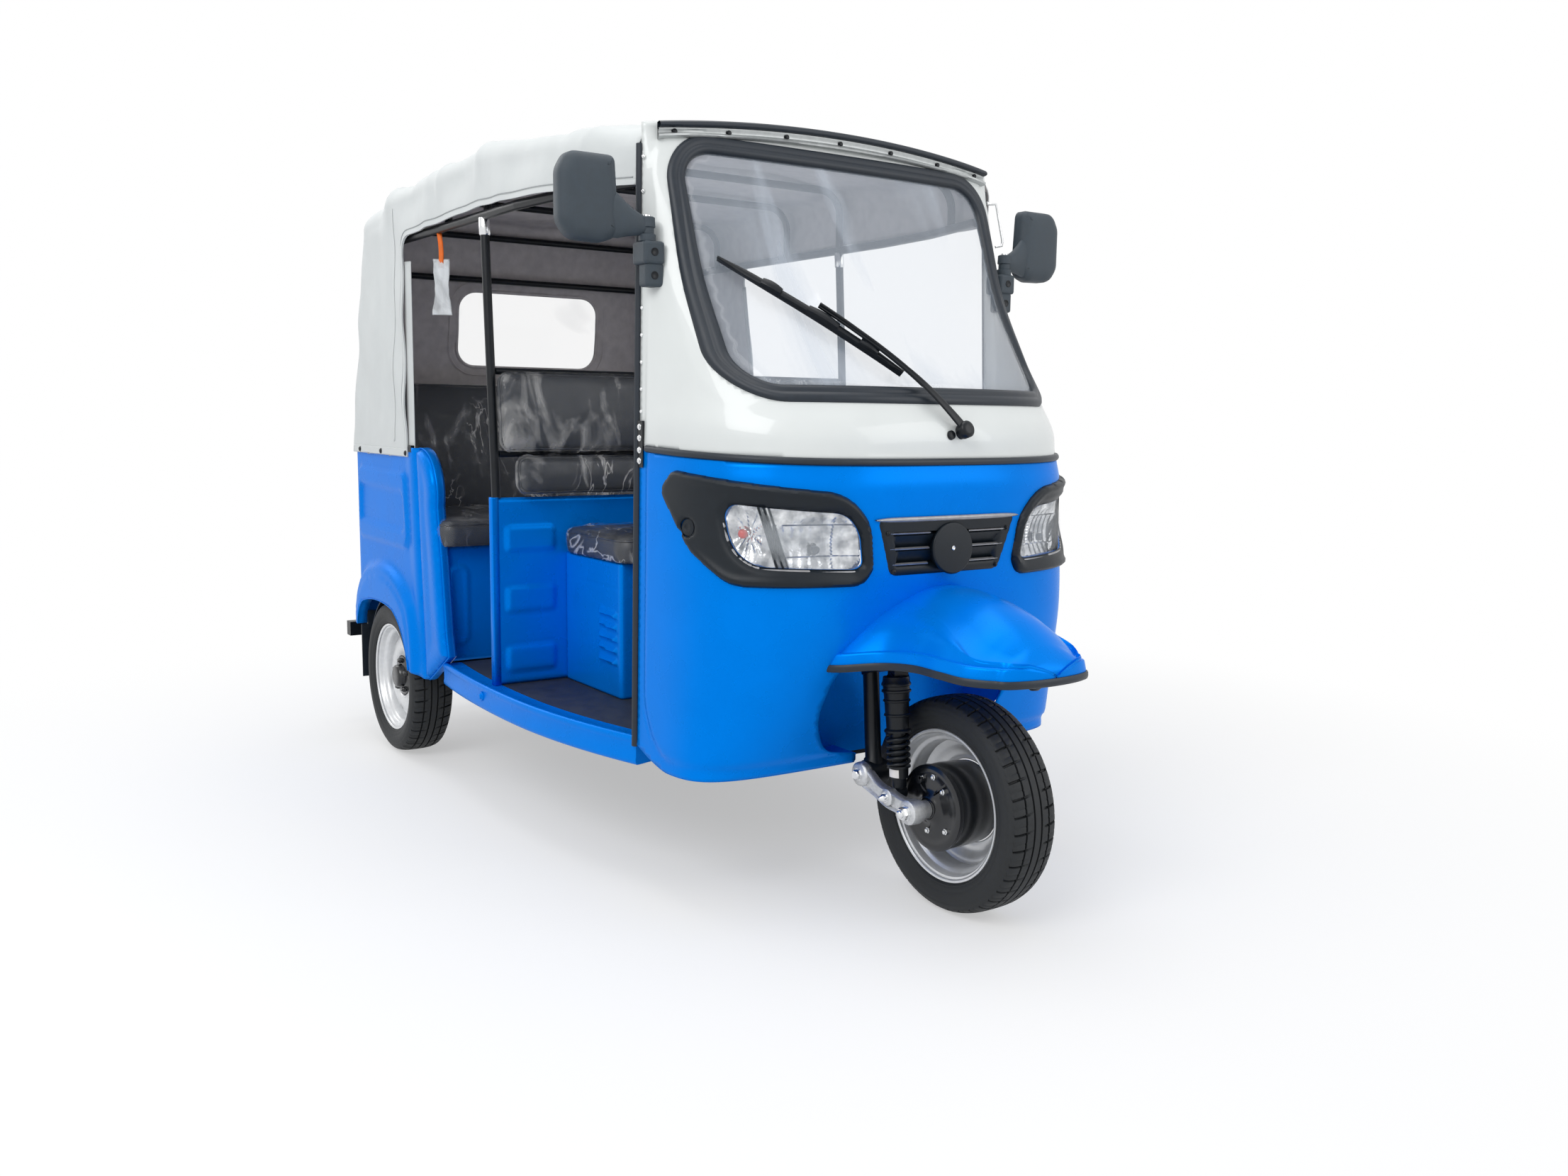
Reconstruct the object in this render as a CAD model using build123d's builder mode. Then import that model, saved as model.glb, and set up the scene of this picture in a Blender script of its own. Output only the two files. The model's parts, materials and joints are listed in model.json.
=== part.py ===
"""Three-wheeled auto rickshaw with a soft top, in millimetres.

Frame: +X forward, +Y to the vehicle's left, +Z up. Z = 0 is the ground, and X = 0 and Y = 0 are the
middle of the vehicle's length and width.
"""

from build123d import *
from math import cos, pi, radians, sin, tan
import os

os.makedirs("parts", exist_ok=True)

# ---------------------------------------------------------------- driving dimensions
fit_gap = 0.3  # between a moving or soft piece and its seat
run_gap = 0.05  # radial, between an axle and its hub

front_axle_x = 1120.0
wheelbase = 2016.0
rear_axle_x = front_axle_x - wheelbase
tyre_r = 242.0
tyre_half_w = 67.0
rim_r = 170.0
bead_r = 160.0
axle_z = tyre_r
rear_wheel_y = 580.0

caster = 20.0  # steering axis, degrees from upright
steer_foot_x = 1172.0  # where the steering axis meets the ground
stem_r = 17.0

door_z0 = 300.0
door_x0 = 612.0  # cowl's door edge at door_z0
door_y0 = 548.0
door_lean_x = 0.0262
door_lean_y = 0.0248

cowl_wall = 6.0
cowl_bottom_z = 301.0
cowl_top_z = 1717.0
cowl_cap = 62.0  # upright strip above the windscreen, before its top is arched
cowl_arcs = 3  # arcs on each side of a cowl section
waist_nose_x = 1055.0
waist_nose_z = 999.0
waist_slope = 0.044
waist_bead = 15.0
waist_proud = 7.0
plate_w = 26.0  # joint plate across the waist, along X

floor_z = 350.0
mat_t = 5.0
pan_t = 8.0
mat_inset = 2.0
floor_front_x = 740.0
floor_front_half_w = 420.0

rail_y = 300.0
rail_w = 50.0
rail_h = 50.0
rail_top_z = floor_z - mat_t - pan_t
rail_rear_x = -1348.0
rail_front_x = 800.0

body_half_w = 631.0
body_rear_x = -1278.0
body_wall = 6.0
body_top_z = 983.0
body_corner_r = 70.0
body_rear_bottom_z = 380.0
body_rim_w = 36.0

arch_clear_r = 258.0
flare_proud = 26.0
flare_lip = 6.0
flare_taper = 30.0

partition_x = -103.0
partition_t = 20.0
partition_top_z = 865.0
partition_half_w = 600.0

canopy_t = 4.0
canopy_hem_z = 955.0
canopy_top_z = 1840.0
canopy_lean = 0.0403  # sideways, per unit of height
canopy_rear_x = -1290.0  # at the hem
canopy_rear_lean = 0.116
canopy_corner_r = 60.0
shoulder = 60.0
shoulder_rise = 6.0
window_z = 1380.0
window_w = 525.0
window_h = 250.0
window_r = 60.0

tube_r = 12.5
pole_r = 12.0
post_r = 11.5
bow_r = 11.0
bar_back_r = 10.5
pole_y = 588.0

# ---------------------------------------------------------------- cowl surface
# z: height, nose_x: furthest forward point, square: superellipse power of the section in plan
cowl_rows = [
    # z, nose_x, square
    (301.0, 896.0, 6.8),
    (450.0, 954.0, 5.0),
    (640.0, 1017.0, 4.0),
    (860.0, 1050.0, 3.2),
    (1008.0, 1055.0, 3.0),
    (1125.0, 1017.0, 2.6),
    (1260.0, 922.0, 2.35),
    (1400.0, 817.0, 2.1),
    (1560.0, 713.0, 2.12),
    (cowl_top_z, 612.0, 2.2),
]


def door_edge(z):
    """The door edge's x and half-width at a height."""
    return door_x0 - door_lean_x * (z - door_z0), door_y0 - door_lean_y * (z - door_z0)


def cowl_row(z):
    """A cowl row at any height, between the table's rows."""
    for low, high in zip(cowl_rows, cowl_rows[1:]):
        if low[0] <= z <= high[0]:
            share = (z - low[0]) / (high[0] - low[0])
            return z, low[1] + share * (high[1] - low[1]), low[2] + share * (high[2] - low[2])
    return (z,) + tuple(cowl_rows[0 if z < cowl_rows[0][0] else -1][1:])


def cowl_x(y, z, out=0.0):
    """The cowl surface's x at a place, moved outwards by out."""
    z, nose_x, square = cowl_row(z)
    edge_x, half_w = door_edge(z)
    share = min(abs(y) / (half_w + out), 1.0)
    return edge_x + (nose_x + out - edge_x) * (1 - share**square) ** (1 / square)


def cowl_points(row, out):
    """Points of a cowl section in plan, from the left door edge round the nose to the right one."""
    z, nose_x, square = row
    edge_x, half_w = door_edge(z)
    points = []
    for i in range(-2 * cowl_arcs, 2 * cowl_arcs + 1):
        turn = pi / 2 * i / (2 * cowl_arcs)
        side = abs(sin(turn)) ** (2 / square) * (half_w + out)
        ahead = max(cos(turn), 0.0) ** (2 / square) * (nose_x + out - edge_x)
        if abs(i) == 2 * cowl_arcs:
            ahead = 0.0
        points.append((edge_x + ahead, side if i < 0 else -side))
    return points


def arc_chain(points):
    """Arcs through points taken three at a time, inside a BuildLine."""
    for i in range(0, len(points) - 2, 2):
        ThreePointArc(points[i], points[i + 1], points[i + 2])


def cowl_band(out, inward, rows=cowl_rows):
    """The cowl as a shell between two offsets of its surface."""
    with BuildPart() as band:
        for row in rows:
            with BuildSketch(Plane.XY.offset(row[0])):
                with BuildLine():
                    outer = cowl_points(row, out)
                    inner = cowl_points(row, inward)[::-1]
                    arc_chain(outer)
                    Line(outer[-1], inner[0])
                    arc_chain(inner)
                    Line(inner[-1], outer[0])
                make_face()
        loft()
    return band.part


def cowl_solid(out, rows=cowl_rows):
    """The filled cowl at an offset of its surface."""
    with BuildPart() as solid:
        for row in rows:
            with BuildSketch(Plane.XY.offset(row[0])):
                with BuildLine():
                    outer = cowl_points(row, out)
                    arc_chain(outer)
                    Line(outer[-1], outer[0])
                make_face()
        loft()
    return solid.part


def prism(plane, near, far, outline):
    """A solid between two distances along a plane's normal, its outline drawn by a function."""
    with BuildPart() as block:
        with BuildSketch(plane.offset(near)):
            with BuildLine():
                outline()
            make_face()
        extrude(amount=far - near)
    return block.part


def slab(x, y, z):
    """A block from its low and high X, Y and Z."""
    with BuildPart() as block:
        with BuildSketch(Plane.XY.offset(z[0])):
            with Locations(((x[0] + x[1]) / 2, (y[0] + y[1]) / 2)):
                Rectangle(x[1] - x[0], y[1] - y[0])
        extrude(amount=z[1] - z[0])
    return block.part


def tube(path, r):
    """A round bar along a path of straight runs and arcs."""
    with BuildPart() as bar:
        with BuildLine() as route:
            add(path)
        with BuildSketch(Plane(origin=route.line @ 0, z_dir=route.line % 0)):
            Circle(r)
        sweep()
    return bar.part


def rod(start, end, r):
    """A straight round bar."""
    start = Vector(*start)
    end = Vector(*end)
    with BuildPart() as bar:
        with BuildSketch(Plane(origin=start, z_dir=(end - start).normalized())):
            Circle(r)
        extrude(amount=(end - start).length)
    return bar.part


def save(builder, name):
    """Label a piece and write it."""
    builder.part.label = name
    export_step(builder.part, f"parts/{name}.step")
    solids = builder.part.solids()
    print(f"{name}: {len(solids)} solids, {sum(s.volume for s in solids) / 1e6:.2f} litres")


lower_rows = cowl_rows[:6]
lamp_rows = cowl_rows[2:6]
upper_rows = cowl_rows[3:]
lower_inside = cowl_solid(-cowl_wall - fit_gap, lower_rows)
lower_clear = cowl_solid(fit_gap, lower_rows)
upper_clear = cowl_solid(fit_gap, upper_rows)
waist_dir = Vector(waist_slope, 0, 1).normalized()
waist = Plane(origin=(waist_nose_x, 0, waist_nose_z), x_dir=(1, 0, -waist_slope), z_dir=waist_dir)
front_view = Plane.YZ  # local x is +Y, local y is +Z
side_view = Plane.XZ  # local x is +X, local y is +Z, its normal is -Y
lamp_view = Plane(origin=(112, 0, 0), x_dir=(0.8, 0.6, 0), z_dir=(0.6, -0.8, 0))
mirror_plane = Plane.XZ

# ---------------------------------------------------------------- windscreen, gasket and upper cowl
screen_w = 948.0
screen_low_z = 1123.0
screen_high_z = 1716.0
screen_r = 112.0
gasket_w = 36.0
gasket_proud = 8.0
gasket_depth = 10.0
glass_t = 5.0
roof_arch_side_z = 1724.0
roof_arch_mid_z = 1768.0


def screen_outline(inset):
    """The windscreen's outline in the front view, inside the gasket's outer edge by inset."""
    with Locations((0, (screen_low_z + screen_high_z) / 2)):
        RectangleRounded(
            screen_w - 2 * inset, screen_high_z - screen_low_z - 2 * inset, screen_r - inset * 0.5
        )


def screen_prism(inset):
    with BuildPart() as block:
        with BuildSketch(front_view.offset(400)):
            screen_outline(inset)
        extrude(amount=800)
    return block.part


def above_roof_arch():
    ThreePointArc((-600, roof_arch_side_z), (0, roof_arch_mid_z), (600, roof_arch_side_z))
    Polyline((600, roof_arch_side_z), (600, 1900), (-600, 1900), (-600, roof_arch_side_z))


with BuildPart() as cowl_upper:
    add(cowl_band(0.0, -cowl_wall, upper_rows))
    split(bisect_by=waist, keep=Keep.TOP)
    with BuildSketch(Plane.XY.offset(cowl_top_z)):
        with BuildLine():
            cap_outer = cowl_points(cowl_rows[-1], 0.0)
            cap_inner = cowl_points(cowl_rows[-1], -cowl_wall)[::-1]
            arc_chain(cap_outer)
            Line(cap_outer[-1], cap_inner[0])
            arc_chain(cap_inner)
            Line(cap_inner[-1], cap_outer[0])
        make_face()
    extrude(amount=cowl_cap)
    with BuildSketch(front_view):
        with BuildLine():
            above_roof_arch()
        make_face()
    extrude(amount=900, mode=Mode.SUBTRACT)
    add(screen_prism(0.0), mode=Mode.SUBTRACT)
save(cowl_upper, "cowl_upper")

with BuildPart() as windscreen_gasket:
    add(cowl_band(gasket_proud, -gasket_depth, upper_rows))
    add(screen_prism(0.0), mode=Mode.INTERSECT)
    add(screen_prism(gasket_w), mode=Mode.SUBTRACT)
save(windscreen_gasket, "windscreen_gasket")

with BuildPart() as windscreen:
    add(cowl_band(0.0, -glass_t, upper_rows))
    add(screen_prism(gasket_w), mode=Mode.INTERSECT)
save(windscreen, "windscreen")

with BuildPart() as waist_moulding:
    add(cowl_band(waist_proud, 0.0, lower_rows[3:]))
    split(bisect_by=waist.offset(waist_bead / 2), keep=Keep.BOTTOM)
    split(bisect_by=waist.offset(-waist_bead / 2), keep=Keep.TOP)
    add(lower_clear, mode=Mode.SUBTRACT)
    add(upper_clear, mode=Mode.SUBTRACT)
    add(slab((500, door_edge(waist_nose_z)[0] + plate_w + 1), (-700, 700), (900, 1100)), mode=Mode.SUBTRACT)
save(waist_moulding, "waist_moulding")

# ---------------------------------------------------------------- gutter over the windscreen
gutter_proud = 16.0
trim_proud = 24.0
gutter_low_side_z = 1697.0
gutter_low_mid_z = 1731.0
gutter_rise = 22.0  # height of the metal channel
trim_rise = 14.0  # height of the rubber above it
gutter_half_w = 508.0


def gutter_strip(proud, low, high):
    """A strip on the cowl's upright top, between two heights above the gutter's lower edge."""
    with BuildPart() as strip:
        with BuildSketch(Plane.XY.offset(cowl_top_z - 60)):
            with BuildLine():
                outer = cowl_points(cowl_rows[-1], proud)
                inner = cowl_points(cowl_rows[-1], fit_gap)[::-1]
                arc_chain(outer)
                Line(outer[-1], inner[0])
                arc_chain(inner)
                Line(inner[-1], outer[0])
            make_face()
        extrude(amount=130)
        with BuildSketch(front_view):
            with BuildLine():
                ends = [(gutter_low_side_z + h, gutter_low_mid_z + h) for h in (low, high)]
                w = gutter_half_w
                ThreePointArc((-w, ends[0][0]), (0, ends[0][1]), (w, ends[0][0]))
                Line((w, ends[0][0]), (w, ends[1][0]))
                ThreePointArc((w, ends[1][0]), (0, ends[1][1]), (-w, ends[1][0]))
                Line((-w, ends[1][0]), (-w, ends[0][0]))
            make_face()
        extrude(amount=900, mode=Mode.INTERSECT)
        add(upper_clear, mode=Mode.SUBTRACT)
        add(screen_prism(-1.0), mode=Mode.SUBTRACT)
    return strip.part


with BuildPart() as gutter_channel:
    add(gutter_strip(gutter_proud, 0.0, gutter_rise))
save(gutter_channel, "gutter_channel")

with BuildPart() as roof_edge_trim:
    add(gutter_strip(trim_proud, gutter_rise, gutter_rise + trim_rise))
save(roof_edge_trim, "roof_edge_trim")

# ---------------------------------------------------------------- lower cowl, wheel recess and lamps
recess_back_x = 812.0
recess_top_z = 590.0
recess_wall = 5.0
lens_inset = 1.0


def recess_outline():
    """The wheel recess in the front view, open below."""
    Polyline((-130, 250), (-130, 323))
    ThreePointArc((-130, 323), (-236, 350), (-279, 429))
    ThreePointArc((-279, 429), (-266, 505), (-225, recess_top_z))
    Line((-225, recess_top_z), (225, recess_top_z))
    ThreePointArc((225, recess_top_z), (266, 505), (279, 429))
    ThreePointArc((279, 429), (236, 350), (130, 323))
    Polyline((130, 323), (130, 250), (-130, 250))


def surround_prism():
    """The headlight surround's outline, swept through the cowl along the lamp's own view."""
    with BuildPart() as block:
        with BuildSketch(lamp_view.offset(500)):
            with BuildLine():
                Polyline(
                    (155, 930), (195, 977), (575, 938), (618, 875), (621, 770), (600, 733),
                    (350, 735), (250, 803), (155, 930),
                )
            make_face()
            fillet(vertices(), radius=18)
        extrude(amount=520)
    return block.part


def lens_prism(inset):
    """The lens's outline, inside its opening by inset."""
    with BuildPart() as block:
        with BuildSketch(lamp_view.offset(500)):
            with BuildLine():
                Polyline((328, 912), (352, 820), (400, 781), (600, 772), (596, 850), (575, 892), (328, 912))
            make_face()
            fillet(vertices(), radius=16)
            if inset:
                offset(amount=-inset)
        extrude(amount=520)
    return block.part


corner_z = floor_z - 12.0


def raised_corner():
    """The cowl's lower edge sweeps up to the door sill, in the side view."""
    Polyline((560, 250), (560, corner_z), (620, corner_z))
    ThreePointArc((620, corner_z), (678, 321), (758, cowl_bottom_z - 1))
    Polyline((758, cowl_bottom_z - 1), (758, 250), (560, 250))


with BuildPart() as cowl_lower:
    add(cowl_band(0.0, -cowl_wall, lower_rows))
    split(bisect_by=waist, keep=Keep.BOTTOM)
    add(prism(side_view, -700, 700, raised_corner), mode=Mode.SUBTRACT)
    add(prism(front_view, 700, 1100, recess_outline), mode=Mode.SUBTRACT)
    add(lens_prism(0.0), mode=Mode.SUBTRACT)
    add(mirror(lens_prism(0.0), about=mirror_plane, mode=Mode.PRIVATE), mode=Mode.SUBTRACT)
save(cowl_lower, "cowl_lower")

surround_proud = 20.0
with BuildPart() as headlight_surrounds:
    add(cowl_band(surround_proud, -cowl_wall, lamp_rows))
    add(surround_prism(), mode=Mode.INTERSECT)
    add(lens_prism(0.0), mode=Mode.SUBTRACT)
    add(lower_clear, mode=Mode.SUBTRACT)
    mirror(about=mirror_plane)
save(headlight_surrounds, "headlight_surrounds")

lens_proud = 8.0
lamp_depth = 34.0
with BuildPart() as headlights:
    add(cowl_band(lens_proud, -lamp_depth, lamp_rows))
    add(lens_prism(lens_inset), mode=Mode.INTERSECT)
    mirror(about=mirror_plane)
save(headlights, "headlights")

# ---------------------------------------------------------------- grille
grille_top_z = 873.0
grille_low_z = 748.0
grille_half_top = 196.0
grille_half_low = 150.0
grille_proud = 8.0
louvre_rows = 4
disc_r = 52.0
disc_z = 807.0
disc_proud = 22.0


def grille_outline():
    Polyline(
        (-grille_half_top, grille_top_z), (-grille_half_low - 30, grille_low_z + 12),
        (-grille_half_low, grille_low_z), (grille_half_low, grille_low_z),
        (grille_half_low + 30, grille_low_z + 12), (grille_half_top, grille_top_z),
        (-grille_half_top, grille_top_z),
    )


with BuildPart() as grille:
    add(cowl_band(grille_proud, 0.0, lamp_rows))
    add(prism(front_view, 900, 1200, grille_outline), mode=Mode.INTERSECT)
    louvre_pitch = 26.0
    for row in range(louvre_rows):
        bar_z = grille_top_z - 26 - row * louvre_pitch
        half = grille_half_top - 34 - row * 10
        bar_top = min(cowl_x(half, bar_z), cowl_x(0, bar_z) - 4)
        with BuildSketch(front_view.offset(1200)):
            for side in (-1, 1):
                with Locations((side * (half + disc_r + 8) / 2, bar_z)):
                    SlotOverall(half - disc_r - 8, 9)
        extrude(amount=-(1200 - bar_top), mode=Mode.SUBTRACT)
    with BuildSketch(front_view.offset(cowl_x(0, disc_z) + disc_proud)):
        with Locations((0, disc_z)):
            Circle(disc_r)
    extrude(amount=-disc_proud - 12)
    add(lower_clear, mode=Mode.SUBTRACT)
save(grille, "grille")

# ---------------------------------------------------------------- wheel recess liner
column_hole_r = 40.0


def steer_x(z):
    """The steering axis's x at a height."""
    return steer_foot_x - tan(radians(caster)) * z


with BuildPart() as wheel_well:
    with BuildSketch(front_view.offset(recess_back_x)):
        with BuildLine():
            recess_outline()
        make_face()
        offset(amount=recess_wall)
        with BuildLine():
            recess_outline()
        make_face(mode=Mode.SUBTRACT)
    extrude(amount=300)
    with BuildSketch(front_view.offset(recess_back_x - recess_wall)):
        with BuildLine():
            recess_outline()
        make_face()
        offset(amount=recess_wall)
    extrude(amount=recess_wall)
    add(lower_inside, mode=Mode.INTERSECT)
    with BuildSketch(Plane.XY.offset(recess_top_z - 20)):
        with Locations((steer_x(recess_top_z), 0)):
            Circle(column_hole_r)
    extrude(amount=60, mode=Mode.SUBTRACT)
save(wheel_well, "wheel_well")

# ---------------------------------------------------------------- front fender
# x: place, half_w: half-width, edge_z: lower edge, step_z: shoulder, crest_z: ridge
fender_rows = [
    # x, half_w, edge_z, step_z, crest_z
    (940.0, 296.0, 552.0, 655.0, 717.0),
    (1010.0, 268.0, 556.0, 650.0, 723.0),
    (1075.0, 205.0, 566.0, 655.0, 727.0),
    (1160.0, 184.0, 574.0, 650.0, 722.0),
    (1240.0, 178.0, 570.0, 636.0, 704.0),
    (1305.0, 162.0, 566.0, 618.0, 672.0),
    (1352.0, 124.0, 566.0, 600.0, 638.0),
    (1388.0, 52.0, 568.0, 584.0, 598.0),
]
fender_t = 5.0
fender_top_share = 0.62


def fender_solid(inward, drop):
    with BuildPart() as solid:
        for x, half_w, edge_z, step_z, crest_z in fender_rows:
            ahead = x - (inward + 3 if (inward and x == fender_rows[-1][0]) else 0)
            w = half_w - inward
            shoulder_y = fender_top_share * w
            low = edge_z - drop
            with BuildSketch(front_view.offset(ahead)):
                with BuildLine():
                    Line((-w, low), (-w, edge_z))
                    Line((-w, edge_z), (-shoulder_y, step_z - inward))
                    ThreePointArc(
                        (-shoulder_y, step_z - inward), (0, crest_z - inward), (shoulder_y, step_z - inward)
                    )
                    Line((shoulder_y, step_z - inward), (w, edge_z))
                    Polyline((w, edge_z), (w, low), (-w, low))
                make_face()
        loft(ruled=True)
    return solid.part


with BuildPart() as front_fender:
    add(fender_solid(0.0, 1.0))
    add(fender_solid(fender_t, 40.0), mode=Mode.SUBTRACT)
    add(lower_clear, mode=Mode.SUBTRACT)
save(front_fender, "front_fender")

# ---------------------------------------------------------------- chassis
outriggers = ((120.0, 574.0), (560.0, 498.0))  # x, half-length
cross_xs = (-1288.0, -440.0, 120.0, 560.0, 780.0)
hanger_xs = (rear_axle_x - 400.0, rear_axle_x + 400.0)
leaf_w = 50.0
leaf_t = 18.0
axle_tube_r = 32.0
spring_seat_h = 12.0
leaf_mid_z = axle_z - axle_tube_r - spring_seat_h
leaf_end_z = 262.0
leaf_eye_r = 13.0
leaf_eye_drop = -2.0
leaf_seat_gap = 0.5  # at the leaf's middle, where it is lowest
column_z0 = 600.0
column_z1 = 730.0
head_r = 34.0
post_x = (760.0, 800.0)
post_half_w = 30.0
post_arm_z = (640.0, 690.0)

with BuildPart() as chassis_frame:
    for side in (-1, 1):
        y = side * rail_y
        add(slab((rail_rear_x, rail_front_x), (y - rail_w / 2, y + rail_w / 2), (rail_top_z - rail_h, rail_top_z)))
        for x in hanger_xs:
            low_z = leaf_end_z + leaf_eye_drop + leaf_eye_r + fit_gap
            add(slab((x - 25, x + 25), (y - rail_w / 2, y + rail_w / 2), (low_z, rail_top_z - rail_h)))
    for x in cross_xs:
        add(slab((x - 20, x + 20), (-rail_y, rail_y), (rail_top_z - rail_h, rail_top_z)))
    for x, reach in outriggers:
        add(slab((x - 15, x + 15), (-reach, reach), (rail_top_z - 30, rail_top_z)))
    add(slab(post_x, (-post_half_w, post_half_w), (rail_top_z, post_arm_z[1])))
    arm_end_x = steer_x(sum(post_arm_z) / 2) - 10
    add(slab((post_x[1], arm_end_x), (-post_half_w, post_half_w), post_arm_z))
    add(rod((steer_x(column_z0), 0, column_z0), (steer_x(column_z1), 0, column_z1), head_r))
    add(
        rod((steer_x(500), 0, 500), (steer_x(900), 0, 900), stem_r + fit_gap), mode=Mode.SUBTRACT
    )
save(chassis_frame, "chassis_frame")

# ---------------------------------------------------------------- floor and sills
sill_w = 55.0
sill_low_z = 285.0
# x, y of the sill's outer face in plan, taken three at a time as arcs
sill_points = [(-483.0, 612.0), (-200.0, 634.0), (60.0, 636.0), (380.0, 604.0), (door_x0 - 1.6, 549.0)]


def sill_chain(inset):
    return [(x, y - inset) for x, y in sill_points]


with BuildPart() as side_sills:
    with BuildSketch(Plane.XY.offset(sill_low_z)):
        with BuildLine():
            outer = sill_chain(0.0)
            inner = sill_chain(sill_w)[::-1]
            arc_chain(outer)
            Line(outer[-1], inner[0])
            arc_chain(inner)
            Line(inner[-1], outer[0])
        make_face()
    extrude(amount=floor_z - sill_low_z)
    mirror(about=mirror_plane)
save(side_sills, "side_sills")


def floor_outline(inset):
    """The floor between the sills, narrowing to the front, inside the pan's edge by inset."""
    left = sill_chain(sill_w + inset)
    right = [(x, -y) for x, y in left][::-1]
    arc_chain(left)
    front_x = floor_front_x - inset
    front_y = floor_front_half_w - inset
    Polyline(left[-1], (front_x, front_y), (front_x, -front_y), right[0])
    arc_chain(right)
    Line(right[-1], left[0])


with BuildPart() as floor_pan:
    add(prism(Plane.XY, rail_top_z, rail_top_z + pan_t, lambda: floor_outline(0.0)))
    add(
        slab(
            (post_x[0] - 1, post_x[1] + 1),
            (-post_half_w - 1, post_half_w + 1),
            (rail_top_z - 1, floor_z + 1),
        ),
        mode=Mode.SUBTRACT,
    )
save(floor_pan, "floor_pan")

with BuildPart() as floor_mat:
    add(prism(Plane.XY, rail_top_z + pan_t, floor_z, lambda: floor_outline(mat_inset)))
save(floor_mat, "floor_mat")

# ---------------------------------------------------------------- rear body
arch_rear_foot = (-1188.0, 376.0)
arch_front_foot = (-679.0, 300.0)


def arch_edge():
    """The wheel arch's edge in the side view, from its rear foot to its front one."""
    ThreePointArc(arch_rear_foot, (-1164, 432), (-1114, 466))
    ThreePointArc((-1114, 466), (-960, 484), (-822, 472))
    ThreePointArc((-822, 472), (-738, 418), arch_front_foot)


def body_side_outline():
    """What remains of the rear body in the side view."""
    Line((-1300, body_rear_bottom_z), arch_rear_foot)
    arch_edge()
    Polyline(arch_front_foot, (-594, 282), (-426, 378))
    Polyline((-426, 378), (-442, 439), (-468, 644), (-497, 814))
    ThreePointArc((-497, 814), (-535, 945), (-640, body_top_z))
    Polyline((-640, body_top_z), (-1300, body_top_z), (-1300, body_rear_bottom_z))


def arch_outline():
    """The space below the wheel arch's edge."""
    Line((-1300, 200), arch_rear_foot)
    arch_edge()
    Polyline(arch_front_foot, (-640, 200), (-1300, 200))


def flare_outline():
    """The outer edge of the swelling round the wheel arch."""
    ThreePointArc((-1252, 380), (-1185, 545), (-1050, 607))
    ThreePointArc((-1050, 607), (-790, 588), (-663, 508))
    ThreePointArc((-663, 508), (-634, 430), (-622, 339))
    Polyline((-622, 339), (-640, 300), (-1000, 300), (-1252, 380))


def body_plan(inset):
    """The rear body in plan: square ahead, rounded behind."""
    half = body_half_w - inset
    rear = body_rear_x + inset
    r = body_corner_r - inset
    front = -400.0
    Polyline((front, half), (rear + r, half))
    RadiusArc((rear + r, half), (rear, half - r), -r)
    Line((rear, half - r), (rear, r - half))
    RadiusArc((rear, r - half), (rear + r, -half), -r)
    Polyline((rear + r, -half), (front, -half), (front, half))


def arch_flare():
    """The swelling round the right rear wheel arch."""
    with BuildPart() as bulge:
        with BuildSketch(side_view.offset(body_half_w - 1)):
            with BuildLine():
                flare_outline()
            make_face()
        extrude(amount=flare_proud + 1, taper=flare_taper)
        add(prism(side_view, 500, 800, arch_outline), mode=Mode.SUBTRACT)
    return bulge.part


lid_half_w = 400.0
lid_low_z = 470.0
lid_high_z = 880.0
lid_gap = 6.0
lid_r = 30.0

with BuildPart() as rear_body:
    with BuildSketch(Plane.XY.offset(250)):
        with BuildLine():
            body_plan(0.0)
        make_face()
        with BuildLine():
            body_plan(body_wall)
        make_face(mode=Mode.SUBTRACT)
    extrude(amount=body_top_z - 250)
    with BuildSketch(Plane.XY.offset(body_top_z - body_wall)):
        with BuildLine():
            body_plan(0.0)
        make_face()
        with BuildLine():
            body_plan(body_rim_w)
        make_face(mode=Mode.SUBTRACT)
    extrude(amount=body_wall)
    add(prism(side_view, -700, 700, body_side_outline), mode=Mode.INTERSECT)
    for side in (-1, 1):
        add(arch_flare() if side < 0 else mirror(arch_flare(), about=mirror_plane, mode=Mode.PRIVATE))
        lip_y = body_half_w + flare_proud - flare_lip
        add(
            rod((rear_axle_x, side * 300, axle_z), (rear_axle_x, side * lip_y, axle_z), arch_clear_r),
            mode=Mode.SUBTRACT,
        )
    with BuildSketch(front_view.offset(body_rear_x + 40)):
        with Locations((0, (lid_low_z + lid_high_z) / 2)):
            RectangleRounded(2 * lid_half_w + 2 * lid_gap, lid_high_z - lid_low_z + 2 * lid_gap, lid_r + lid_gap)
    extrude(amount=-80, mode=Mode.SUBTRACT)
save(rear_body, "rear_body")

# wheel boxes: half drums over the rear wheels, inside the body
box_t = 5.0
box_inner_y = 496.0
with BuildPart() as wheel_boxes:
    with BuildSketch(side_view.offset(box_inner_y)):
        with Locations((rear_axle_x, axle_z)):
            Circle(arch_clear_r + 2 + box_t)
    extrude(amount=body_half_w - body_wall - box_inner_y)
    with BuildSketch(side_view.offset(box_inner_y + box_t)):
        with Locations((rear_axle_x, axle_z)):
            Circle(arch_clear_r + 2)
    extrude(amount=200, mode=Mode.SUBTRACT)
    with BuildSketch(side_view.offset(400)):
        with Locations((rear_axle_x, axle_z)):
            Circle(104)
    extrude(amount=200, mode=Mode.SUBTRACT)
    add(slab((-1400, -400), (-800, 0), (-100, 300)), mode=Mode.SUBTRACT)
    mirror(about=mirror_plane)
save(wheel_boxes, "wheel_boxes")

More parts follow.
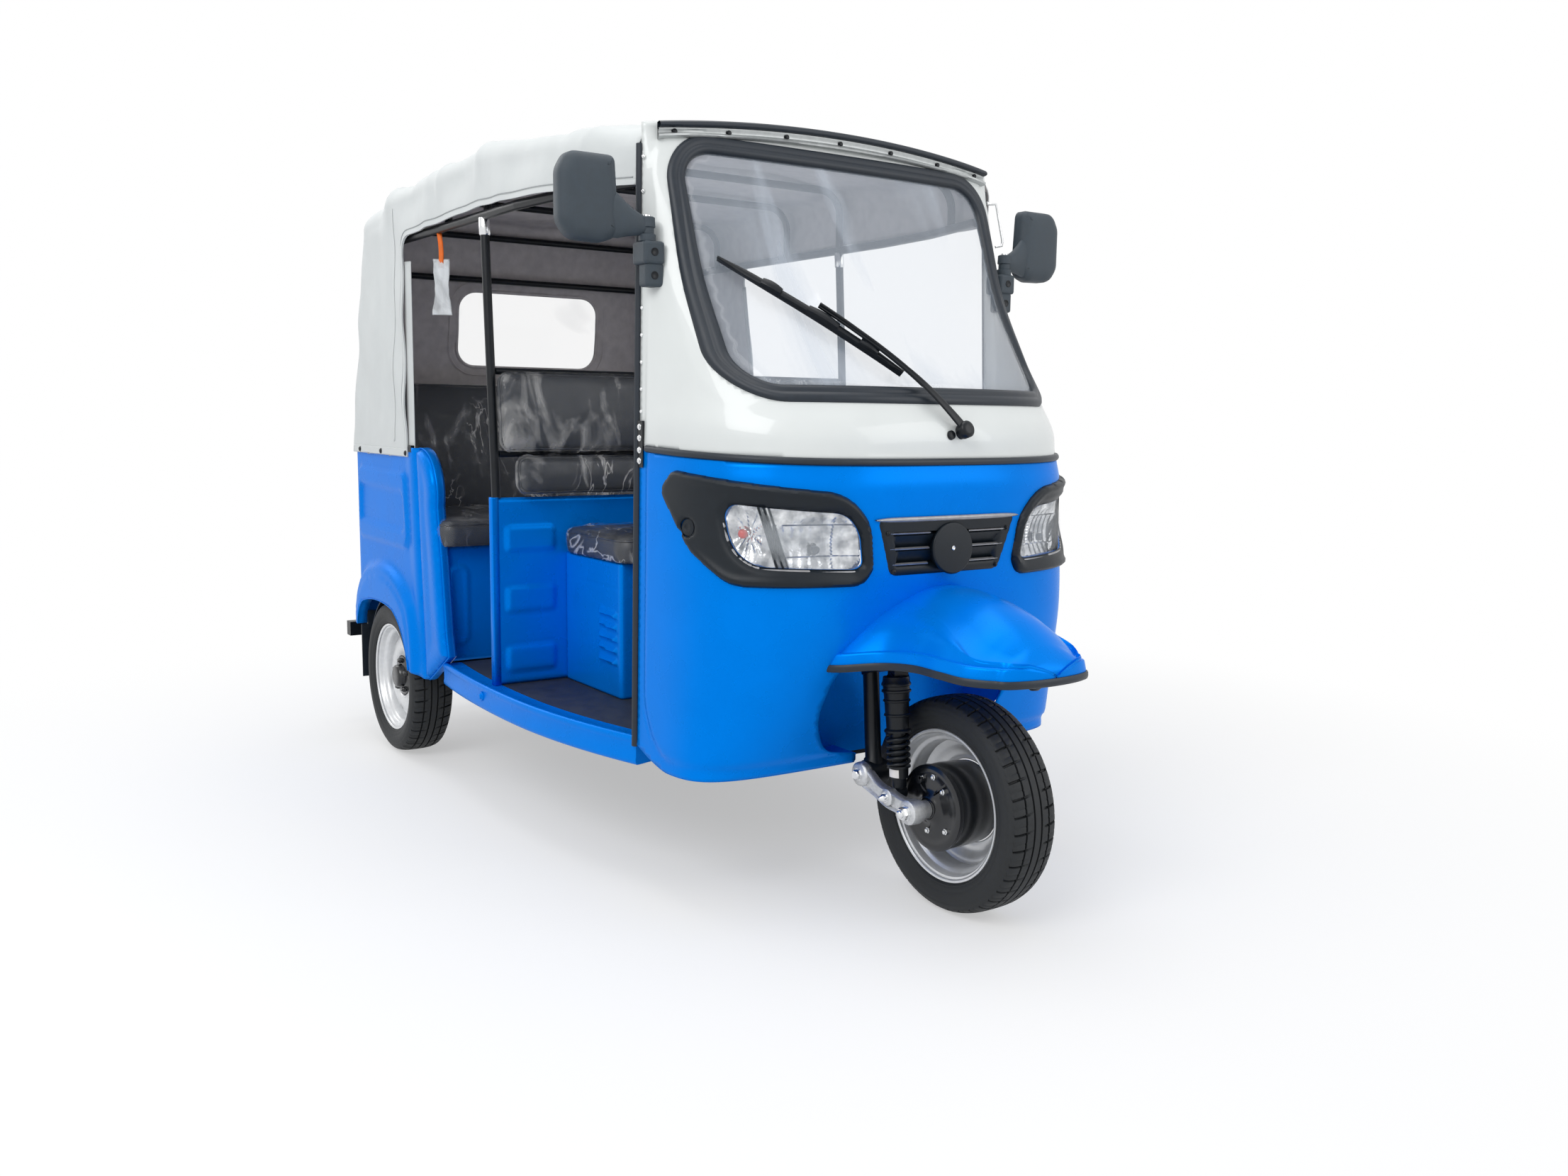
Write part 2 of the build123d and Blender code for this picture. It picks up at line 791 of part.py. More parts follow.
# ---------------------------------------------------------------- rear lid
hinge_x = body_rear_x - 9.0
hinge_z = lid_high_z + 14.0
hinge_r = 5.0
with BuildPart() as rear_lid:
    with BuildSketch(front_view.offset(body_rear_x)):
        with Locations((0, (lid_low_z + lid_high_z) / 2)):
            RectangleRounded(2 * lid_half_w, lid_high_z - lid_low_z, lid_r)
    extrude(amount=body_wall)
    with BuildSketch(front_view.offset(body_rear_x + 5)):
        with Locations((0, lid_low_z + 24)):
            Circle(14)
    extrude(amount=-24)
    for y in (-260.0, 260.0):
        add(slab((body_rear_x - 9, body_rear_x), (y - 20, y + 20), (lid_high_z - 60, hinge_z)))
        add(rod((hinge_x, y - 20, hinge_z), (hinge_x, y + 20, hinge_z), hinge_r))
save(rear_lid, "rear_lid")

with BuildPart() as lid_hinges:
    for y in (-260.0, 260.0):
        for side in (-1, 1):
            a = y + side * (20 + fit_gap)
            b = y + side * 42
            add(rod((hinge_x, a, hinge_z), (hinge_x, b, hinge_z), hinge_r))
            add(slab((body_rear_x - 9, body_rear_x), (min(a, b), max(a, b)), (hinge_z, hinge_z + 30)))
save(lid_hinges, "lid_hinges")

# ---------------------------------------------------------------- seats
box_wall = 5.0
driver_box_x = (partition_x + 2.0, 230.0)
driver_box_y = 390.0
driver_box_z = 709.0
louvre_w = 106.0

with BuildPart() as partition:
    add(
        slab(
            (partition_x - partition_t, partition_x),
            (-partition_half_w, partition_half_w),
            (floor_z, partition_top_z),
        )
    )
    with BuildSketch(front_view.offset(partition_x)):
        for y in (-495.0, 495.0):
            for z, h in ((753.0, 65.0), (586.0, 67.0), (421.0, 67.0)):
                with Locations((y, z)):
                    RectangleRounded(140, h, 10)
    extrude(amount=5, taper=30)
save(partition, "partition")

with BuildPart() as driver_seat_box:
    add(slab((partition_x, driver_box_x[1]), (-driver_box_y, driver_box_y), (floor_z, driver_box_z)))
    add(
        slab(
            (partition_x + box_wall, driver_box_x[1] - box_wall),
            (-driver_box_y + box_wall, driver_box_y - box_wall),
            (floor_z - 1, driver_box_z - box_wall),
        ),
        mode=Mode.SUBTRACT,
    )
    for side in (-1, 1):
        for i in range(5):
            z = 450.0 + i * 31.0
            y = side * driver_box_y
            lip = y + side * 9
            add(slab((2, 2 + louvre_w), (min(y, lip), max(y, lip)), (z, z + 14)))
save(driver_seat_box, "driver_seat_box")


def cushion(x, y, z, r):
    with BuildPart() as pad:
        with BuildSketch(Plane.XY.offset(z[0])):
            with Locations(((x[0] + x[1]) / 2, (y[0] + y[1]) / 2)):
                RectangleRounded(x[1] - x[0], y[1] - y[0], r)
        extrude(amount=z[1] - z[0])
        fillet(pad.faces().sort_by(Axis.Z)[-1].edges(), radius=r * 0.6)
    return pad.part


with BuildPart() as driver_cushion:
    add(cushion((partition_x + fit_gap, 262.0), (-400, 400), (driver_box_z + fit_gap, 795.0), 26))
save(driver_cushion, "driver_cushion")

pole_lean = 0.0701
foot_lift = 1.0  # keeps a leaning tube's foot clear of what it stands on


def pole_x(z):
    return partition_x - partition_t / 2 - pole_lean * (z - partition_top_z)


back_tubes_z = (982.0, 1203.0)
back_tube_r = 9.0
back_bar_r = 8.0
pad_t = 46.0


def back_pad(low, high, half_w):
    rear_low = pole_x(low) + back_bar_r + fit_gap
    rear_high = pole_x(high) + back_bar_r + fit_gap
    with BuildPart() as pad:
        with BuildSketch(side_view.offset(-half_w)):
            with BuildLine():
                Polyline(
                    (rear_low, low), (rear_low + pad_t, low), (rear_high + pad_t, high), (rear_high, high),
                    (rear_low, low),
                )
            make_face()
        extrude(amount=2 * half_w)
        fillet(pad.faces().sort_by(Axis.X)[-1].edges(), radius=14)
    return pad.part


with BuildPart() as driver_backrest:
    add(back_pad(992.0, 1196.0, 578.0))
    add(back_pad(partition_top_z + 10, 972.0, 535.0))
save(driver_backrest, "driver_backrest")

with BuildPart() as backrest_frame:
    for z in back_tubes_z:
        add(rod((pole_x(z), -pole_y + tube_r, z), (pole_x(z), pole_y - tube_r, z), back_tube_r))
    for y in (-420.0, 0.0, 420.0):
        for low, high in (
            (partition_top_z, back_tubes_z[0]),
            (back_tubes_z[0], back_tubes_z[1]),
        ):
            add(rod((pole_x(low), y, low + foot_lift), (pole_x(high), y, high), back_bar_r))
save(backrest_frame, "backrest_frame")

bench_x = (-1068.0, -488.0)
bench_z = 697.0
bench_half_w = body_half_w - body_wall
with BuildPart() as passenger_seat_base:
    add(slab((bench_x[1] - 20, bench_x[1] - 14), (-bench_half_w, bench_half_w), (floor_z, bench_z)))
    add(slab((bench_x[0] - 130, bench_x[1] - 14), (-bench_half_w, bench_half_w), (bench_z - 6, bench_z)))
    with BuildSketch(front_view.offset(bench_x[1] - 14)):
        for y in (-552.0, 552.0):
            with Locations((y, 520)):
                RectangleRounded(57, 238, 26)
    extrude(amount=5, taper=30)
save(passenger_seat_base, "passenger_seat_base")

with BuildPart() as passenger_cushion:
    add(cushion((-1010.0, -458.0), (-616, 616), (bench_z + fit_gap, 790.0), 26))
save(passenger_cushion, "passenger_cushion")

with BuildPart() as passenger_backrest:
    with BuildSketch(side_view.offset(-590)):
        with BuildLine():
            Polyline(
                (-1105, bench_z + fit_gap), (-1012, bench_z + fit_gap), (-1100, 1175), (-1185, 1175),
                (-1105, bench_z + fit_gap),
            )
        make_face()
    extrude(amount=1180)
    fillet(passenger_backrest.faces().sort_by(Axis.X)[-1].edges().sort_by(Axis.Z)[-1], radius=22)
save(passenger_backrest, "passenger_backrest")

with BuildPart() as battery_pack:
    add(slab((-780, -540), (-420, 420), (rail_top_z, 560)))
save(battery_pack, "battery_pack")

# ---------------------------------------------------------------- canopy
# x: place, half_w: half-width at the door header, side_z: roof height at its shoulder,
# crown: how much higher the middle is
canopy_rows = [
    # x, half_w, side_z, crown
    (-1420.0, 612.0, 1690.0, 20.0),
    (-1170.0, 612.0, 1716.0, 20.0),
    (-891.0, 612.0, 1763.0, 20.0),
    (-686.0, 612.0, 1780.0, 20.0),
    (-448.0, 612.0, 1779.0, 20.0),
    (-156.0, 612.0, 1796.0, 20.0),
    (180.0, 604.0, 1770.0, 26.0),
    (412.0, 576.0, 1742.0, 34.0),
    (575.0, 521.0, 1722.0, 42.0),
    (625.0, 519.0, 1718.0, 44.0),
]
header_z = 1600.0


def roof_under(half_w, side_z, crown, y):
    """The height of the roof's underside in a canopy row, at a distance from the middle."""
    span = half_w - canopy_t - shoulder
    rise = crown - shoulder_rise
    r = (span**2 + rise**2) / (2 * rise)
    return side_z - canopy_t + crown - r + (r**2 - y**2) ** 0.5


def canopy_plan(inward):
    """The canopy's sides and back, with its rounded rear corners."""
    with BuildPart() as plan:
        for z in (canopy_hem_z - 60, canopy_top_z):
            half = canopy_rows[0][1] + canopy_lean * (header_z - z) + 1.0 - inward
            rear = canopy_rear_x + canopy_rear_lean * (z - canopy_hem_z) + inward
            r = canopy_corner_r
            with BuildSketch(Plane.XY.offset(z)):
                with BuildLine():
                    Line((700, half), (rear + r, half))
                    RadiusArc((rear + r, half), (rear, half - r), -r)
                    Line((rear, half - r), (rear, r - half))
                    RadiusArc((rear, r - half), (rear + r, -half), -r)
                    Polyline((rear + r, -half), (700, -half), (700, half))
                make_face()
        loft(ruled=True)
    return plan.part


def canopy_solid(inward):
    """The filled canopy, its surface moved inwards."""
    with BuildPart() as solid:
        for x, half_w, side_z, crown in canopy_rows:
            w = half_w - inward
            top = side_z - inward
            low_z = canopy_hem_z - (40 if inward else 0)
            foot_w = w + canopy_lean * (header_z - low_z)
            ahead = x + (30 if inward and x == canopy_rows[-1][0] else 0)
            with BuildSketch(front_view.offset(ahead)):
                with BuildLine():
                    Polyline((-foot_w, low_z), (-w, header_z), (-w, top - shoulder))
                    eave = top + shoulder_rise
                    ThreePointArc((-w, top - shoulder), (-w + 12, top - 14), (-w + shoulder, eave))
                    ThreePointArc((-w + shoulder, eave), (0, top + crown), (w - shoulder, eave))
                    ThreePointArc((w - shoulder, eave), (w - 12, top - 14), (w, top - shoulder))
                    Polyline((w, top - shoulder), (w, header_z), (foot_w, low_z), (-foot_w, low_z))
                make_face()
        loft(ruled=True)
        add(canopy_plan(inward), mode=Mode.INTERSECT)
    return solid.part


def door_openings():
    with BuildPart() as block:
        with BuildSketch(side_view.offset(-800)):
            with BuildLine():
                Polyline((-688, 900), (-690, 1000), (-756, 1540))
                ThreePointArc((-756, 1540), (-745, 1592), (-698, 1614))
                Polyline((-698, 1614), (-128, 1630), (192, 1620), (700, 1598), (700, 900), (-688, 900))
            make_face()
        extrude(amount=1600)
    return block.part


def front_trim():
    """All that lies ahead of the canopy's front edge, inside the cowl's upright top."""
    edge_x = door_edge(cowl_top_z)[0] - fit_gap
    with BuildPart() as block:
        add(slab((edge_x, 760), (-700, 700), (1500, 1900)))
        with BuildSketch(Plane.XY.offset(1400)):
            with BuildLine():
                inner = cowl_points(cowl_rows[-1], -cowl_wall - fit_gap)
                arc_chain(inner)
                Polyline(inner[-1], (edge_x - 60, inner[-1][1]), (edge_x - 60, inner[0][1]), inner[0])
            make_face()
        extrude(amount=600, mode=Mode.SUBTRACT)
    return block.part


def canopy_shell():
    with BuildPart() as shell:
        add(canopy_solid(0.0))
        add(canopy_solid(canopy_t), mode=Mode.SUBTRACT)
        add(door_openings(), mode=Mode.SUBTRACT)
        add(front_trim(), mode=Mode.SUBTRACT)
    return shell.part


def window_prism():
    with BuildPart() as block:
        with BuildSketch(front_view.offset(-1400)):
            with Locations((0, window_z)):
                RectangleRounded(window_w, window_h, window_r)
        extrude(amount=400)
    return block.part


shell_part = canopy_shell()
with BuildPart() as canopy:
    add(shell_part)
    add(window_prism(), mode=Mode.SUBTRACT)
save(canopy, "canopy")

with BuildPart() as rear_window:
    add(shell_part)
    add(window_prism(), mode=Mode.INTERSECT)
save(rear_window, "rear_window")

# ---------------------------------------------------------------- roof frame
bow_xs = (-891.0, -448.0, -156.0, 412.0)
bow_bend = 75.0
bow_gap = 0.8  # under the roof, at the bow's bend
rail_z = 1612.0
rail_route = [(-1181.0, 552.0), (-1110.0, pole_y), (60.0, pole_y), (300.0, 566.0), (560.0, 504.0)]
rear_bars = [
    # x, z of the two bars across the canopy's back
    (-1190.0, 1545.0),
    (-1170.0, 1688.0),
]
post_y = 556.0
post_foot = (-1250.0, body_top_z + foot_lift)
post_head = (-1181.0, rail_z)

with BuildPart() as roof_frame:
    for side in (-1, 1):
        with BuildLine(mode=Mode.PRIVATE) as header:
            FilletPolyline(*[(x, side * y, rail_z) for x, y in rail_route], radius=60)
        add(tube(header.line, tube_r))
        add(
            rod(
                (post_foot[0], side * post_y, post_foot[1]),
                (post_head[0], side * post_y, post_head[1]),
                post_r,
            )
        )
        add(
            rod(
                (pole_x(partition_top_z), side * pole_y, partition_top_z + foot_lift),
                (pole_x(rail_z), side * pole_y, rail_z),
                pole_r,
            )
        )
    for x, half_w, side_z, crown in [row for row in canopy_rows if row[0] in bow_xs]:
        half = min(pole_y, half_w - 31.0)
        top = roof_under(half_w, side_z, crown, half - bow_bend) - bow_gap - bow_r
        with BuildLine(mode=Mode.PRIVATE) as bow:
            FilletPolyline(
                (x, -half, rail_z), (x, -half, top), (x, half, top), (x, half, rail_z), radius=bow_bend
            )
        add(tube(bow.line, bow_r))
    for x, z in rear_bars:
        half = 540.0
        if z < rail_z:
            add(rod((x, -post_y, z), (x, post_y, z), bar_back_r))
        else:
            with BuildLine(mode=Mode.PRIVATE) as bow:
                FilletPolyline(
                    (x - 8, -post_y, rail_z), (x, -half, z), (x, half, z), (x - 8, post_y, rail_z), radius=30
                )
            add(tube(bow.line, bar_back_r))
save(roof_frame, "roof_frame")

# ---------------------------------------------------------------- bumper, flaps, rear lamps
bumper_x = (-1388.0, rail_rear_x)
bumper_z = (308.0, 357.0)
bumper_half_w = 635.0
bumper_hole_r = 6.0
bumper_hole_y = 200.0
with BuildPart() as rear_bumper:
    add(slab(bumper_x, (-bumper_half_w, bumper_half_w), bumper_z))
    with BuildSketch(front_view.offset(bumper_x[0] - 1)):
        with Locations((-bumper_hole_y, 332), (bumper_hole_y, 332)):
            Circle(bumper_hole_r)
    extrude(amount=60, mode=Mode.SUBTRACT)
save(rear_bumper, "rear_bumper")

with BuildPart() as mudflaps:
    for side in (-1, 1):
        a = side * 512
        b = side * 646
        c = side * 505
        d = side * (body_half_w - body_wall)
        add(slab((-1180, -1175), (min(a, b), max(a, b)), (195, 374)))
        add(slab((-1183, -1172), (min(c, d), max(c, d)), (360, 420)))
save(mudflaps, "mudflaps")

with BuildPart() as tail_lamps:
    with BuildSketch(front_view.offset(body_rear_x)):
        for y in (-490.0, 490.0):
            with Locations((y, 700)):
                RectangleRounded(84, 190, 20)
    extrude(amount=-26)
    fillet(tail_lamps.faces().sort_by(Axis.X)[:2].edges(), radius=8)
save(tail_lamps, "tail_lamps")

# ---------------------------------------------------------------- rear axle and springs
spindle_r = 17.0
drum_y = 492.0
with BuildPart() as rear_axle:
    add(rod((rear_axle_x, -470, axle_z), (rear_axle_x, 470, axle_z), axle_tube_r))
    for side in (-1, 1):
        add(rod((rear_axle_x, side * 465, axle_z), (rear_axle_x, side * drum_y, axle_z), 96))
        add(rod((rear_axle_x, side * 470, axle_z), (rear_axle_x, side * 606, axle_z), spindle_r))
        add(
            slab(
                (rear_axle_x - 30, rear_axle_x + 30),
                (side * rail_y - 30, side * rail_y + 30),
                (leaf_mid_z + leaf_seat_gap, axle_z),
            )
        )
    with BuildSketch(side_view.offset(-75)):
        with Locations((rear_axle_x, axle_z)):
            Circle(92)
    extrude(amount=150)
save(rear_axle, "rear_axle")

leaf_reach = 400.0
with BuildPart() as leaf_springs:
    for side in (-1, 1):
        with BuildSketch(side_view.offset(-side * rail_y - leaf_w / 2)):
            with BuildLine():
                a = rear_axle_x - leaf_reach
                b = rear_axle_x + leaf_reach
                ThreePointArc((a, leaf_end_z), (rear_axle_x, leaf_mid_z), (b, leaf_end_z))
                Line((b, leaf_end_z), (b, leaf_end_z - 8))
                ThreePointArc((b, leaf_end_z - 8), (rear_axle_x, leaf_mid_z - leaf_t), (a, leaf_end_z - 8))
                Line((a, leaf_end_z - 8), (a, leaf_end_z))
            make_face()
            with Locations((a, leaf_end_z + leaf_eye_drop), (b, leaf_end_z + leaf_eye_drop)):
                Circle(leaf_eye_r)
        extrude(amount=leaf_w)
save(leaf_springs, "leaf_springs")

with BuildPart() as drive_motor:
    add(rod((rear_axle_x + 92 + fit_gap, 0, axle_z), (rear_axle_x + 330, 0, axle_z), 78))
save(drive_motor, "drive_motor")

# ---------------------------------------------------------------- dashboard and pedals
dash_x = 882.0
dash_z = (922.0, 942.0)
with BuildPart() as dashboard:
    add(slab((dash_x, 1200), (-515, 515), dash_z))
    add(lower_inside, mode=Mode.INTERSECT)
    add(slab((dash_x + 20, dash_x + 80), (-95, 95), (dash_z[1], dash_z[1] + 60)))
save(dashboard, "dashboard")

with BuildPart() as pedals:
    add(slab((640, 652), (-210, -150), (floor_z, 470)))
    add(slab((600, 652), (-200, -160), (floor_z, floor_z + 12)))
save(pedals, "pedals")

# ---------------------------------------------------------------- mirrors and wiper
mirror_x = 619.0
mirror_y = (597.0, 737.0)
mirror_z = (1461.0, 1648.0)
mirror_depth = 46.0
bracket_x = (585.0, 663.0)
bracket_z = (1375.0, 1470.0)
with BuildPart() as mirror_brackets:
    add(slab(bracket_x, (500, 548), bracket_z))
    add(rod((640, 534, 1470), (640, 534, 1492), 12))
    add(upper_clear, mode=Mode.SUBTRACT)
    mirror(about=mirror_plane)
save(mirror_brackets, "mirror_brackets")

with BuildPart() as mirrors:
    with BuildSketch(front_view.offset(mirror_x - mirror_depth / 2)):
        with BuildLine():
            Polyline(
                (mirror_y[0], mirror_z[0] + 30), (mirror_y[0] + 8, mirror_z[1] - 8), (mirror_y[0] + 30, mirror_z[1]),
                (mirror_y[1] - 24, mirror_z[1] - 6), (mirror_y[1], mirror_z[1] - 40),
                (mirror_y[1], mirror_z[0] + 40), (mirror_y[1] - 24, mirror_z[0] + 6),
                (mirror_y[0] + 40, mirror_z[0]), (mirror_y[0], mirror_z[0] + 30),
            )
        make_face()
    extrude(amount=mirror_depth)
    chamfer(mirrors.faces().sort_by(Axis.X)[-1].edges(), length=14)
    add(slab((628, 652), (524, 612), (1492 + fit_gap, 1512)))
    mirror(about=mirror_plane)
save(mirrors, "mirrors")

wiper_pivot = (28.0, 1062.0)
with BuildPart() as wiper:
    base_x = cowl_x(wiper_pivot[0], wiper_pivot[1])
    add(rod((base_x - 12, *wiper_pivot), (base_x + 30, *wiper_pivot), 14))
    elbow = (cowl_x(-60, 1150) + 30, -60, 1150)
    middle = (cowl_x(-233, 1318) + 26, -233, 1318)
    add(rod((base_x + 24, *wiper_pivot), elbow, 6))
    add(rod(elbow, middle, 6))
    blade = [(-405.0, 1430.0), (-233.0, 1318.0), (-92.0, 1182.0)]
    for (y0, z0), (y1, z1) in zip(blade, blade[1:]):
        add(rod((cowl_x(y0, z0) + 20, y0, z0), (cowl_x(y1, z1) + 20, y1, z1), 7))
    add(upper_clear, mode=Mode.SUBTRACT)
save(wiper, "wiper")

with BuildPart() as joint_plates:
    edge_x, edge_y = door_edge(1027.0)
    add(slab((edge_x, edge_x + plate_w), (edge_y - 20, edge_y + 5), (975, 1080)))
    add(lower_clear, mode=Mode.SUBTRACT)
    mirror(about=mirror_plane)
save(joint_plates, "joint_plates")

# ---------------------------------------------------------------- steering
leg_y = -112.0
leg_r = 18.0
leg_top = (926.0, leg_y, 545.0)
pivot = (946.0, leg_y, 287.0)
crown_z = 545.0
link_y = (-152.0, leg_y - leg_r - fit_gap)
shock_top = (1025.0, -116.0, 500.0)
shock_low = (1044.0, -116.0, 280.0)
axle_r = 10.0
lean = radians(caster)
bar_z = 985.0
clamp_lift = 19.0
stem_top_z = bar_z + clamp_lift * cos(lean)
crown = Plane(
    origin=(steer_x(crown_z), 0, crown_z), x_dir=(cos(lean), 0, sin(lean)), z_dir=(-sin(lean), 0, cos(lean))
)

with BuildPart() as fork:
    with BuildSketch(crown.offset(-14)):
        with BuildLine():
            Polyline((-62, -140), (40, -140), (78, -128), (78, -92), (34, 34), (-34, 34), (-62, -140))
        make_face()
        fillet(vertices(), radius=12)
    extrude(amount=28)
    add(rod((steer_x(crown_z + 8), 0, crown_z + 8), (steer_x(stem_top_z), 0, stem_top_z), stem_r))
    add(rod(leg_top, pivot, leg_r))
    add(rod((pivot[0], leg_y - leg_r, pivot[2]), (pivot[0], leg_y + leg_r, pivot[2]), 27))
    add(rod((shock_top[0], leg_y - 22, shock_top[2] + 17), (shock_top[0], leg_y + 22, shock_top[2] + 17), 15))
    add(slab((shock_top[0] - 12, shock_top[0] + 12), (leg_y - 20, leg_y + 20), (shock_top[2] + 16, 556)))
save(fork, "fork")

with BuildPart() as front_link:
    with BuildSketch(side_view.offset(-link_y[1])):
        with BuildLine():
            Polyline((pivot[0], pivot[2]), (shock_low[0], 252.0), (front_axle_x, axle_z))
        trace(line_width=34)
        with Locations((pivot[0], pivot[2])):
            Circle(25)
        with Locations((shock_low[0], 255.0)):
            Circle(20)
        with Locations((front_axle_x, axle_z)):
            Circle(24)
    extrude(amount=link_y[1] - link_y[0])
    add(rod((front_axle_x, -162, axle_z), (front_axle_x, 60, axle_z), axle_r))
    add(rod((front_axle_x, -164, axle_z), (front_axle_x, -150, axle_z), 16))
save(front_link, "front_link")

spring_r = 28.0
wire_r = 4.5
coils = 10
with BuildPart() as shock_absorber:
    add(rod(shock_low, shock_top, 15))
    add(rod((shock_low[0], link_y[1] + fit_gap, shock_low[2] - 16), (shock_low[0], -102, shock_low[2] - 16), 16))
    axis_dir = (Vector(*shock_top) - Vector(*shock_low)).normalized()
    for i in range(coils):
        at = Vector(*shock_low) + axis_dir * (30 + i * 17.5)
        with BuildSketch(Plane(origin=at, z_dir=axis_dir)):
            Circle(spring_r)
        extrude(amount=2 * wire_r)
    add(rod(Vector(*shock_low) + axis_dir * 30, Vector(*shock_low) + axis_dir * 205, 22))
save(shock_absorber, "shock_absorber")

plate_y = (-86.0, -78.0)
with BuildPart() as brake_plate:
    with BuildSketch(side_view.offset(-plate_y[1])):
        with Locations((front_axle_x, axle_z)):
            Circle(94)
            Circle(axle_r + fit_gap, mode=Mode.SUBTRACT)
    extrude(amount=plate_y[1] - plate_y[0])
    with BuildSketch(side_view.offset(-plate_y[0])):
        with Locations((front_axle_x, axle_z)):
            Circle(26)
            Circle(axle_r + fit_gap, mode=Mode.SUBTRACT)
    extrude(amount=plate_y[0] - link_y[1] - fit_gap)
save(brake_plate, "brake_plate")

handle = Plane(
    origin=(steer_x(bar_z), 0, bar_z), x_dir=(cos(lean), 0, sin(lean)), z_dir=(-sin(lean), 0, cos(lean))
)
bar_r = 11.0
grip_r = 16.0
with BuildPart() as handlebar:
    with BuildLine(handle.offset(20 + bar_r), mode=Mode.PRIVATE) as bar_route:
        FilletPolyline((-70, -330), (0, -190), (0, 190), (-70, 330), radius=60)
    add(tube(bar_route.line, bar_r))
    for side in (-1, 1):
        a = handle.offset(20 + bar_r).from_local_coords(Vector(-70, side * 330, 0))
        b = handle.offset(20 + bar_r).from_local_coords(Vector(-14, side * 218, 0))
        add(rod(a, b, grip_r))
    with BuildSketch(handle.offset(clamp_lift)):
        Circle(26)
    extrude(amount=2 * bar_r + 8)
save(handlebar, "handlebar")

# ---------------------------------------------------------------- wheels
def tyre_profile():
    """Section of a tyre: x is the radius, y runs across the tread."""
    w = tyre_half_w
    Polyline((bead_r + fit_gap, -43), (rim_r + 0.6, -46), (rim_r + 1, -54), (rim_r + 16, -w + 5))
    ThreePointArc((rim_r + 16, -w + 5), (rim_r + 36, -w), (tyre_r - 16, -w + 6))
    ThreePointArc((tyre_r - 16, -w + 6), (tyre_r - 6, -w + 12), (tyre_r - 3, -w + 20))
    ThreePointArc((tyre_r - 3, -w + 20), (tyre_r, 0), (tyre_r - 3, w - 20))
    ThreePointArc((tyre_r - 3, w - 20), (tyre_r - 6, w - 12), (tyre_r - 16, w - 6))
    ThreePointArc((tyre_r - 16, w - 6), (rim_r + 36, w), (rim_r + 16, w - 5))
    Polyline(
        (rim_r + 16, w - 5), (rim_r + 1, 54), (rim_r + 0.6, 46), (bead_r + fit_gap, 43),
        (bead_r + fit_gap, -43),
    )


def wheel_plane(x, y):
    """Local x is the radius, local y is +Y, about the wheel's axle."""
    return Plane(origin=(x, y, axle_z), x_dir=(1, 0, 0), z_dir=(0, 0, -1))


def tyre(x, y):
    plane = wheel_plane(x, y)
    with BuildPart() as ring:
        with BuildSketch(plane):
            with BuildLine():
                tyre_profile()
            make_face()
        revolve(axis=Axis((x, y, axle_z), (0, 1, 0)))
    return ring.part


def rim(x, y, out, disc_y, hub_r):
    """A pressed rim on a hub. out is the side that its disc faces, +1 or -1 in Y."""
    barrel = [
        (bead_r - 4, -50), (rim_r, -54), (rim_r, -48), (bead_r, -45), (bead_r - 14, -30), (bead_r - 14, 30),
        (bead_r, 45), (rim_r, 48), (rim_r, 54), (bead_r - 4, 50), (bead_r - 19, 32), (bead_r - 19, -32),
        (bead_r - 4, -50),
    ]
    disc = [
        (bead_r - 16, disc_y - 14), (bead_r - 16, disc_y - 8), (118, disc_y + 2), (hub_r + 6, disc_y + 10),
        (hub_r, disc_y + 10), (hub_r, disc_y + 4), (hub_r + 4, disc_y + 4), (114, disc_y - 4),
        (bead_r - 16, disc_y - 14),
    ]
    with BuildPart() as wheel:
        with BuildSketch(Plane(origin=(x, y, axle_z), x_dir=(1, 0, 0), z_dir=(0, 0, out))):
            with BuildLine():
                Polyline(*barrel)
            make_face()
            with BuildLine():
                Polyline(*disc)
            make_face()
        revolve(axis=Axis((x, y, axle_z), (0, 1, 0)))
    return wheel.part


def wheel_hub(x, y, low, high, bore_r, hub_r):
    with BuildPart() as hub:
        with BuildSketch(side_view.offset(-high)):
            with Locations((x, axle_z)):
                Circle(hub_r)
                Circle(bore_r, mode=Mode.SUBTRACT)
        extrude(amount=high - low)
    return hub.part


with BuildPart() as front_tyre:
    add(tyre(front_axle_x, 0.0))
save(front_tyre, "front_tyre")

front_hub_r = 90.0
front_hub_y = (plate_y[1] + 2.0, 31.0)
with BuildPart() as front_rim:
    add(rim(front_axle_x, 0.0, 1, 20.0, front_hub_r))
save(front_rim, "front_rim")

with BuildPart() as front_hub:
    add(wheel_hub(front_axle_x, 0.0, front_hub_y[0], front_hub_y[1], axle_r + run_gap, front_hub_r))
save(front_hub, "front_hub")

rear_hub_r = 62.0
for name, side in (("right", -1), ("left", 1)):
    wheel_y = side * rear_wheel_y
    with BuildPart() as rear_tyre:
        add(tyre(rear_axle_x, wheel_y))
    save(rear_tyre, f"rear_tyre_{name}")
    with BuildPart() as rear_rim:
        add(rim(rear_axle_x, wheel_y, side, 12.0, rear_hub_r))
    save(rear_rim, f"rear_rim_{name}")
    with BuildPart() as rear_hub:
        a = side * (drum_y + 2)
        b = side * 618
        add(wheel_hub(rear_axle_x, 0, min(a, b), max(a, b), spindle_r + run_gap, rear_hub_r))
    save(rear_hub, f"rear_hub_{name}")
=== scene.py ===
"""Looks of the three-wheeled auto rickshaw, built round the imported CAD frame.

Lengths in this script are millimetres in the CAD's frame: +X ahead, +Y to the vehicle's left, Z up.
add_mesh and add_tube turn them into metres. A table's columns are named in a comment at its head.
word is the side in a piece's name.
"""

import bmesh
import bpy
import json
import math
import numpy as np
from mathutils import Matrix, Vector, geometry, noise


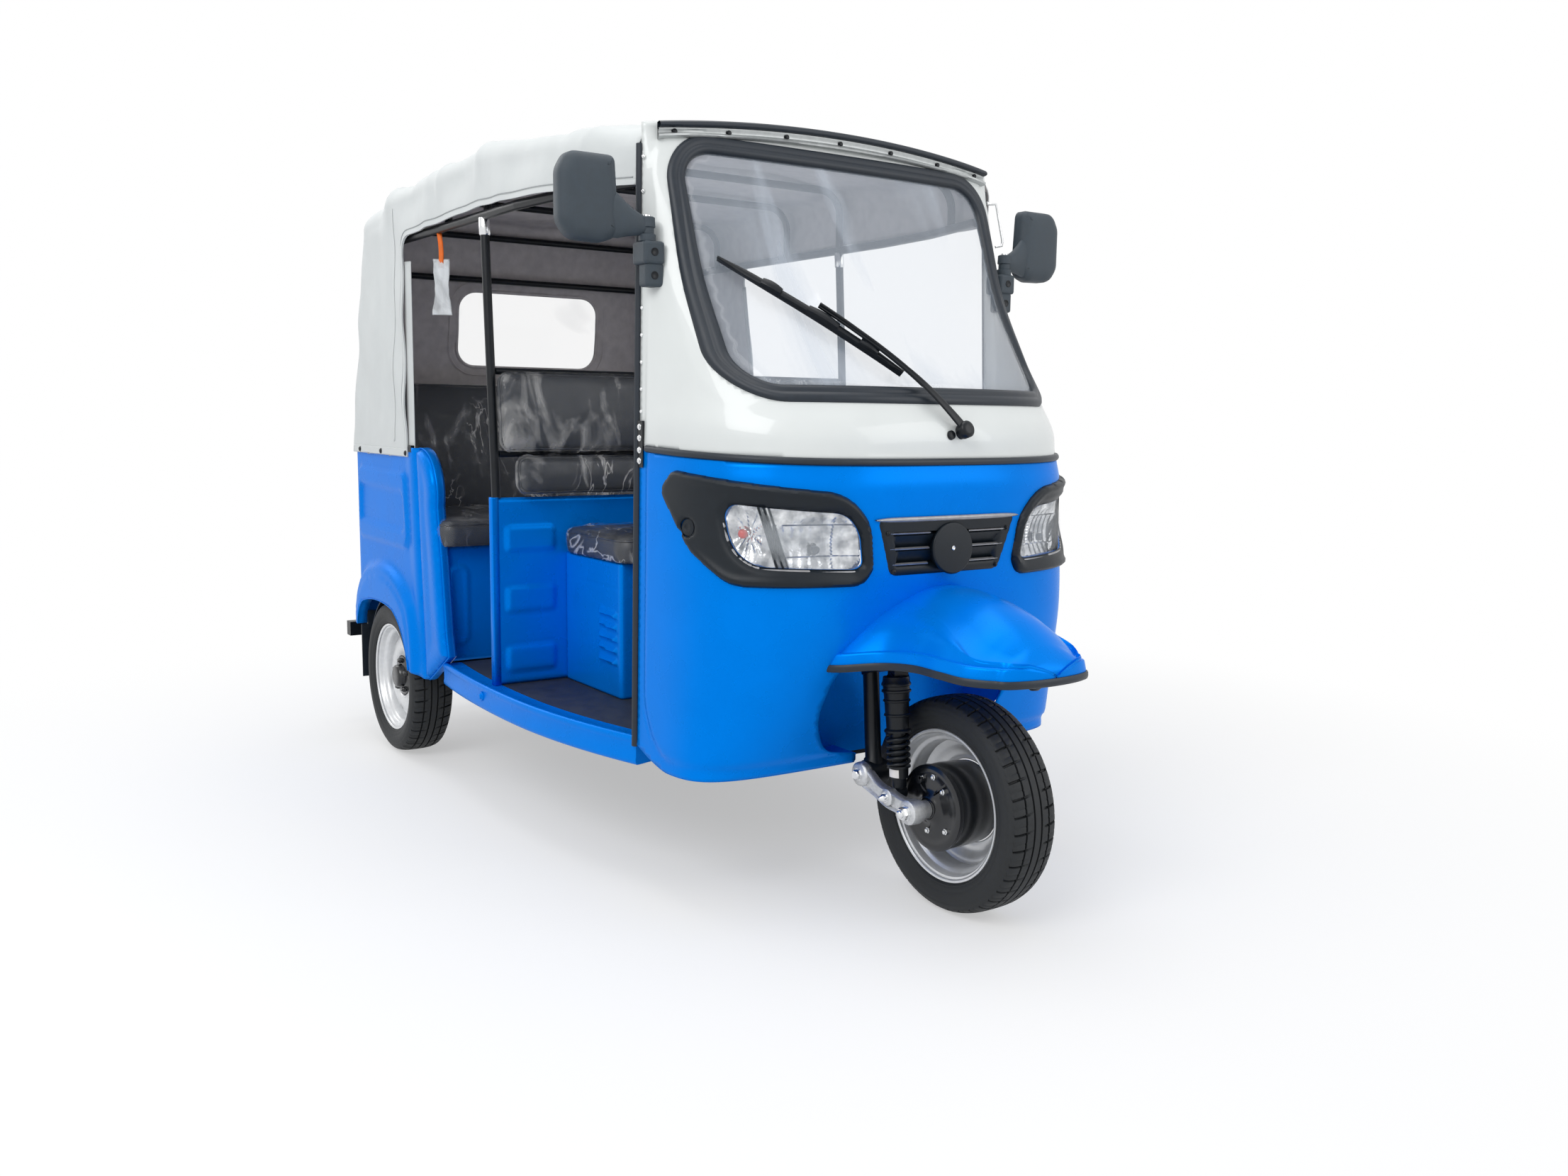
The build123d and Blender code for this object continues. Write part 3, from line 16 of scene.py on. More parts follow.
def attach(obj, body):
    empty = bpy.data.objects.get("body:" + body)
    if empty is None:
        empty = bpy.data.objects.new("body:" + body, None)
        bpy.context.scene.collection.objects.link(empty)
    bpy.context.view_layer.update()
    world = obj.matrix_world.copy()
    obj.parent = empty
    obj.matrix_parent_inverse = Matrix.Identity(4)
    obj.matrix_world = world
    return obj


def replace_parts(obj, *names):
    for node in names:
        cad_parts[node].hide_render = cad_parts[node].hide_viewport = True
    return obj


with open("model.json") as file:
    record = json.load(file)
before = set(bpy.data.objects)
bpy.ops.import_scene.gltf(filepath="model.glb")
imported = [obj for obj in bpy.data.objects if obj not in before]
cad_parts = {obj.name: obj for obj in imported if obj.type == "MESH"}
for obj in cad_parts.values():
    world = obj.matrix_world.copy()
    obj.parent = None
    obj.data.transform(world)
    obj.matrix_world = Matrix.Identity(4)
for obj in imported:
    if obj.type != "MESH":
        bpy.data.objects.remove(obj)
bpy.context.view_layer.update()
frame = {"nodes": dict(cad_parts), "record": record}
MM = 0.001
SIDES = ((-1, "right"), (1, "left"))


def put_in_scene(name, data):
    obj = bpy.data.objects.new(name, data)
    bpy.context.scene.collection.objects.link(obj)
    return obj


# ---------------------------------------------------------------- node helpers
def mapped(tree, value, given, wanted, interpolation="LINEAR"):
    """A value moved from one range to another."""
    node = tree.nodes.new("ShaderNodeMapRange")
    node.interpolation_type = interpolation
    node.inputs["From Min"].default_value, node.inputs["From Max"].default_value = given
    node.inputs["To Min"].default_value, node.inputs["To Max"].default_value = wanted
    tree.links.new(value, node.inputs["Value"])
    return node.outputs["Result"]


def noise_value(tree, vector, scale, detail, distortion=0.0):
    node = tree.nodes.new("ShaderNodeTexNoise")
    node.inputs["Scale"].default_value = scale
    node.inputs["Detail"].default_value = detail
    node.inputs["Distortion"].default_value = distortion
    tree.links.new(vector, node.inputs["Vector"])
    return node.outputs["Fac"]


def math_value(tree, operation, *values, clamp=False):
    node = tree.nodes.new("ShaderNodeMath")
    node.operation = operation
    node.use_clamp = clamp
    for value, socket in zip(values, node.inputs):
        tree.links.new(value, socket)
    return node.outputs["Value"]


def mixed(tree, share, first, second):
    """Two shaders mixed: a share of 1 is the second one."""
    mix = tree.nodes.new("ShaderNodeMixShader")
    for source, socket in zip((share, first.outputs[0], second.outputs[0]), mix.inputs):
        tree.links.new(source, socket)
    return mix


def new_material(name):
    """A material, its node tree, its shader and the object's own coordinates."""
    material = bpy.data.materials.new(name)
    material.use_nodes = True
    tree = material.node_tree
    place = tree.nodes.new("ShaderNodeTexCoord").outputs["Object"]
    return material, tree, tree.nodes["Principled BSDF"], place


# ---------------------------------------------------------------- camera, lights and stage
CAMERA_PLACE = (3236.975, -1940.193, 1099.895)
CAMERA_YAW = 145.55
CAMERA_PITCH = -7.60
CAMERA_ROLL = 0.75
CAMERA_LENS = 30.01
SENSOR_W = 36.0
FLOOR_REACH = 14.0  # metres
LIGHTS = [
    # name, place, target, size, power, in metres and watts
    ("key", (2.6, -4.6, 4.6), (0, 0, 0.8), (3.5, 3.0), 150),
    ("fill", (4.8, 2.6, 2.8), (0.3, 0, 0.8), (3.0, 3.0), 60),
    ("rear", (-4.6, -1.8, 3.6), (0, 0, 0.9), (3.0, 3.0), 50),
    ("top", (0.0, 0.0, 5.2), (0, 0, 0), (4.0, 3.0), 80),
]


def make_camera():
    yaw, pitch, roll = (math.radians(a) for a in (CAMERA_YAW, CAMERA_PITCH, CAMERA_ROLL))
    ahead = Vector((math.cos(yaw) * math.cos(pitch), math.sin(yaw) * math.cos(pitch), math.sin(pitch)))
    level_right = ahead.cross(Vector((0, 0, 1))).normalized()
    level_up = level_right.cross(ahead)
    right = level_right * math.cos(roll) + level_up * math.sin(roll)
    up = level_up * math.cos(roll) - level_right * math.sin(roll)
    turn = Matrix((right, up, -ahead)).transposed().to_4x4()
    data = bpy.data.cameras.new("camera")
    data.lens = CAMERA_LENS
    data.sensor_width = SENSOR_W
    data.sensor_fit = "HORIZONTAL"
    data.clip_start = 0.05
    camera = put_in_scene("camera", data)
    camera.matrix_world = Matrix.Translation(Vector(CAMERA_PLACE) * MM) @ turn
    bpy.context.scene.camera = camera


def area_light(name, place, target, size, power):
    data = bpy.data.lights.new(name, "AREA")
    data.shape = "RECTANGLE"
    data.size, data.size_y = size
    data.energy = power
    light = put_in_scene(name, data)
    light.location = place
    light.rotation_euler = (Vector(target) - Vector(place)).to_track_quat("-Z", "Y").to_euler()


def white_to_camera(tree, shader, white_node):
    """Camera, mirror and glass rays see plain white, and other rays see the shader."""
    rays = tree.nodes.new("ShaderNodeLightPath").outputs
    white = tree.nodes.new(white_node)
    white.inputs["Color"].default_value = (1, 1, 1, 1)
    white.inputs["Strength"].default_value = 1.0
    direct = math_value(tree, "ADD", rays["Is Camera Ray"], rays["Is Glossy Ray"])
    share = math_value(tree, "ADD", direct, rays["Is Transmission Ray"], clamp=True)
    return mixed(tree, share, shader, white)


def make_world():
    world = bpy.data.worlds.new("studio")
    world.use_nodes = True
    bpy.context.scene.world = world
    tree = world.node_tree
    sky = tree.nodes["Background"]
    sky.inputs["Color"].default_value = (0.93, 0.96, 1.0, 1)
    sky.inputs["Strength"].default_value = 0.5
    seen = white_to_camera(tree, sky, "ShaderNodeBackground")
    tree.links.new(seen.outputs[0], tree.nodes["World Output"].inputs["Surface"])


def make_stage():
    """A pale floor that takes the vehicle's shadow and fades into white further out."""
    mesh = bpy.data.meshes.new("floor")
    corners = [(x * FLOOR_REACH, y * FLOOR_REACH, 0) for x, y in ((-1, -1), (1, -1), (1, 1), (-1, 1))]
    mesh.from_pydata(corners, [], [(0, 1, 2, 3)])
    floor = put_in_scene("floor", mesh)
    material, tree, shader, place = new_material("floor_pale")
    shader.inputs["Base Color"].default_value = (0.94, 0.94, 0.94, 1)
    shader.inputs["Roughness"].default_value = 0.7
    radius = tree.nodes.new("ShaderNodeVectorMath")
    radius.operation = "LENGTH"
    tree.links.new(place, radius.inputs[0])
    fade = mapped(tree, radius.outputs["Value"], (1.2, 3.2), (0.45, 1.0), "SMOOTHSTEP")
    seen = mixed(tree, fade, shader, white_to_camera(tree, shader, "ShaderNodeEmission"))
    tree.links.new(seen.outputs[0], tree.nodes["Material Output"].inputs["Surface"])
    mesh.materials.append(material)


make_camera()
make_world()
make_stage()
for light_row in LIGHTS:
    area_light(*light_row)
bpy.context.scene.view_settings.view_transform = "Standard"


# ---------------------------------------------------------------- materials
def surface(name, color, rough, vary=0.04, scale=60.0, bump=0.0, bump_scale=900.0, metallic=0.0, coat=0.0,
            second=None, tint=None, specular=0.5):
    """A principled surface with mottled colour, uneven gloss and a fine bump."""
    material, tree, shader, place = new_material(name)
    mottle = noise_value(tree, place, scale, 5.0)
    ramp = tree.nodes.new("ShaderNodeValToRGB")
    dark = second or [c * (1 - vary) for c in color]
    light = color if second else [min(c * (1 + vary), 1.0) for c in color]
    for stop, position, shade in zip(ramp.color_ramp.elements, (0.3, 0.7), (dark, light)):
        stop.position = position
        stop.color = (*shade, 1)
    tree.links.new(mottle, ramp.inputs["Fac"])
    tree.links.new(ramp.outputs["Color"], shader.inputs["Base Color"])
    gloss = mapped(tree, mottle, (0.0, 1.0), (rough * 0.85, min(rough * 1.2, 1.0)))
    tree.links.new(gloss, shader.inputs["Roughness"])
    shader.inputs["Metallic"].default_value = metallic
    shader.inputs["Coat Weight"].default_value = coat
    shader.inputs["Coat Roughness"].default_value = 0.06
    shader.inputs["Specular IOR Level"].default_value = specular
    if tint:
        shader.inputs["Specular Tint"].default_value = (*tint, 1)
    if bump:
        relief = tree.nodes.new("ShaderNodeBump")
        relief.inputs["Strength"].default_value = bump
        relief.inputs["Distance"].default_value = 0.001
        tree.links.new(noise_value(tree, place, bump_scale, 2.0), relief.inputs["Height"])
        tree.links.new(relief.outputs["Normal"], shader.inputs["Normal"])
    return material


def crinkle_highlight_lines(tree, vector, alpha):
    """Thin bright lines of painted highlight along crinkles, where a stretched noise crosses its middle
    value, broken up by a second noise.
    """
    offset = mapped(tree, noise_value(tree, vector, 7.0, 3.0, 1.2), (0.0, 1.0), (-0.5, 0.5))
    lines = mapped(tree, math_value(tree, "ABSOLUTE", offset), (0.0, 0.022), (1.0, 0.0))
    some = mapped(tree, noise_value(tree, vector, 3.0, 2.0), (0.47, 0.60), (0.0, 1.0))
    return mapped(tree, math_value(tree, "MULTIPLY", lines, some), (0.0, 1.0), alpha)


def clear_film(name, tint, alpha, rough, highlight_scale, stretch, threshold=(0.5, 0.75), with_crinkle_highlights=False):
    """A clear sheet: mostly seen through, with pale patches of painted highlight and reflection along a
    stretched noise; on a wrapping they also stand for its real whitish creases.
    """
    material, tree, shader, place = new_material(name)
    mapping = tree.nodes.new("ShaderNodeMapping")
    mapping.inputs["Scale"].default_value = stretch
    tree.links.new(place, mapping.inputs["Vector"])
    vector = mapping.outputs["Vector"]
    # cover is the painted highlight: alpha rises from clear to pale where the stretched noise is high
    cover = mapped(tree, noise_value(tree, vector, highlight_scale, 6.0, 0.8), threshold, alpha)
    if with_crinkle_highlights:
        cover = math_value(tree, "MAXIMUM", cover, crinkle_highlight_lines(tree, vector, alpha))
    tree.links.new(cover, shader.inputs["Alpha"])
    shader.inputs["Base Color"].default_value = (*tint, 1)
    shader.inputs["Roughness"].default_value = rough
    shader.inputs["Coat Weight"].default_value = 1.0
    shader.inputs["Coat Roughness"].default_value = 0.03
    material.blend_method = "BLEND"
    return material


# name, colour, roughness, then only what differs from a plain surface
blue_paint = surface("blue_paint", (0.0, 0.205, 0.78), 0.27, vary=0.03, scale=9, bump=0.05, bump_scale=40,
                     metallic=0.22, tint=(0.05, 0.6, 1.0), specular=0.08)
white_paint = surface("white_paint", (0.72, 0.745, 0.73), 0.38, vary=0.015, scale=9, bump=0.05, bump_scale=40,
                      coat=0.5)
black_paint = surface("black_paint", (0.004, 0.006, 0.009), 0.35, vary=0.2, bump=0.1, specular=0.3)
black_trim = surface("black_trim", (0.004, 0.008, 0.013), 0.4, vary=0.12, bump=0.2, bump_scale=1400,
                     specular=0.3)
gasket_rubber = surface("gasket_rubber", (0.012, 0.018, 0.027), 0.42, vary=0.1, bump=0.15, specular=0.4)
tyre_rubber = surface("tyre_rubber", (0.014, 0.016, 0.018), 0.6, vary=0.2, scale=90, bump=0.3, specular=0.4)
rim_silver = surface("rim_silver", (0.72, 0.73, 0.74), 0.32, vary=0.05, bump=0.1, metallic=0.55, coat=0.3)
cast_alloy = surface("cast_alloy", (0.62, 0.63, 0.64), 0.38, vary=0.12, scale=160, bump=0.5, metallic=0.9)
bright_steel = surface("bright_steel", (0.75, 0.76, 0.77), 0.22, vary=0.06, bump=0.1, metallic=1.0)
channel_metal = surface("channel_metal", (0.47, 0.49, 0.49), 0.4, vary=0.1, bump=0.2, metallic=0.6)
mirror_plastic = surface("mirror_plastic", (0.028, 0.042, 0.056), 0.5, vary=0.1, bump=0.5, bump_scale=1800)
floor_rubber = surface("floor_rubber", (0.022, 0.025, 0.03), 0.55, vary=0.3, scale=25, bump=0.4,
                       bump_scale=500)
canvas_outer = surface("canvas_outer", (0.64, 0.665, 0.66), 0.55, vary=0.02, scale=20, bump=0.25,
                       bump_scale=1300)
canvas_inner = surface("canvas_inner", (0.62, 0.58, 0.575), 0.85, vary=0.1, scale=30, bump=0.4,
                       bump_scale=1300)
seat_vinyl = surface("seat_vinyl", (0.013, 0.018, 0.028), 0.42, vary=0.2, scale=120, bump=0.15,
                     bump_scale=700)
lamp_red = surface("lamp_red", (0.45, 0.012, 0.01), 0.15, vary=0.1, coat=1.0)
lamp_amber = surface("lamp_amber", (0.62, 0.03, 0.01), 0.2, vary=0.1)
# grey for the lamps' lips; on the grille's lip and slat edges this grey is a painted highlight
grey_lip_and_highlight = surface("grey_lip_and_highlight", (0.30, 0.30, 0.31), 0.3, vary=0.15, bump=0.1, metallic=0.5)
hub_black = surface("hub_black", (0.003, 0.004, 0.006), 0.2, vary=0.2, bump=0.1, coat=0.25)
mirror_silver = surface("mirror_silver", (0.85, 0.87, 0.88), 0.03, vary=0.02, metallic=1.0)
stitch_grey = surface("stitch_grey", (0.38, 0.40, 0.41), 0.7, vary=0.1)
label_white = surface("label_white", (0.75, 0.72, 0.69), 0.5, vary=0.05)
motor_black = surface("motor_black", (0.05, 0.05, 0.055), 0.5, vary=0.2, bump=0.4)
strap_orange = surface("strap_orange", (0.85, 0.16, 0.01), 0.5, vary=0.08, bump=0.5)
# reflector: its metal colour runs from bright to dark in patches, painted reflections of the facets
reflector = surface("reflector", (0.96, 0.97, 0.98), 0.12, scale=34, bump=0.6, bump_scale=160, metallic=1.0,
                    second=(0.16, 0.17, 0.185))

# name, tint, alpha where clear and where the painted highlight lies, roughness, scale of the painted
# highlight, stretch
screen_glass = clear_film("screen_glass", (0.62, 0.69, 0.78), (0.20, 0.55), 0.12, 1.6, (1.0, 3.2, 0.5))
window_film = clear_film("window_film", (0.85, 0.88, 0.9), (0.06, 0.2), 0.1, 3.0, (1, 1, 1))
lamp_lens = clear_film("lamp_lens", (0.75, 0.8, 0.85), (0.10, 0.3), 0.05, 6.0, (1, 1, 1))
wrap_film = clear_film("wrap_film", (0.74, 0.73, 0.71), (0.06, 0.72), 0.12, 8.0, (0.7, 1.5, 0.8),
                       threshold=(0.55, 0.80), with_crinkle_highlights=True)
bag_film = clear_film("bag_film", (0.80, 0.83, 0.85), (0.35, 0.85), 0.15, 9.0, (1, 1, 1),
                      threshold=(0.42, 0.62))

CAD_LOOKS = {
    # slot: look
    "blue_paint": blue_paint, "white_paint": white_paint, "black_paint": black_paint,
    "black_trim": black_trim, "rubber_trim": gasket_rubber, "tyre_rubber": tyre_rubber,
    "silver_steel": rim_silver, "cast_alloy": cast_alloy, "screen_glass": screen_glass,
    "lamp_clear": lamp_lens, "lamp_red": lamp_red, "soft_top": canvas_outer, "window_film": window_film,
    "seat_vinyl": seat_vinyl, "floor_rubber": floor_rubber, "mirror_case": mirror_plastic,
    "channel_metal": channel_metal, "motor_block": motor_black, "battery_block": motor_black,
}
slot_of_node = {part["node"]: part["material_slot"] for part in frame["record"]["subparts"]}
for node_name, node in frame["nodes"].items():
    node.data.materials.clear()
    node.data.materials.append(CAD_LOOKS[slot_of_node[node_name]])


# ---------------------------------------------------------------- mesh helpers
SHARP_ANGLE, BEVEL_ANGLE = 48.0, 35.0
MERGE_REACH = 0.00002  # metres


def add_mesh(name, points, faces, material, body="chassis", smooth=True):
    """A mesh piece from points in millimetres. Its slot is its material's own one."""
    mesh = bpy.data.meshes.new(name)
    mesh.from_pydata([tuple(float(c) * MM for c in p) for p in points], [], faces)
    work = bmesh.new()
    work.from_mesh(mesh)
    bmesh.ops.remove_doubles(work, verts=work.verts, dist=MERGE_REACH)
    bmesh.ops.recalc_face_normals(work, faces=work.faces)
    work.to_mesh(mesh)
    work.free()
    mesh.materials.append(material)
    mesh.polygons.foreach_set("use_smooth", [smooth] * len(mesh.polygons))
    if smooth:
        mesh.set_sharp_from_angle(angle=math.radians(SHARP_ANGLE))
    obj = put_in_scene(name, mesh)
    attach(obj, body)
    return obj


def thicken(obj, thickness, offset=-1.0, inner=None):
    """Give a sheet its thickness. offset -1 grows it inwards. inner is the material of its inner face."""
    wall = obj.modifiers.new("wall", "SOLIDIFY")
    wall.thickness = thickness * MM
    wall.offset = offset
    wall.use_even_offset = False
    if inner:
        obj.data.materials.append(inner)
        wall.material_offset = 1
    return obj


def face_outwards(obj, centre):
    """Turn an open sheet's faces away from a point, in millimetres."""
    work = bmesh.new()
    work.from_mesh(obj.data)
    bmesh.ops.recalc_face_normals(work, faces=work.faces)
    centre = Vector(centre) * MM
    lean = sum((f.calc_center_median() - centre).dot(f.normal) * f.calc_area() for f in work.faces)
    if lean < 0:
        bmesh.ops.reverse_faces(work, faces=work.faces)
    work.to_mesh(obj.data)
    work.free()
    return obj


def bevel(obj, width):
    edge = obj.modifiers.new("edge", "BEVEL")
    edge.width = width * MM
    edge.segments = 3
    edge.limit_method = "ANGLE"
    edge.angle_limit = math.radians(BEVEL_ANGLE)


def grid_faces(rows, columns, close_rows, close_columns):
    """Quads between rows of points, each row with the same number of columns."""
    faces = []
    for i in range(rows if close_rows else rows - 1):
        for j in range(columns if close_columns else columns - 1):
            a, b = i * columns, ((i + 1) % rows) * columns
            k = (j + 1) % columns
            faces.append((a + j, a + k, b + k, b + j))
    return faces


def add_grid(name, grid, material, body="chassis", close_rows=False, close_columns=False):
    """A mesh from an array of rows of points."""
    grid = np.asarray(grid, float)
    faces = grid_faces(*grid.shape[:2], close_rows, close_columns)
    return add_mesh(name, grid.reshape(-1, 3), faces, material, body)


def lathe(profile, centre, segments):
    """Rings of points from a profile of (radius, along), turned about the Y axis through centre."""
    turns = [2 * math.pi * k / segments for k in range(segments)]
    return np.array([
        [[centre[0] + r * math.cos(a), centre[1] + along, centre[2] + r * math.sin(a)] for a in turns]
        for r, along in profile
    ])


def frame_about(direction):
    """Two unit vectors square to a direction."""
    direction = Vector(direction).normalized()
    across = direction.cross(Vector((0, 0, 1)))
    if across.length < 0.01:
        across = direction.cross(Vector((1, 0, 0)))
    across.normalize()
    return across, direction.cross(across).normalized()


def round_solid(start, direction, profile, segments):
    """Rings for a turned piece: profile is (distance along direction, radius)."""
    direction = Vector(direction).normalized()
    across, up = frame_about(direction)
    turns = [2 * math.pi * k / segments for k in range(segments)]
    return np.array([
        [Vector(start) + direction * along + (across * math.cos(a) + up * math.sin(a)) * r for a in turns]
        for along, r in profile
    ])


class Pile:
    """Many small pieces joined into one mesh."""

    def __init__(self):
        self.points = []
        self.faces = []

    def add(self, points, faces):
        base = len(self.points)
        self.points.extend(np.asarray(points, float).tolist())
        self.faces.extend(tuple(base + i for i in face) for face in faces)

    def grid(self, grid, close_rows=False, close_columns=False):
        grid = np.asarray(grid, float)
        self.add(grid.reshape(-1, 3), grid_faces(*grid.shape[:2], close_rows, close_columns))

    def cap(self, ring):
        self.add(ring, [range(len(ring))])

    def turned(self, start, direction, profile, segments):
        rings = round_solid(start, direction, profile, segments)
        self.grid(rings, close_columns=True)
        self.cap(rings[0][::-1])
        self.cap(rings[-1])

    def bolt(self, place, direction, r, height, sides):
        """A washer and a domed head."""
        washer = [(-1.0, r * 1.45), (1.0, r * 1.45), (1.2, r)]
        self.turned(place, direction, [*washer, (height, r), (height + 1, r * 0.7)], sides * 2)

    def block(self, low, high):
        x, y, z = zip(low, high)
        rings = [[(a, b, c) for a, b in box_corners(x[0], y[0], x[1], y[1])] for c in z]
        self.grid(rings, close_columns=True)
        self.cap(rings[0][::-1])
        self.cap(rings[1])

    def make(self, name, material, body="chassis", slot=None, smooth=True):
        return add_mesh(name, self.points, self.faces, material, body, smooth)


def add_tube(name, points, radius, material, body="chassis"):
    """A round bar along points."""
    curve = bpy.data.curves.new(name, "CURVE")
    curve.dimensions = "3D"
    curve.bevel_depth = radius * MM
    curve.bevel_resolution = 4
    curve.use_fill_caps = True
    curve.resolution_u = 8
    spline = curve.splines.new("POLY")
    spline.points.add(len(points) - 1)
    for p, point in zip(spline.points, points):
        p.co = (*(float(c) * MM for c in point), 1)
    curve.materials.append(material)
    obj = put_in_scene(name, curve)
    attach(obj, body)


# ---------------------------------------------------------------- outlines and surfaces
def smoothstep(low, high, value):
    share = np.clip((np.asarray(value, float) - low) / (high - low), 0, 1)
    return share * share * (3 - 2 * share)


def unit(vectors):
    """Vectors at length one."""
    return vectors / np.linalg.norm(vectors, axis=-1, keepdims=True)


def left_normals(path, run=None):
    """Unit directions square to an open path in a plane, to its left as it runs."""
    along = np.gradient(path, axis=0) if run is None else np.gradient(path, run, axis=0)
    return unit(np.column_stack([-along[:, 1], along[:, 0]]))


def offset_loop(loop, inset):
    """A closed loop moved inwards."""
    along = np.roll(loop, -1, axis=0) - np.roll(loop, 1, axis=0)
    out = unit(np.column_stack([along[:, 1], -along[:, 0]]))
    area = np.sum(loop[:, 0] * np.roll(loop[:, 1], -1) - np.roll(loop[:, 0], -1) * loop[:, 1])
    return loop - out * inset * math.copysign(1, area)


def box_corners(a_low, b_low, a_high, b_high):
    return [(a_low, b_low), (a_high, b_low), (a_high, b_high), (a_low, b_high)]


def levelled(spots, x):
    """Flat points (y, z) put at one x."""
    return np.column_stack([np.full(len(spots), float(x)), spots])


def polyline_lengths(points):
    """How far along a path each of its points is."""
    return np.concatenate([[0], np.cumsum(np.linalg.norm(np.diff(points, axis=0), axis=1))])


def resample(outline, step):
    """A closed outline with evenly spaced points."""
    closed = np.vstack([outline, outline[:1]])
    length = polyline_lengths(closed)
    count = max(8, int(length[-1] / step))
    at = np.linspace(0, length[-1], count, endpoint=False)
    return np.column_stack([np.interp(at, length, closed[:, k]) for k in (0, 1)])


def rounded(corners, radii, step=6.0):
    """A closed outline with its corners rounded. radii has one radius for each corner, or is one number."""
    count = len(corners)
    radii = [radii] * count if np.isscalar(radii) else radii
    outline = []
    for i in range(count):
        before, here, after = (np.array(corners[(i + k) % count], float) for k in (-1, 0, 1))
        to_before, to_after = unit(before - here), unit(after - here)
        half = math.acos(np.clip(np.dot(to_before, to_after), -1, 1)) / 2
        room = min(np.linalg.norm(before - here), np.linalg.norm(after - here)) * 0.49
        reach = min(radii[i] / math.tan(half), room)
        r = reach * math.tan(half)
        middle = here + unit(to_before + to_after) * r / math.sin(half)
        start = here + to_before * reach - middle
        end = here + to_after * reach - middle
        a0 = math.atan2(start[1], start[0])
        turn = (math.atan2(end[1], end[0]) - a0 + math.pi) % (2 * math.pi) - math.pi
        steps = max(2, int(abs(turn) * r / step) + 1)
        for k in range(steps + 1):
            a = a0 + turn * k / steps
            outline.append(middle + r * np.array((math.cos(a), math.sin(a))))
    return resample(np.array(outline), step)


def inside(points, outline):
    """Whether each point lies in an outline."""
    x, y = points[:, 0], points[:, 1]
    result = np.zeros(len(points), bool)
    for (x0, y0), (x1, y1) in zip(outline, np.roll(outline, -1, axis=0)):
        crosses = (y0 > y) != (y1 > y)
        with np.errstate(divide="ignore", invalid="ignore"):
            at = (x1 - x0) * (y - y0) / (y1 - y0) + x0
        result ^= crosses & (x < at)
    return result


def distance(points, outline):
    """The distance from each point to an outline."""
    best = np.full(len(points), 1e9)
    for a, b in zip(outline, np.roll(outline, -1, axis=0)):
        along = b - a
        share = np.clip(((points - a) @ along) / max(along @ along, 1e-9), 0, 1)
        best = np.minimum(best, np.linalg.norm(points - a - share[:, None] * along, axis=1))
    return best


ROW_STEP, EDGE_GAP = 0.866, 0.55  # in spacings: between rows of inner points, and from them to an edge


def trimmed(outline, holes, spacing):
    """Triangles that fill a flat outline round its holes, with inner points spaced evenly."""
    loops = [np.asarray(outline, float)] + [np.asarray(h, float) for h in holes]
    low, high = loops[0].min(0), loops[0].max(0)
    xs = np.arange(low[0], high[0], spacing)
    ys = np.arange(low[1], high[1], spacing * ROW_STEP)
    inner = np.array([(x + (j % 2) * spacing / 2, y) for j, y in enumerate(ys) for x in xs])
    keep = inside(inner, loops[0]) & (distance(inner, loops[0]) > spacing * EDGE_GAP)
    for hole in loops[1:]:
        keep &= ~inside(inner, hole) & (distance(inner, hole) > spacing * EDGE_GAP)
    points, edges = [], []
    for loop in loops:
        base = len(points)
        points.extend(loop.tolist())
        edges.extend((base + k, base + (k + 1) % len(loop)) for k in range(len(loop)))
    points.extend(inner[keep].tolist())
    flat, _, faces, _, _, _ = geometry.delaunay_2d_cdt([Vector(p) for p in points], edges, [], 0, 1e-5)
    flat = np.array([tuple(p) for p in flat])
    centres = np.array([flat[list(f)].mean(0) for f in faces])
    keep = inside(centres, loops[0])
    for hole in loops[1:]:
        keep &= ~inside(centres, hole)
    return flat, [tuple(f) for f, k in zip(faces, keep) if k]


def smooth_through(x, knots, values):
    """A smooth curve through a table's values."""
    knots, values = np.asarray(knots, float), np.asarray(values, float)
    slopes = np.gradient(values, knots)
    x = np.clip(np.asarray(x, float), knots[0], knots[-1])
    i = np.clip(np.searchsorted(knots, x) - 1, 0, len(knots) - 2)
    span = knots[i + 1] - knots[i]
    t = (x - knots[i]) / span
    return (
        (2 * t**3 - 3 * t**2 + 1) * values[i] + (t**3 - 2 * t**2 + t) * span * slopes[i]
        + (3 * t**2 - 2 * t**3) * values[i + 1] + (t**3 - t**2) * span * slopes[i + 1]
    )


# ---------------------------------------------------------------- cowl surface
DOOR_Z, DOOR_X, DOOR_Y = 300.0, 612.0, 548.0
DOOR_LEAN_X, DOOR_LEAN_Y = 0.0262, 0.0248
COWL_LOW, COWL_HIGH = 301.0, 1717.0
WAIST_X, WAIST_Z, WAIST_SLOPE = 1055.0, 999.0, 0.044
COWL_ROWS = [
    # z, nose_x, square: the superellipse power of the section in plan
    (301, 896, 6.8), (450, 954, 5.0), (640, 1017, 4.0), (860, 1050, 3.2), (1008, 1055, 3.0),
    (1125, 1017, 2.6), (1260, 922, 2.35), (1400, 817, 2.1), (1560, 713, 2.12), (1717, 612, 2.2),
]
FRONT_VIEW = (0.0, 1.0, 0.0)  # ahead, across, start: what a view shows along its horizontal
LAMP_VIEW = (0.8, 0.6, -112 * 0.8)


def door_edge(z):
    z = min(z, COWL_HIGH)
    return DOOR_X - DOOR_LEAN_X * (z - DOOR_Z), DOOR_Y - DOOR_LEAN_Y * (z - DOOR_Z)


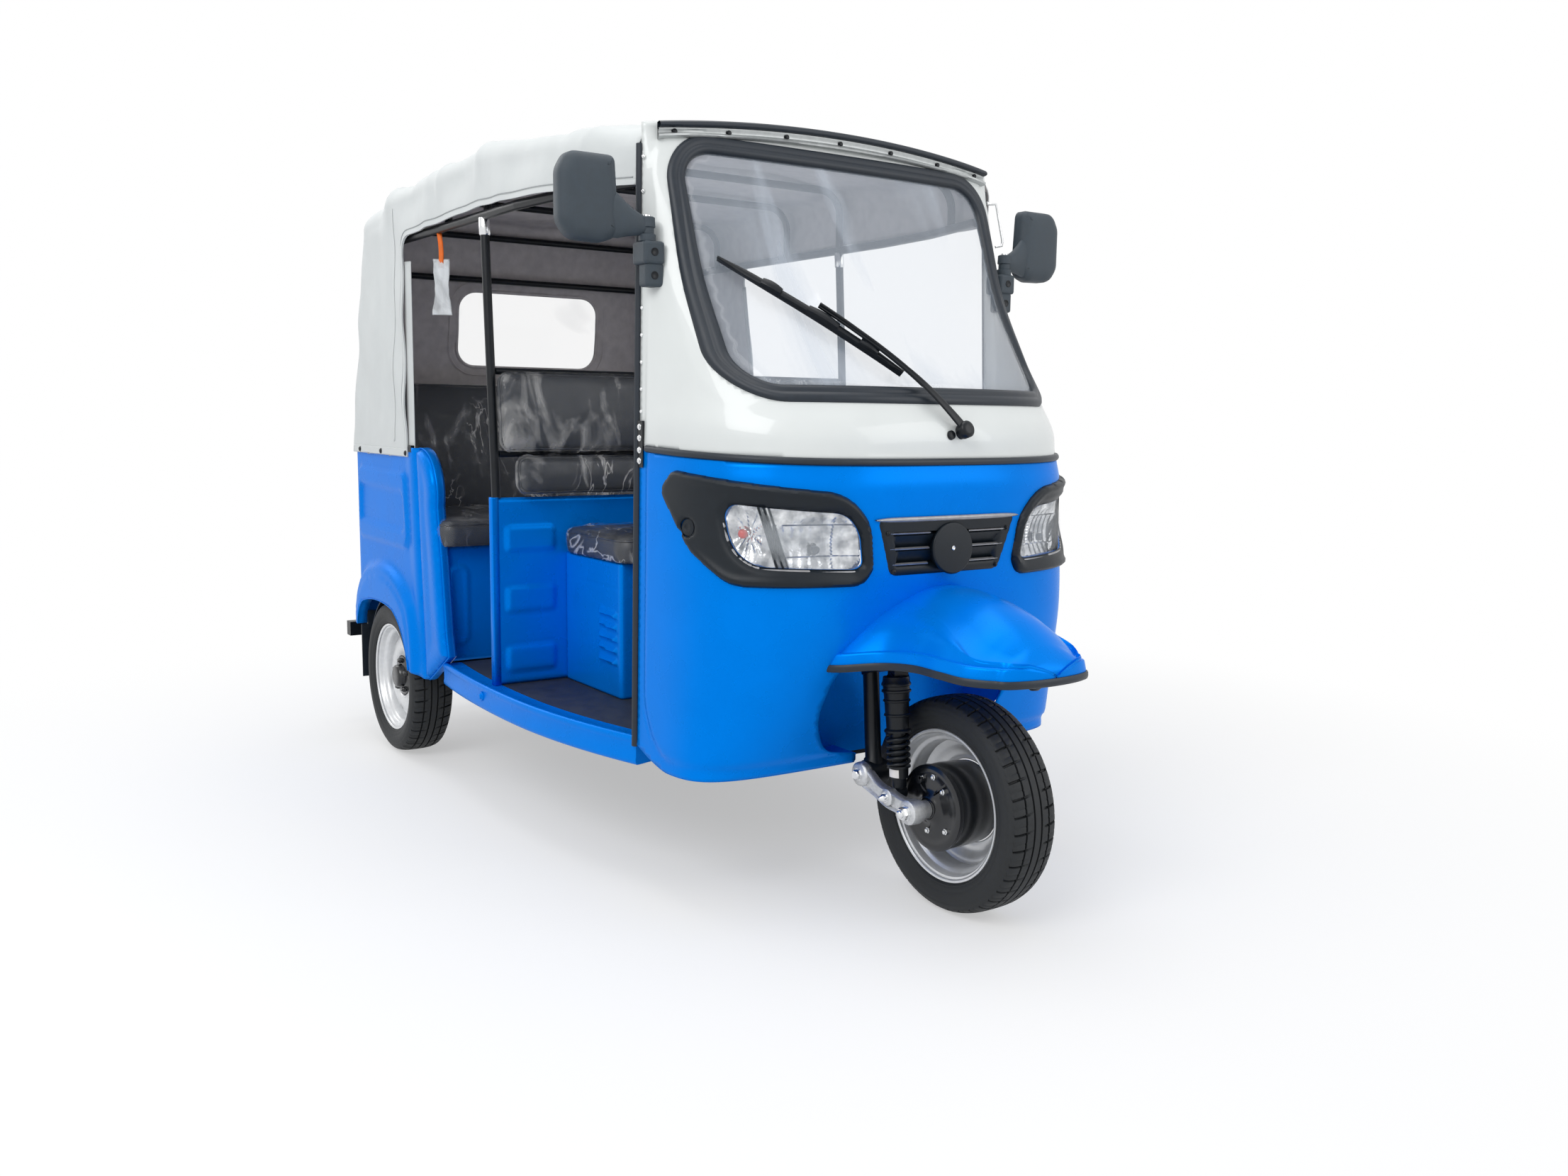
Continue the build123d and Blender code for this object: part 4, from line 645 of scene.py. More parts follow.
def cowl_section(z):
    """Half of the cowl's section in plan, from the nose to the left door edge."""
    heights, noses, squares = zip(*COWL_ROWS)
    nose_x = float(smooth_through(z, heights, noses))
    power = float(smooth_through(z, heights, squares))
    edge_x, half_w = door_edge(z)
    turn = 2 ** (-1 / power)
    front = np.linspace(0, turn, 120)
    side = np.linspace(turn, 0, 120)[1:]
    across = np.concatenate([front, (1 - side**power) ** (1 / power)])
    ahead = np.concatenate([(1 - front**power) ** (1 / power), side])
    return np.column_stack([edge_x + (nose_x - edge_x) * ahead, half_w * across, np.full(len(across), z)])


SKIN_COLUMNS = 241
NORMAL_REACH, NORMAL_LIMIT = 0.012, 0.985  # a normal's step along the share, and the last share with its own


class HalfSkin:
    """A surface from sections of its left half. share runs from -1 at the right edge to 1 at the left one."""

    def __init__(self, levels, sections):
        self.levels = np.asarray(levels, float)
        self.pitch = self.levels[1] - self.levels[0]
        self.shares = np.linspace(0, 1, SKIN_COLUMNS)
        rows, lengths = [], []
        for section in sections:
            along = polyline_lengths(section)
            at = self.shares * along[-1]
            rows.append(np.column_stack([np.interp(at, along, section[:, k]) for k in range(3)]))
            lengths.append(along[-1])
        self.rows = np.array(rows)
        self.lengths = np.array(lengths)

    def flat(self, share, level):
        """Points on the surface."""
        share, level = np.asarray(share, float), np.asarray(level, float)
        a = np.clip(np.abs(share), 0, 1) * (len(self.shares) - 1)
        b = np.clip((level - self.levels[0]) / self.pitch, 0, len(self.levels) - 1.001)
        i, j = np.minimum(a.astype(int), len(self.shares) - 2), b.astype(int)
        p, q = (a - i)[..., None], (b - j)[..., None]
        rows = self.rows
        spot = (1 - q) * ((1 - p) * rows[j, i] + p * rows[j, i + 1])
        spot += q * ((1 - p) * rows[j + 1, i] + p * rows[j + 1, i + 1])
        spot[..., 1] *= np.where(share < 0, -1.0, 1.0)
        return spot

    def normal(self, share, level):
        share, level = np.asarray(share, float), np.asarray(level, float)
        inner = np.clip(share, -NORMAL_LIMIT, NORMAL_LIMIT)
        across = self.flat(inner + NORMAL_REACH, level) - self.flat(inner - NORMAL_REACH, level)
        onward = self.flat(inner, level + self.pitch) - self.flat(inner, level - self.pitch)
        return unit(np.cross(across, onward))

    def place(self, share, level, out=0.0):
        """Points on the surface, moved outwards."""
        out = np.asarray(out, float)[..., None] if np.ndim(out) else out
        return self.flat(share, level) + self.normal(share, level) * out


class Cowl(HalfSkin):
    """The cowl's outer surface, whose levels are heights."""

    def __init__(self):
        levels = np.arange(280.0, 1801.0, 10.0)
        super().__init__(levels, [cowl_section(z) for z in levels])

    def length(self, z):
        """The section's length from the nose to the door edge."""
        return np.interp(z, self.levels, self.lengths)

    def seen(self, view, u, z):
        """The share at which a view shows a horizontal place u at a height."""
        shares = np.linspace(-1, 1 if view == FRONT_VIEW else 0.35, 401)
        result = []
        for u_one, z_one in zip(np.atleast_1d(u), np.atleast_1d(z)):
            spots = self.flat(shares, np.full(len(shares), z_one))
            along = spots[:, 0] * view[0] + spots[:, 1] * view[1] + view[2]
            result.append(np.interp(u_one, along, shares))
        return np.array(result)

    def waist(self, share, above=0.0):
        """The height of the waist line."""
        z = np.full(np.shape(share), WAIST_Z)
        for _ in range(3):
            z = WAIST_Z + WAIST_SLOPE * (WAIST_X - self.flat(share, z)[..., 0]) + above
        return z

    def drawn(self, view, loop):
        """An outline drawn in a view as (share, z)."""
        return np.column_stack([self.seen(view, loop[:, 0], loop[:, 1]), loop[:, 1]])


cowl = Cowl()
SPREAD = 800.0  # a share of 1 on the flat pattern


def cowl_skin(name, outline, holes, relief, material, node):
    """A cowl panel cut to an outline of (share, z), with a relief over it."""
    scale = np.array([SPREAD, 1.0])
    flat, faces = trimmed(outline * scale, [h * scale for h in holes], 11.0)
    share, z = flat[:, 0] / SPREAD, flat[:, 1]
    points = cowl.place(share, z, relief(share, z))
    skin = add_mesh(name, points, faces, material)
    thicken(face_outwards(skin, (500, 0, 900)), 3.0)
    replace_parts(skin, node)


LENS_CORNERS = [(328, 912), (352, 820), (400, 781), (600, 772), (596, 850), (575, 892)]
SURROUND_CORNERS = [
    (155, 930), (195, 977), (575, 938), (618, 875), (621, 770), (600, 733), (350, 735), (250, 803),
]
LENS_RADII = [26, 90, 90, 16, 90, 60]
SURROUND_RADII = [30, 26, 150, 110, 60, 34, 120, 120]
GRILLE_CORNERS = [(-203, 880), (203, 880), (160, 750), (-160, 750)]
GRILLE_RADII = [10, 10, 26, 26]
STRIP_W = 34.0  # flat strip along the door edge
PANEL_RISE, PANEL_LOW, PANEL_CORNER_R = 6.0, 26.0, 120.0
CORNER_X, CORNER_RISE = 758.0, 37.0  # where the lower edge starts to rise, and how far it does
RECESS = [
    # y, z, radius
    (130, 302, 0.5), (130, 323, 40), (236, 344, 80), (281, 429, 110), (262, 520, 80), (215, 590, 6),
    (-215, 590, 6), (-262, 520, 80), (-281, 429, 110), (-236, 344, 80), (-130, 323, 40), (-130, 302, 0.5),
]


def low_rise(x):
    """How far the cowl's lower edge has risen above its lowest place, towards the door."""
    return CORNER_RISE * np.clip((CORNER_X - x) / (CORNER_X - DOOR_X), 0, 1) ** 1.5


def wheel_recess():
    """The edge of the recess behind the wheel as (share, z), from its left foot over its top."""
    loop = rounded([row[:2] for row in RECESS], [row[2] for row in RECESS], 8.0)
    start = int(np.argmin(np.linalg.norm(loop - RECESS[0][:2], axis=1)))
    loop = np.roll(loop, -start, axis=0)
    return cowl.drawn(FRONT_VIEW, loop[loop[:, 1] > 303])


def side_edges(z):
    """The cowl's left edge going up and its right edge going down, as (share, z)."""
    return np.column_stack([np.ones(len(z)), z]), np.column_stack([-np.ones(len(z)), z[::-1]])


def lower_cowl():
    shares = np.linspace(-1, 1, 221)
    low_edge = np.column_stack([shares, COWL_LOW + low_rise(cowl.flat(shares, np.full(221, 320.0))[:, 0])])
    foot_share = float(cowl.seen(FRONT_VIEW, RECESS[0][0], 312.0)[0]) + 0.004
    top_shares = np.linspace(1, -1, 181)
    top_edge = np.column_stack([top_shares, cowl.waist(top_shares, -4.0)])
    left_side, right_side = side_edges(np.arange(350.0, top_edge[0, 1] - 5, 10.0))
    outline = np.vstack([
        low_edge[shares < -foot_share], wheel_recess()[::-1], low_edge[shares > foot_share],
        left_side, top_edge, right_side,
    ])
    lens = cowl.drawn(LAMP_VIEW, rounded(LENS_CORNERS, LENS_RADII, 8.0))
    vent_corners = [(x * 0.92, z + (20 if z < 800 else -14)) for x, z in GRILLE_CORNERS]
    vent = cowl.drawn(FRONT_VIEW, rounded(vent_corners, 12, 8.0))

    def relief(share, z):
        """A proud panel with a rounded lower corner, inside a flat strip and a bottom flange."""
        from_door = (1 - np.abs(share)) * cowl.length(z)
        from_low = z - COWL_LOW - low_rise(cowl.flat(share, z)[:, 0])
        a, b = from_door - STRIP_W, from_low - PANEL_LOW
        corner = np.hypot(np.minimum(a - PANEL_CORNER_R, 0), np.minimum(b - PANEL_CORNER_R, 0))
        inner = np.minimum(np.minimum(a, b), PANEL_CORNER_R - corner)
        rise = PANEL_RISE * smoothstep(-3, 17, inner) * (1 - 0.85 * smoothstep(60, 8, cowl.waist(share) - z))
        crease = -2.2 * np.exp(-((inner + 2) / 5.0) ** 2)
        flange = 2.5 * np.exp(-((from_low - 3) / 6.0) ** 2)
        return rise + crease + flange

    cowl_skin("cowl_lower_skin", outline, [lens, lens * (-1, 1), vent], relief, blue_paint, "cowl_lower")


def screen_loop(inset, step=8.0):
    """The windscreen's outline in the front view, as evenly spaced points."""
    half_w, low_z, high_z, r = 474.0, 1123.0, 1716.0, 112.0
    return offset_loop(rounded(box_corners(-half_w, low_z, half_w, high_z), r, step), inset)


def on_cowl(loop, out):
    """Points over the cowl from places (y, z) in the front view."""
    return cowl.place(cowl.seen(FRONT_VIEW, loop[:, 0], loop[:, 1]), loop[:, 1], out)


def roof_arch(y):
    """The height of the cowl's upper edge."""
    side_z, mid_z, half = 1724.0, 1768.0, 600.0
    r = (half**2 + (mid_z - side_z) ** 2) / (2 * (mid_z - side_z))
    return mid_z - r + np.sqrt(r**2 - np.asarray(y, float) ** 2)


def upper_cowl():
    shares = np.linspace(-1, 1, 181)
    low_edge = np.column_stack([shares, cowl.waist(shares, 4.0)])
    top_shares = shares[::-1]
    top_edge = np.column_stack([top_shares, roof_arch(cowl.flat(top_shares, np.full(181, 1740.0))[:, 1])])
    left_side, right_side = side_edges(np.arange(low_edge[-1, 1] + 10, top_edge[0, 1] - 5, 10.0))
    outline = np.vstack([low_edge, left_side, top_edge, right_side])
    hole = cowl.drawn(FRONT_VIEW, screen_loop(4.0))

    def relief(share, z):
        """A swage ring round the gasket, a soft fold above the waist and a strip at the door edge."""
        from_hole = distance(np.column_stack([share * SPREAD, z]), hole * (SPREAD, 1.0))
        from_door = (1 - np.abs(share)) * cowl.length(z)
        above = z - cowl.waist(share)
        swage = 5.0 * smoothstep(70, 44, from_hole) * smoothstep(1745, 1690, z)
        fold = 5.6 * np.exp(-((above - 66) / 34.0) ** 2) * smoothstep(40, 130, from_door)
        strip = 4.0 * smoothstep(26, 46, from_door) * smoothstep(1700, 1640, z) * smoothstep(8, 50, above)
        return np.maximum(swage, strip) + fold

    cowl_skin("cowl_upper_skin", outline, [hole], relief, white_paint, "cowl_upper")


def windscreen_rubber():
    profile = [
        # inset, out
        (-1, -2), (-1, 6), (2, 10), (8, 12.5), (14, 12), (18, 9.5), (20, 8.8), (23, 10.5), (29, 10.5),
        (34, 7.5), (37, 2), (37, -8), (30, -9),
    ]
    rings = [on_cowl(screen_loop(inset), out) for inset, out in profile]
    gasket = add_grid("gasket_ring", rings, gasket_rubber, close_rows=True, close_columns=True)
    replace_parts(gasket, "windscreen_gasket")


def windscreen_pane():
    flat, faces = trimmed(screen_loop(33.0, 14.0), [], 22.0)
    pane = add_mesh("windscreen_pane", on_cowl(flat, -1.0), faces, screen_glass)
    thicken(face_outwards(pane, (300, 0, 1400)), 4.0)
    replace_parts(pane, "windscreen")


def waist_bead():
    """A half-round bead over the joint of the two cowl panels."""
    shares = np.linspace(-0.955, 0.955, 241)
    rings = []
    for turn in np.linspace(-math.pi / 2, math.pi / 2, 9):
        z = cowl.waist(shares, 8.0 * math.sin(turn))
        rings.append(cowl.place(shares, z, -2.0 + 10.0 * abs(math.cos(turn)) ** 0.7))
    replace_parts(add_grid("waist_bead", rings, gasket_rubber), "waist_moulding")


lower_cowl()
upper_cowl()
windscreen_rubber()
windscreen_pane()
waist_bead()


def arc3(start, middle, end, count=12):
    """Points of the arc through three places."""
    (x1, y1), (x2, y2), (x3, y3) = start, middle, end
    pair = np.array([[2 * (x2 - x1), 2 * (y2 - y1)], [2 * (x3 - x1), 2 * (y3 - y1)]])
    centre = np.linalg.solve(pair, [x2**2 - x1**2 + y2**2 - y1**2, x3**2 - x1**2 + y3**2 - y1**2])
    r = math.hypot(x1 - centre[0], y1 - centre[1])
    a0, a1, a2 = (math.atan2(y - centre[1], x - centre[0]) for x, y in (start, middle, end))
    full = 2 * math.pi
    sweep = (a2 - a0) % full
    if (a1 - a0) % full > sweep:
        sweep -= full
    return [tuple(centre + r * np.array((math.cos(a0 + sweep * k / count), math.sin(a0 + sweep * k / count))))
            for k in range(count + 1)]


def filled(points, step):
    """A path with points added so that none are further apart than step."""
    result = [np.array(points[0], float)]
    for point in points[1:]:
        run = np.array(point, float) - result[-1]
        pieces = max(1, math.ceil(np.linalg.norm(run) / step))
        start = result[-1]
        result.extend(start + run * k / pieces for k in range(1, pieces + 1))
    return np.array(result)


def signed_inside(points, loop):
    """The distance inside a loop, negative outside it."""
    return np.where(inside(points, loop), 1.0, -1.0) * distance(points, loop)


# ---------------------------------------------------------------- rear body
BODY_HALF_W, BODY_REAR_X, BODY_CORNER_R = 631.0, -1278.0, 70.0
BODY_TOP_Z, BODY_LOW_Z = 983.0, 380.0
FLARE_PROUD = 26.0
ARCH = (
    arc3((-1188, 376), (-1164, 432), (-1114, 466)) + arc3((-1114, 466), (-960, 484), (-822, 472))[1:]
    + arc3((-822, 472), (-738, 418), (-679, 300))[1:]
)
FLARE = np.array(
    arc3((-1252, 380), (-1185, 545), (-1050, 607)) + arc3((-1050, 607), (-790, 588), (-663, 508))[1:]
    + arc3((-663, 508), (-634, 430), (-622, 339))[1:] + [(-640, 200), (-1300, 200)]
)
BODY_FRONT_EDGE = [(-594, 282), (-426, 378), (-442, 439), (-468, 644), (-497, 814)] + arc3(
    (-497, 814), (-535, 945), (-640, 983)
)[1:]
SIDE_PANEL = [(-1196, 676), (-695, 671), (-721, 904), (-1190, 910)]
SIDE_DISH = [(-1176, 734), (-728, 724), (-752, 848), (-1170, 852)]
PANEL_PROUD, EDGE_ROLL_R = 9.0, 18.0
LID_OPENING = (-406.0, 464.0, 406.0, 886.0)  # low y, low z, high y, high z
CORNER_RUN = math.pi / 2 * BODY_CORNER_R
REAR_RUN = BODY_HALF_W - BODY_CORNER_R


def body_run(x):
    """How far round the body's plan a place on its side is from the middle of its rear."""
    return REAR_RUN + CORNER_RUN + np.asarray(x, float) - BODY_REAR_X - BODY_CORNER_R


def body_place(run, z, out):
    """Points on the rear body from the distance round its plan, positive to the left."""
    a = np.abs(run)
    turn = np.clip((a - REAR_RUN) / BODY_CORNER_R, 0, math.pi / 2)
    side = np.maximum(a - REAR_RUN - CORNER_RUN, 0)
    r = BODY_CORNER_R + out
    x = BODY_REAR_X + BODY_CORNER_R - r * np.cos(turn) + side
    y = np.minimum(a, REAR_RUN) + r * np.sin(turn)
    return np.column_stack([x, y * np.sign(run), z])


def rear_body_skin():
    left = filled(ARCH + BODY_FRONT_EDGE, 12.0)
    left[:, 0] = body_run(left[:, 0])
    top = filled([(left[-1, 0], BODY_TOP_Z), (-left[-1, 0], BODY_TOP_Z)], 14.0)[1:-1]
    low = filled([(-left[0, 0], BODY_LOW_Z - 4), (left[0, 0], BODY_LOW_Z - 4)], 14.0)[1:-1]
    outline = np.vstack([left, top, (left * (-1, 1))[::-1], low])
    flat, faces = trimmed(outline, [rounded(box_corners(*LID_OPENING), 36, 12)], 11.5)
    run, z = flat[:, 0], flat[:, 1]
    side_x = np.abs(run) - REAR_RUN - CORNER_RUN + BODY_REAR_X + BODY_CORNER_R
    spots = np.column_stack([side_x, z])
    flare, panel, dish = (signed_inside(spots, loop) for loop in (
        FLARE, rounded(SIDE_PANEL, [30, 48, 34, 30]), rounded(SIDE_DISH, [14, 30, 26, 14])
    ))
    from_edge = distance(spots, np.array(BODY_FRONT_EDGE, float))
    out = FLARE_PROUD * (0.86 * smoothstep(-2, 36, flare) + 0.14 * smoothstep(52, 60, flare))
    out += PANEL_PROUD * (smoothstep(-4, 6, panel) - smoothstep(-5, 5, dish))
    depth = np.clip(EDGE_ROLL_R - from_edge, 0, EDGE_ROLL_R)
    out -= EDGE_ROLL_R - np.sqrt(EDGE_ROLL_R**2 - depth**2)
    out += 3.0 * smoothstep(90, 40, from_edge) * smoothstep(14, 30, from_edge)
    skin = add_mesh("rear_body_skin", body_place(run, z, out), faces, blue_paint)
    thicken(face_outwards(skin, (-700, 0, 700)), 3.0)
    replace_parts(skin, "rear_body")


def side_rows(path, side, moves):
    """Copies of a path (x, z) beside the rear body, each moved outwards and along (x, z)."""
    rows = []
    for out, move in moves:
        spot = path + move
        y = np.full(len(path), side * (BODY_HALF_W + out))
        rows.append(np.column_stack([spot[:, 0], y, spot[:, 1]]))
    return rows


def arch_lips():
    """The flare's edge turned in under the arch, and the body's front edge turned in at the doorway."""
    arch, edge = filled(ARCH, 10.0), filled(BODY_FRONT_EDGE, 10.0)
    away = unit(arch - (-930.0, 250.0))
    # out, inwards under the arch or backwards from the edge
    flare_rows = ((FLARE_PROUD + 0.5, 0), (FLARE_PROUD - 2, 0.9), (FLARE_PROUD - 14, 1.2), (-8, 1.2))
    edge_rows = ((-14, 0.5), (-20, 1.0), (-34, 4.0), (-44, 14.0), (-46, 30.0))
    for side, word in SIDES:
        rows = side_rows(arch, side, [(out, away * shift) for out, shift in flare_rows])
        thicken(add_grid(f"arch_lip_{word}", rows, blue_paint), 2.5, 0.0)
        rows = side_rows(edge, side, [(out, (-back, 0.0)) for out, back in edge_rows])
        thicken(add_grid(f"body_edge_{word}", rows, blue_paint), 2.5, 0.0)


rear_body_skin()
arch_lips()


# ---------------------------------------------------------------- canopy
CANOPY_ROWS = [
    # x, half_w, side_z, crown
    (-1420, 612, 1690, 20), (-1170, 612, 1716, 20), (-891, 612, 1763, 20), (-686, 612, 1780, 20),
    (-448, 612, 1779, 20), (-156, 612, 1796, 20), (180, 604, 1770, 26), (412, 576, 1742, 34),
    (575, 521, 1722, 42), (625, 519, 1718, 44),
]
HEM_Z, HEADER_Z, CANOPY_LEAN = 955.0, 1600.0, 0.0403
SHOULDER, SHOULDER_RISE = 60.0, 6.0
CANOPY_FRONT_X, CANOPY_REAR_X, CANOPY_REAR_LEAN, CANOPY_CORNER_R = 574.0, -1290.0, 0.116, 60.0
BOW_XS = (-1170.0, -891.0, -448.0, -156.0, 412.0, 600.0)
SAG, BOW_RIDGE, BROAD_FOLD, DRAPE_FOLD, SLANT_FOLD = 11.0, 5.0, 7.0, 5.0, 8.0
OPENING = [
    (-688, 955), (-690, 1000), *arc3((-756, 1540), (-745, 1592), (-698, 1614), 6), (-128, 1630), (192, 1620),
    (574, 1602),
]
REAR_WINDOW = (-262, 1255, 262, 1505)  # low y, low z, high y, high z


def canopy_section(x):
    """The canopy's left half at a place along the vehicle, from its middle down to its hem."""
    xs, half_ws, side_zs, crowns = zip(*CANOPY_ROWS)
    w, side_z, crown = (float(np.interp(x, xs, v)) for v in (half_ws, side_zs, crowns))
    eave = side_z + SHOULDER_RISE
    roof = arc3((SHOULDER - w, eave), (0, side_z + crown), (w - SHOULDER, eave), 40)[20:]
    corner = arc3((w - SHOULDER, eave), (w - 12, side_z - 14), (w, side_z - SHOULDER), 12)[1:]
    foot = (w + CANOPY_LEAN * (HEADER_Z - HEM_Z + 15), HEM_Z - 15)
    spots = np.array(roof + corner + [(w, HEADER_Z), foot])
    return np.column_stack([np.full(len(spots), x), spots])


GIRTH = 1500.0  # a share of 1 on the canopy's flat pattern
tent_levels = np.arange(-1410.0, 626.0, 15.0)
tent = HalfSkin(tent_levels, [canopy_section(x) for x in tent_levels])


def tent_share(x, z):
    """The share of the section at which the canopy's left side has a height."""
    result = []
    for x_one, z_one in zip(np.atleast_1d(x), np.atleast_1d(z)):
        heights = tent.flat(tent.shares, np.full(len(tent.shares), x_one))[:, 2]
        result.append(np.interp(-z_one, -heights, tent.shares))
    return np.array(result)


def rear_x(z):
    """Where the canopy's flat back is at a height."""
    return CANOPY_REAR_X + CANOPY_REAR_LEAN * (np.asarray(z, float) - HEM_Z)


def soft_folds(points):
    """How far the cloth lies off its smooth form: it sags between the bows and ripples down the sides."""
    x, _, z = points.T
    out = np.zeros(len(points))
    roof = smoothstep(1640, 1720, z)
    for a, b in zip(BOW_XS, BOW_XS[1:]):
        out -= roof * SAG * np.sin(math.pi * np.clip((x - a) / (b - a), 0, 1)) ** 2
    for x_bow in BOW_XS[1:-1]:
        out += roof * BOW_RIDGE * np.exp(-((x - x_bow) / 20.0) ** 2)
    for i, (px, py, pz) in enumerate(points):
        broad = noise.noise((px / 210, py / 260, pz / 330))
        drape = noise.noise((px / 75 + pz / 900, py / 90, pz / 420 + 7.3))
        slant = noise.noise(((px + 0.8 * pz) / 120, py / 200 + 3, (pz - 0.5 * px) / 380))
        out[i] += BROAD_FOLD * broad + (DRAPE_FOLD * drape + SLANT_FOLD * slant) * smoothstep(985, 1090, pz)
    return out


def side_opening():
    """The left doorway's edge as (x, share), from the hem to the canopy's front."""
    opening = filled(OPENING, 14.0)
    return np.column_stack([opening[:, 0], tent_share(opening[:, 0], opening[:, 1])])


def rear_edge():
    """Where the canopy's sides and roof start to turn into its back, as (x, share)."""
    hem_share = float(tent_share(-1200.0, HEM_Z)[0])
    shares = np.linspace(hem_share, -hem_share, 201)
    x = np.full(len(shares), -1180.0)
    for _ in range(4):
        x = rear_x(tent.flat(shares, x)[:, 2]) + CANOPY_CORNER_R
    return np.column_stack([x, shares])


def rounded_rear(rear):
    """Rows of points that turn from the canopy's rear edge into its flat back."""
    edge = tent.place(rear[:, 1], rear[:, 0])
    out = tent.normal(rear[:, 1], rear[:, 0])
    out *= np.sign(np.sum(out * (edge - (-800, 0, 1300)), axis=1))[:, None]
    back = np.array((-1.0, 0.0, CANOPY_REAR_LEAN)) / math.hypot(1, CANOPY_REAR_LEAN)
    centre = edge - out * CANOPY_CORNER_R
    rows = []
    for k in range(8):
        turn = math.pi / 2 * k / 7
        rows.append(centre + CANOPY_CORNER_R * (math.cos(turn) * out + math.sin(turn) * back))
    rows[-1][:, 0] = rear_x(rows[-1][:, 2])
    return rows


def canopy_cloth():
    """The whole cloth: sides and roof, rounded rear corners, and the back with the window's opening."""
    left, rear = side_opening(), rear_edge()
    front_share = left[-1, 1]
    front = np.column_stack([np.full(97, CANOPY_FRONT_X), np.linspace(front_share, -front_share, 97)])[1:-1]
    hem_ends = [(rear[0, 0], rear[0, 1] * SPREAD), (left[0, 0], left[0, 1] * SPREAD)]
    hem = filled(hem_ends, 14.0)[1:-1] / (1, SPREAD)
    outline = np.vstack([
        rear[-1:], hem * (1, -1), left * (1, -1), front[::-1], left[::-1], hem[::-1], rear[:-1],
    ])
    flat, faces = trimmed(outline * (1.0, GIRTH), [], 16.0)
    pile = Pile()
    pile.add(tent.place(flat[:, 1] / GIRTH, flat[:, 0]), faces)
    rows = rounded_rear(rear)
    pile.grid(rows)
    loop = rows[-1][:, 1:]
    foot = filled([loop[-1], loop[0]], 16.0)[1:-1]
    flat, faces = trimmed(np.vstack([loop, foot]), [rounded(box_corners(*REAR_WINDOW), 60, 10)], 16.0)
    pile.add(np.column_stack([rear_x(flat[:, 1]), flat]), faces)
    cloth = face_outwards(pile.make("canopy_cloth", canvas_outer), (-400, 0, 1200))
    spots = np.array([v.co for v in cloth.data.vertices]) / MM
    normals = np.array([v.normal for v in cloth.data.vertices])
    moved = spots + normals * soft_folds(spots)[:, None]
    cloth.data.vertices.foreach_set("co", (moved * MM).astype(np.float32).ravel())
    cloth.data.update()
    thicken(cloth, 2.5, inner=canvas_inner)
    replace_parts(cloth, "canopy")


canopy_cloth()


# ---------------------------------------------------------------- padded seats
class Pad:
    """A stuffed pad: a rounded rectangle a by b, standing off its base along c."""

    def __init__(self, origin, a_dir, b_dir, c_dir, size, thick, corner_r, crown):
        self.place = Matrix((a_dir, b_dir, c_dir)).transposed().to_4x4()
        self.place.translation = Vector(origin)
        self.size, self.thick, self.corner_r, self.crown = size, thick, corner_r, crown

    def world(self, points):
        turn = np.array(self.place)
        return np.asarray(points) @ turn[:3, :3].T + turn[:3, 3]

    def loop(self, inset, step=9.0):
        return offset_loop(rounded(box_corners(0, 0, *self.size), self.corner_r, step), inset)

    def lifted(self, points, crinkle, seed):
        """The points moved off the pad's smooth form by a slow wave and by crinkles."""
        middle = np.array((self.size[0] / 2, self.size[1] / 2, self.thick * 0.3))
        reach = np.array((self.size[0] / 2, self.size[1] / 2, self.thick))
        wave = np.array([
            noise.noise((p[0] / 130 + seed, p[1] / 130, p[2] / 60)) * 1.6
            + crinkle * (abs(noise.noise((p[0] / 34 + seed, p[1] / 60, p[2] / 40))) * 2 - 0.4)
            + crinkle * 0.6 * abs(noise.noise((p[0] / 15, p[1] / 23 + seed, p[2] / 20)))
            for p in points
        ])
        away = unit((points - middle) / np.maximum(reach**2, 1))
        return points + away * wave[:, None] * smoothstep(0, 12, points[:, 2])[:, None]

    def shape(self, grow=0.0, crinkle=0.0, spacing=14.0, seed=0.0, closed=True):
        """The pad's points and faces. A wrapping is a little larger, crinkled and open below."""
        t = self.thick
        profile = [
            # inset, height
            (16, 0), (6, 1.5), (1.5, 7), (-1.5, 0.3 * t), (-2.5, 0.5 * t), (-1, 0.7 * t), (3, t - 15),
            (7, t - 7), (14, t - 2.0),
        ]
        rings = []
        for inset, c in profile:
            loop = self.loop(inset - grow)
            rings.append(np.column_stack([loop, np.full(len(loop), c + (grow if c > t / 2 else 0))]))
        pile = Pile()
        pile.grid(rings, close_columns=True)
        if closed:
            pile.faces.append(tuple(range(len(rings[0]))[::-1]))
        top = rings[-1][:, :2]
        flat, tops = trimmed(top, [], spacing)
        height = t - 2.0 + grow + self.crown * (1 - np.exp(-distance(flat, top) / 55.0))
        pile.add(np.column_stack([flat, height]), tops)
        return self.world(self.lifted(np.array(pile.points), crinkle, seed)), pile.faces

    def seam(self, pile, inset, c):
        """Piping sewn round the pad's edge."""
        r = 3.2
        rings = []
        for k in range(8):
            turn = 2 * math.pi * k / 8
            ring = self.loop(inset - r * math.cos(turn), 12.0)
            rings.append(self.world(np.column_stack([ring, np.full(len(ring), c + r * math.sin(turn))])))
        pile.grid(rings, close_rows=True, close_columns=True)


def seat_pad(name, node, pads):
    """The pads of one seat piece, with their piping and clear wrapping."""
    body, piping = Pile(), Pile()
    for pad in pads:
        body.add(*pad.shape())
        pad.seam(piping, 2.5, pad.thick - 13)
    stuffed = body.make(name, seat_vinyl)
    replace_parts(stuffed, node)
    piping.make(f"{name}_piping", seat_vinyl)
    for i, pad in enumerate(pads):
        points, faces = pad.shape(WRAP_GROW, WRAP_CRINKLE, 9.0, seed=3.1 * i + 1.7, closed=False)
        wrap = add_mesh(f"{name}_wrap_{i + 1}", points, faces, wrap_film)


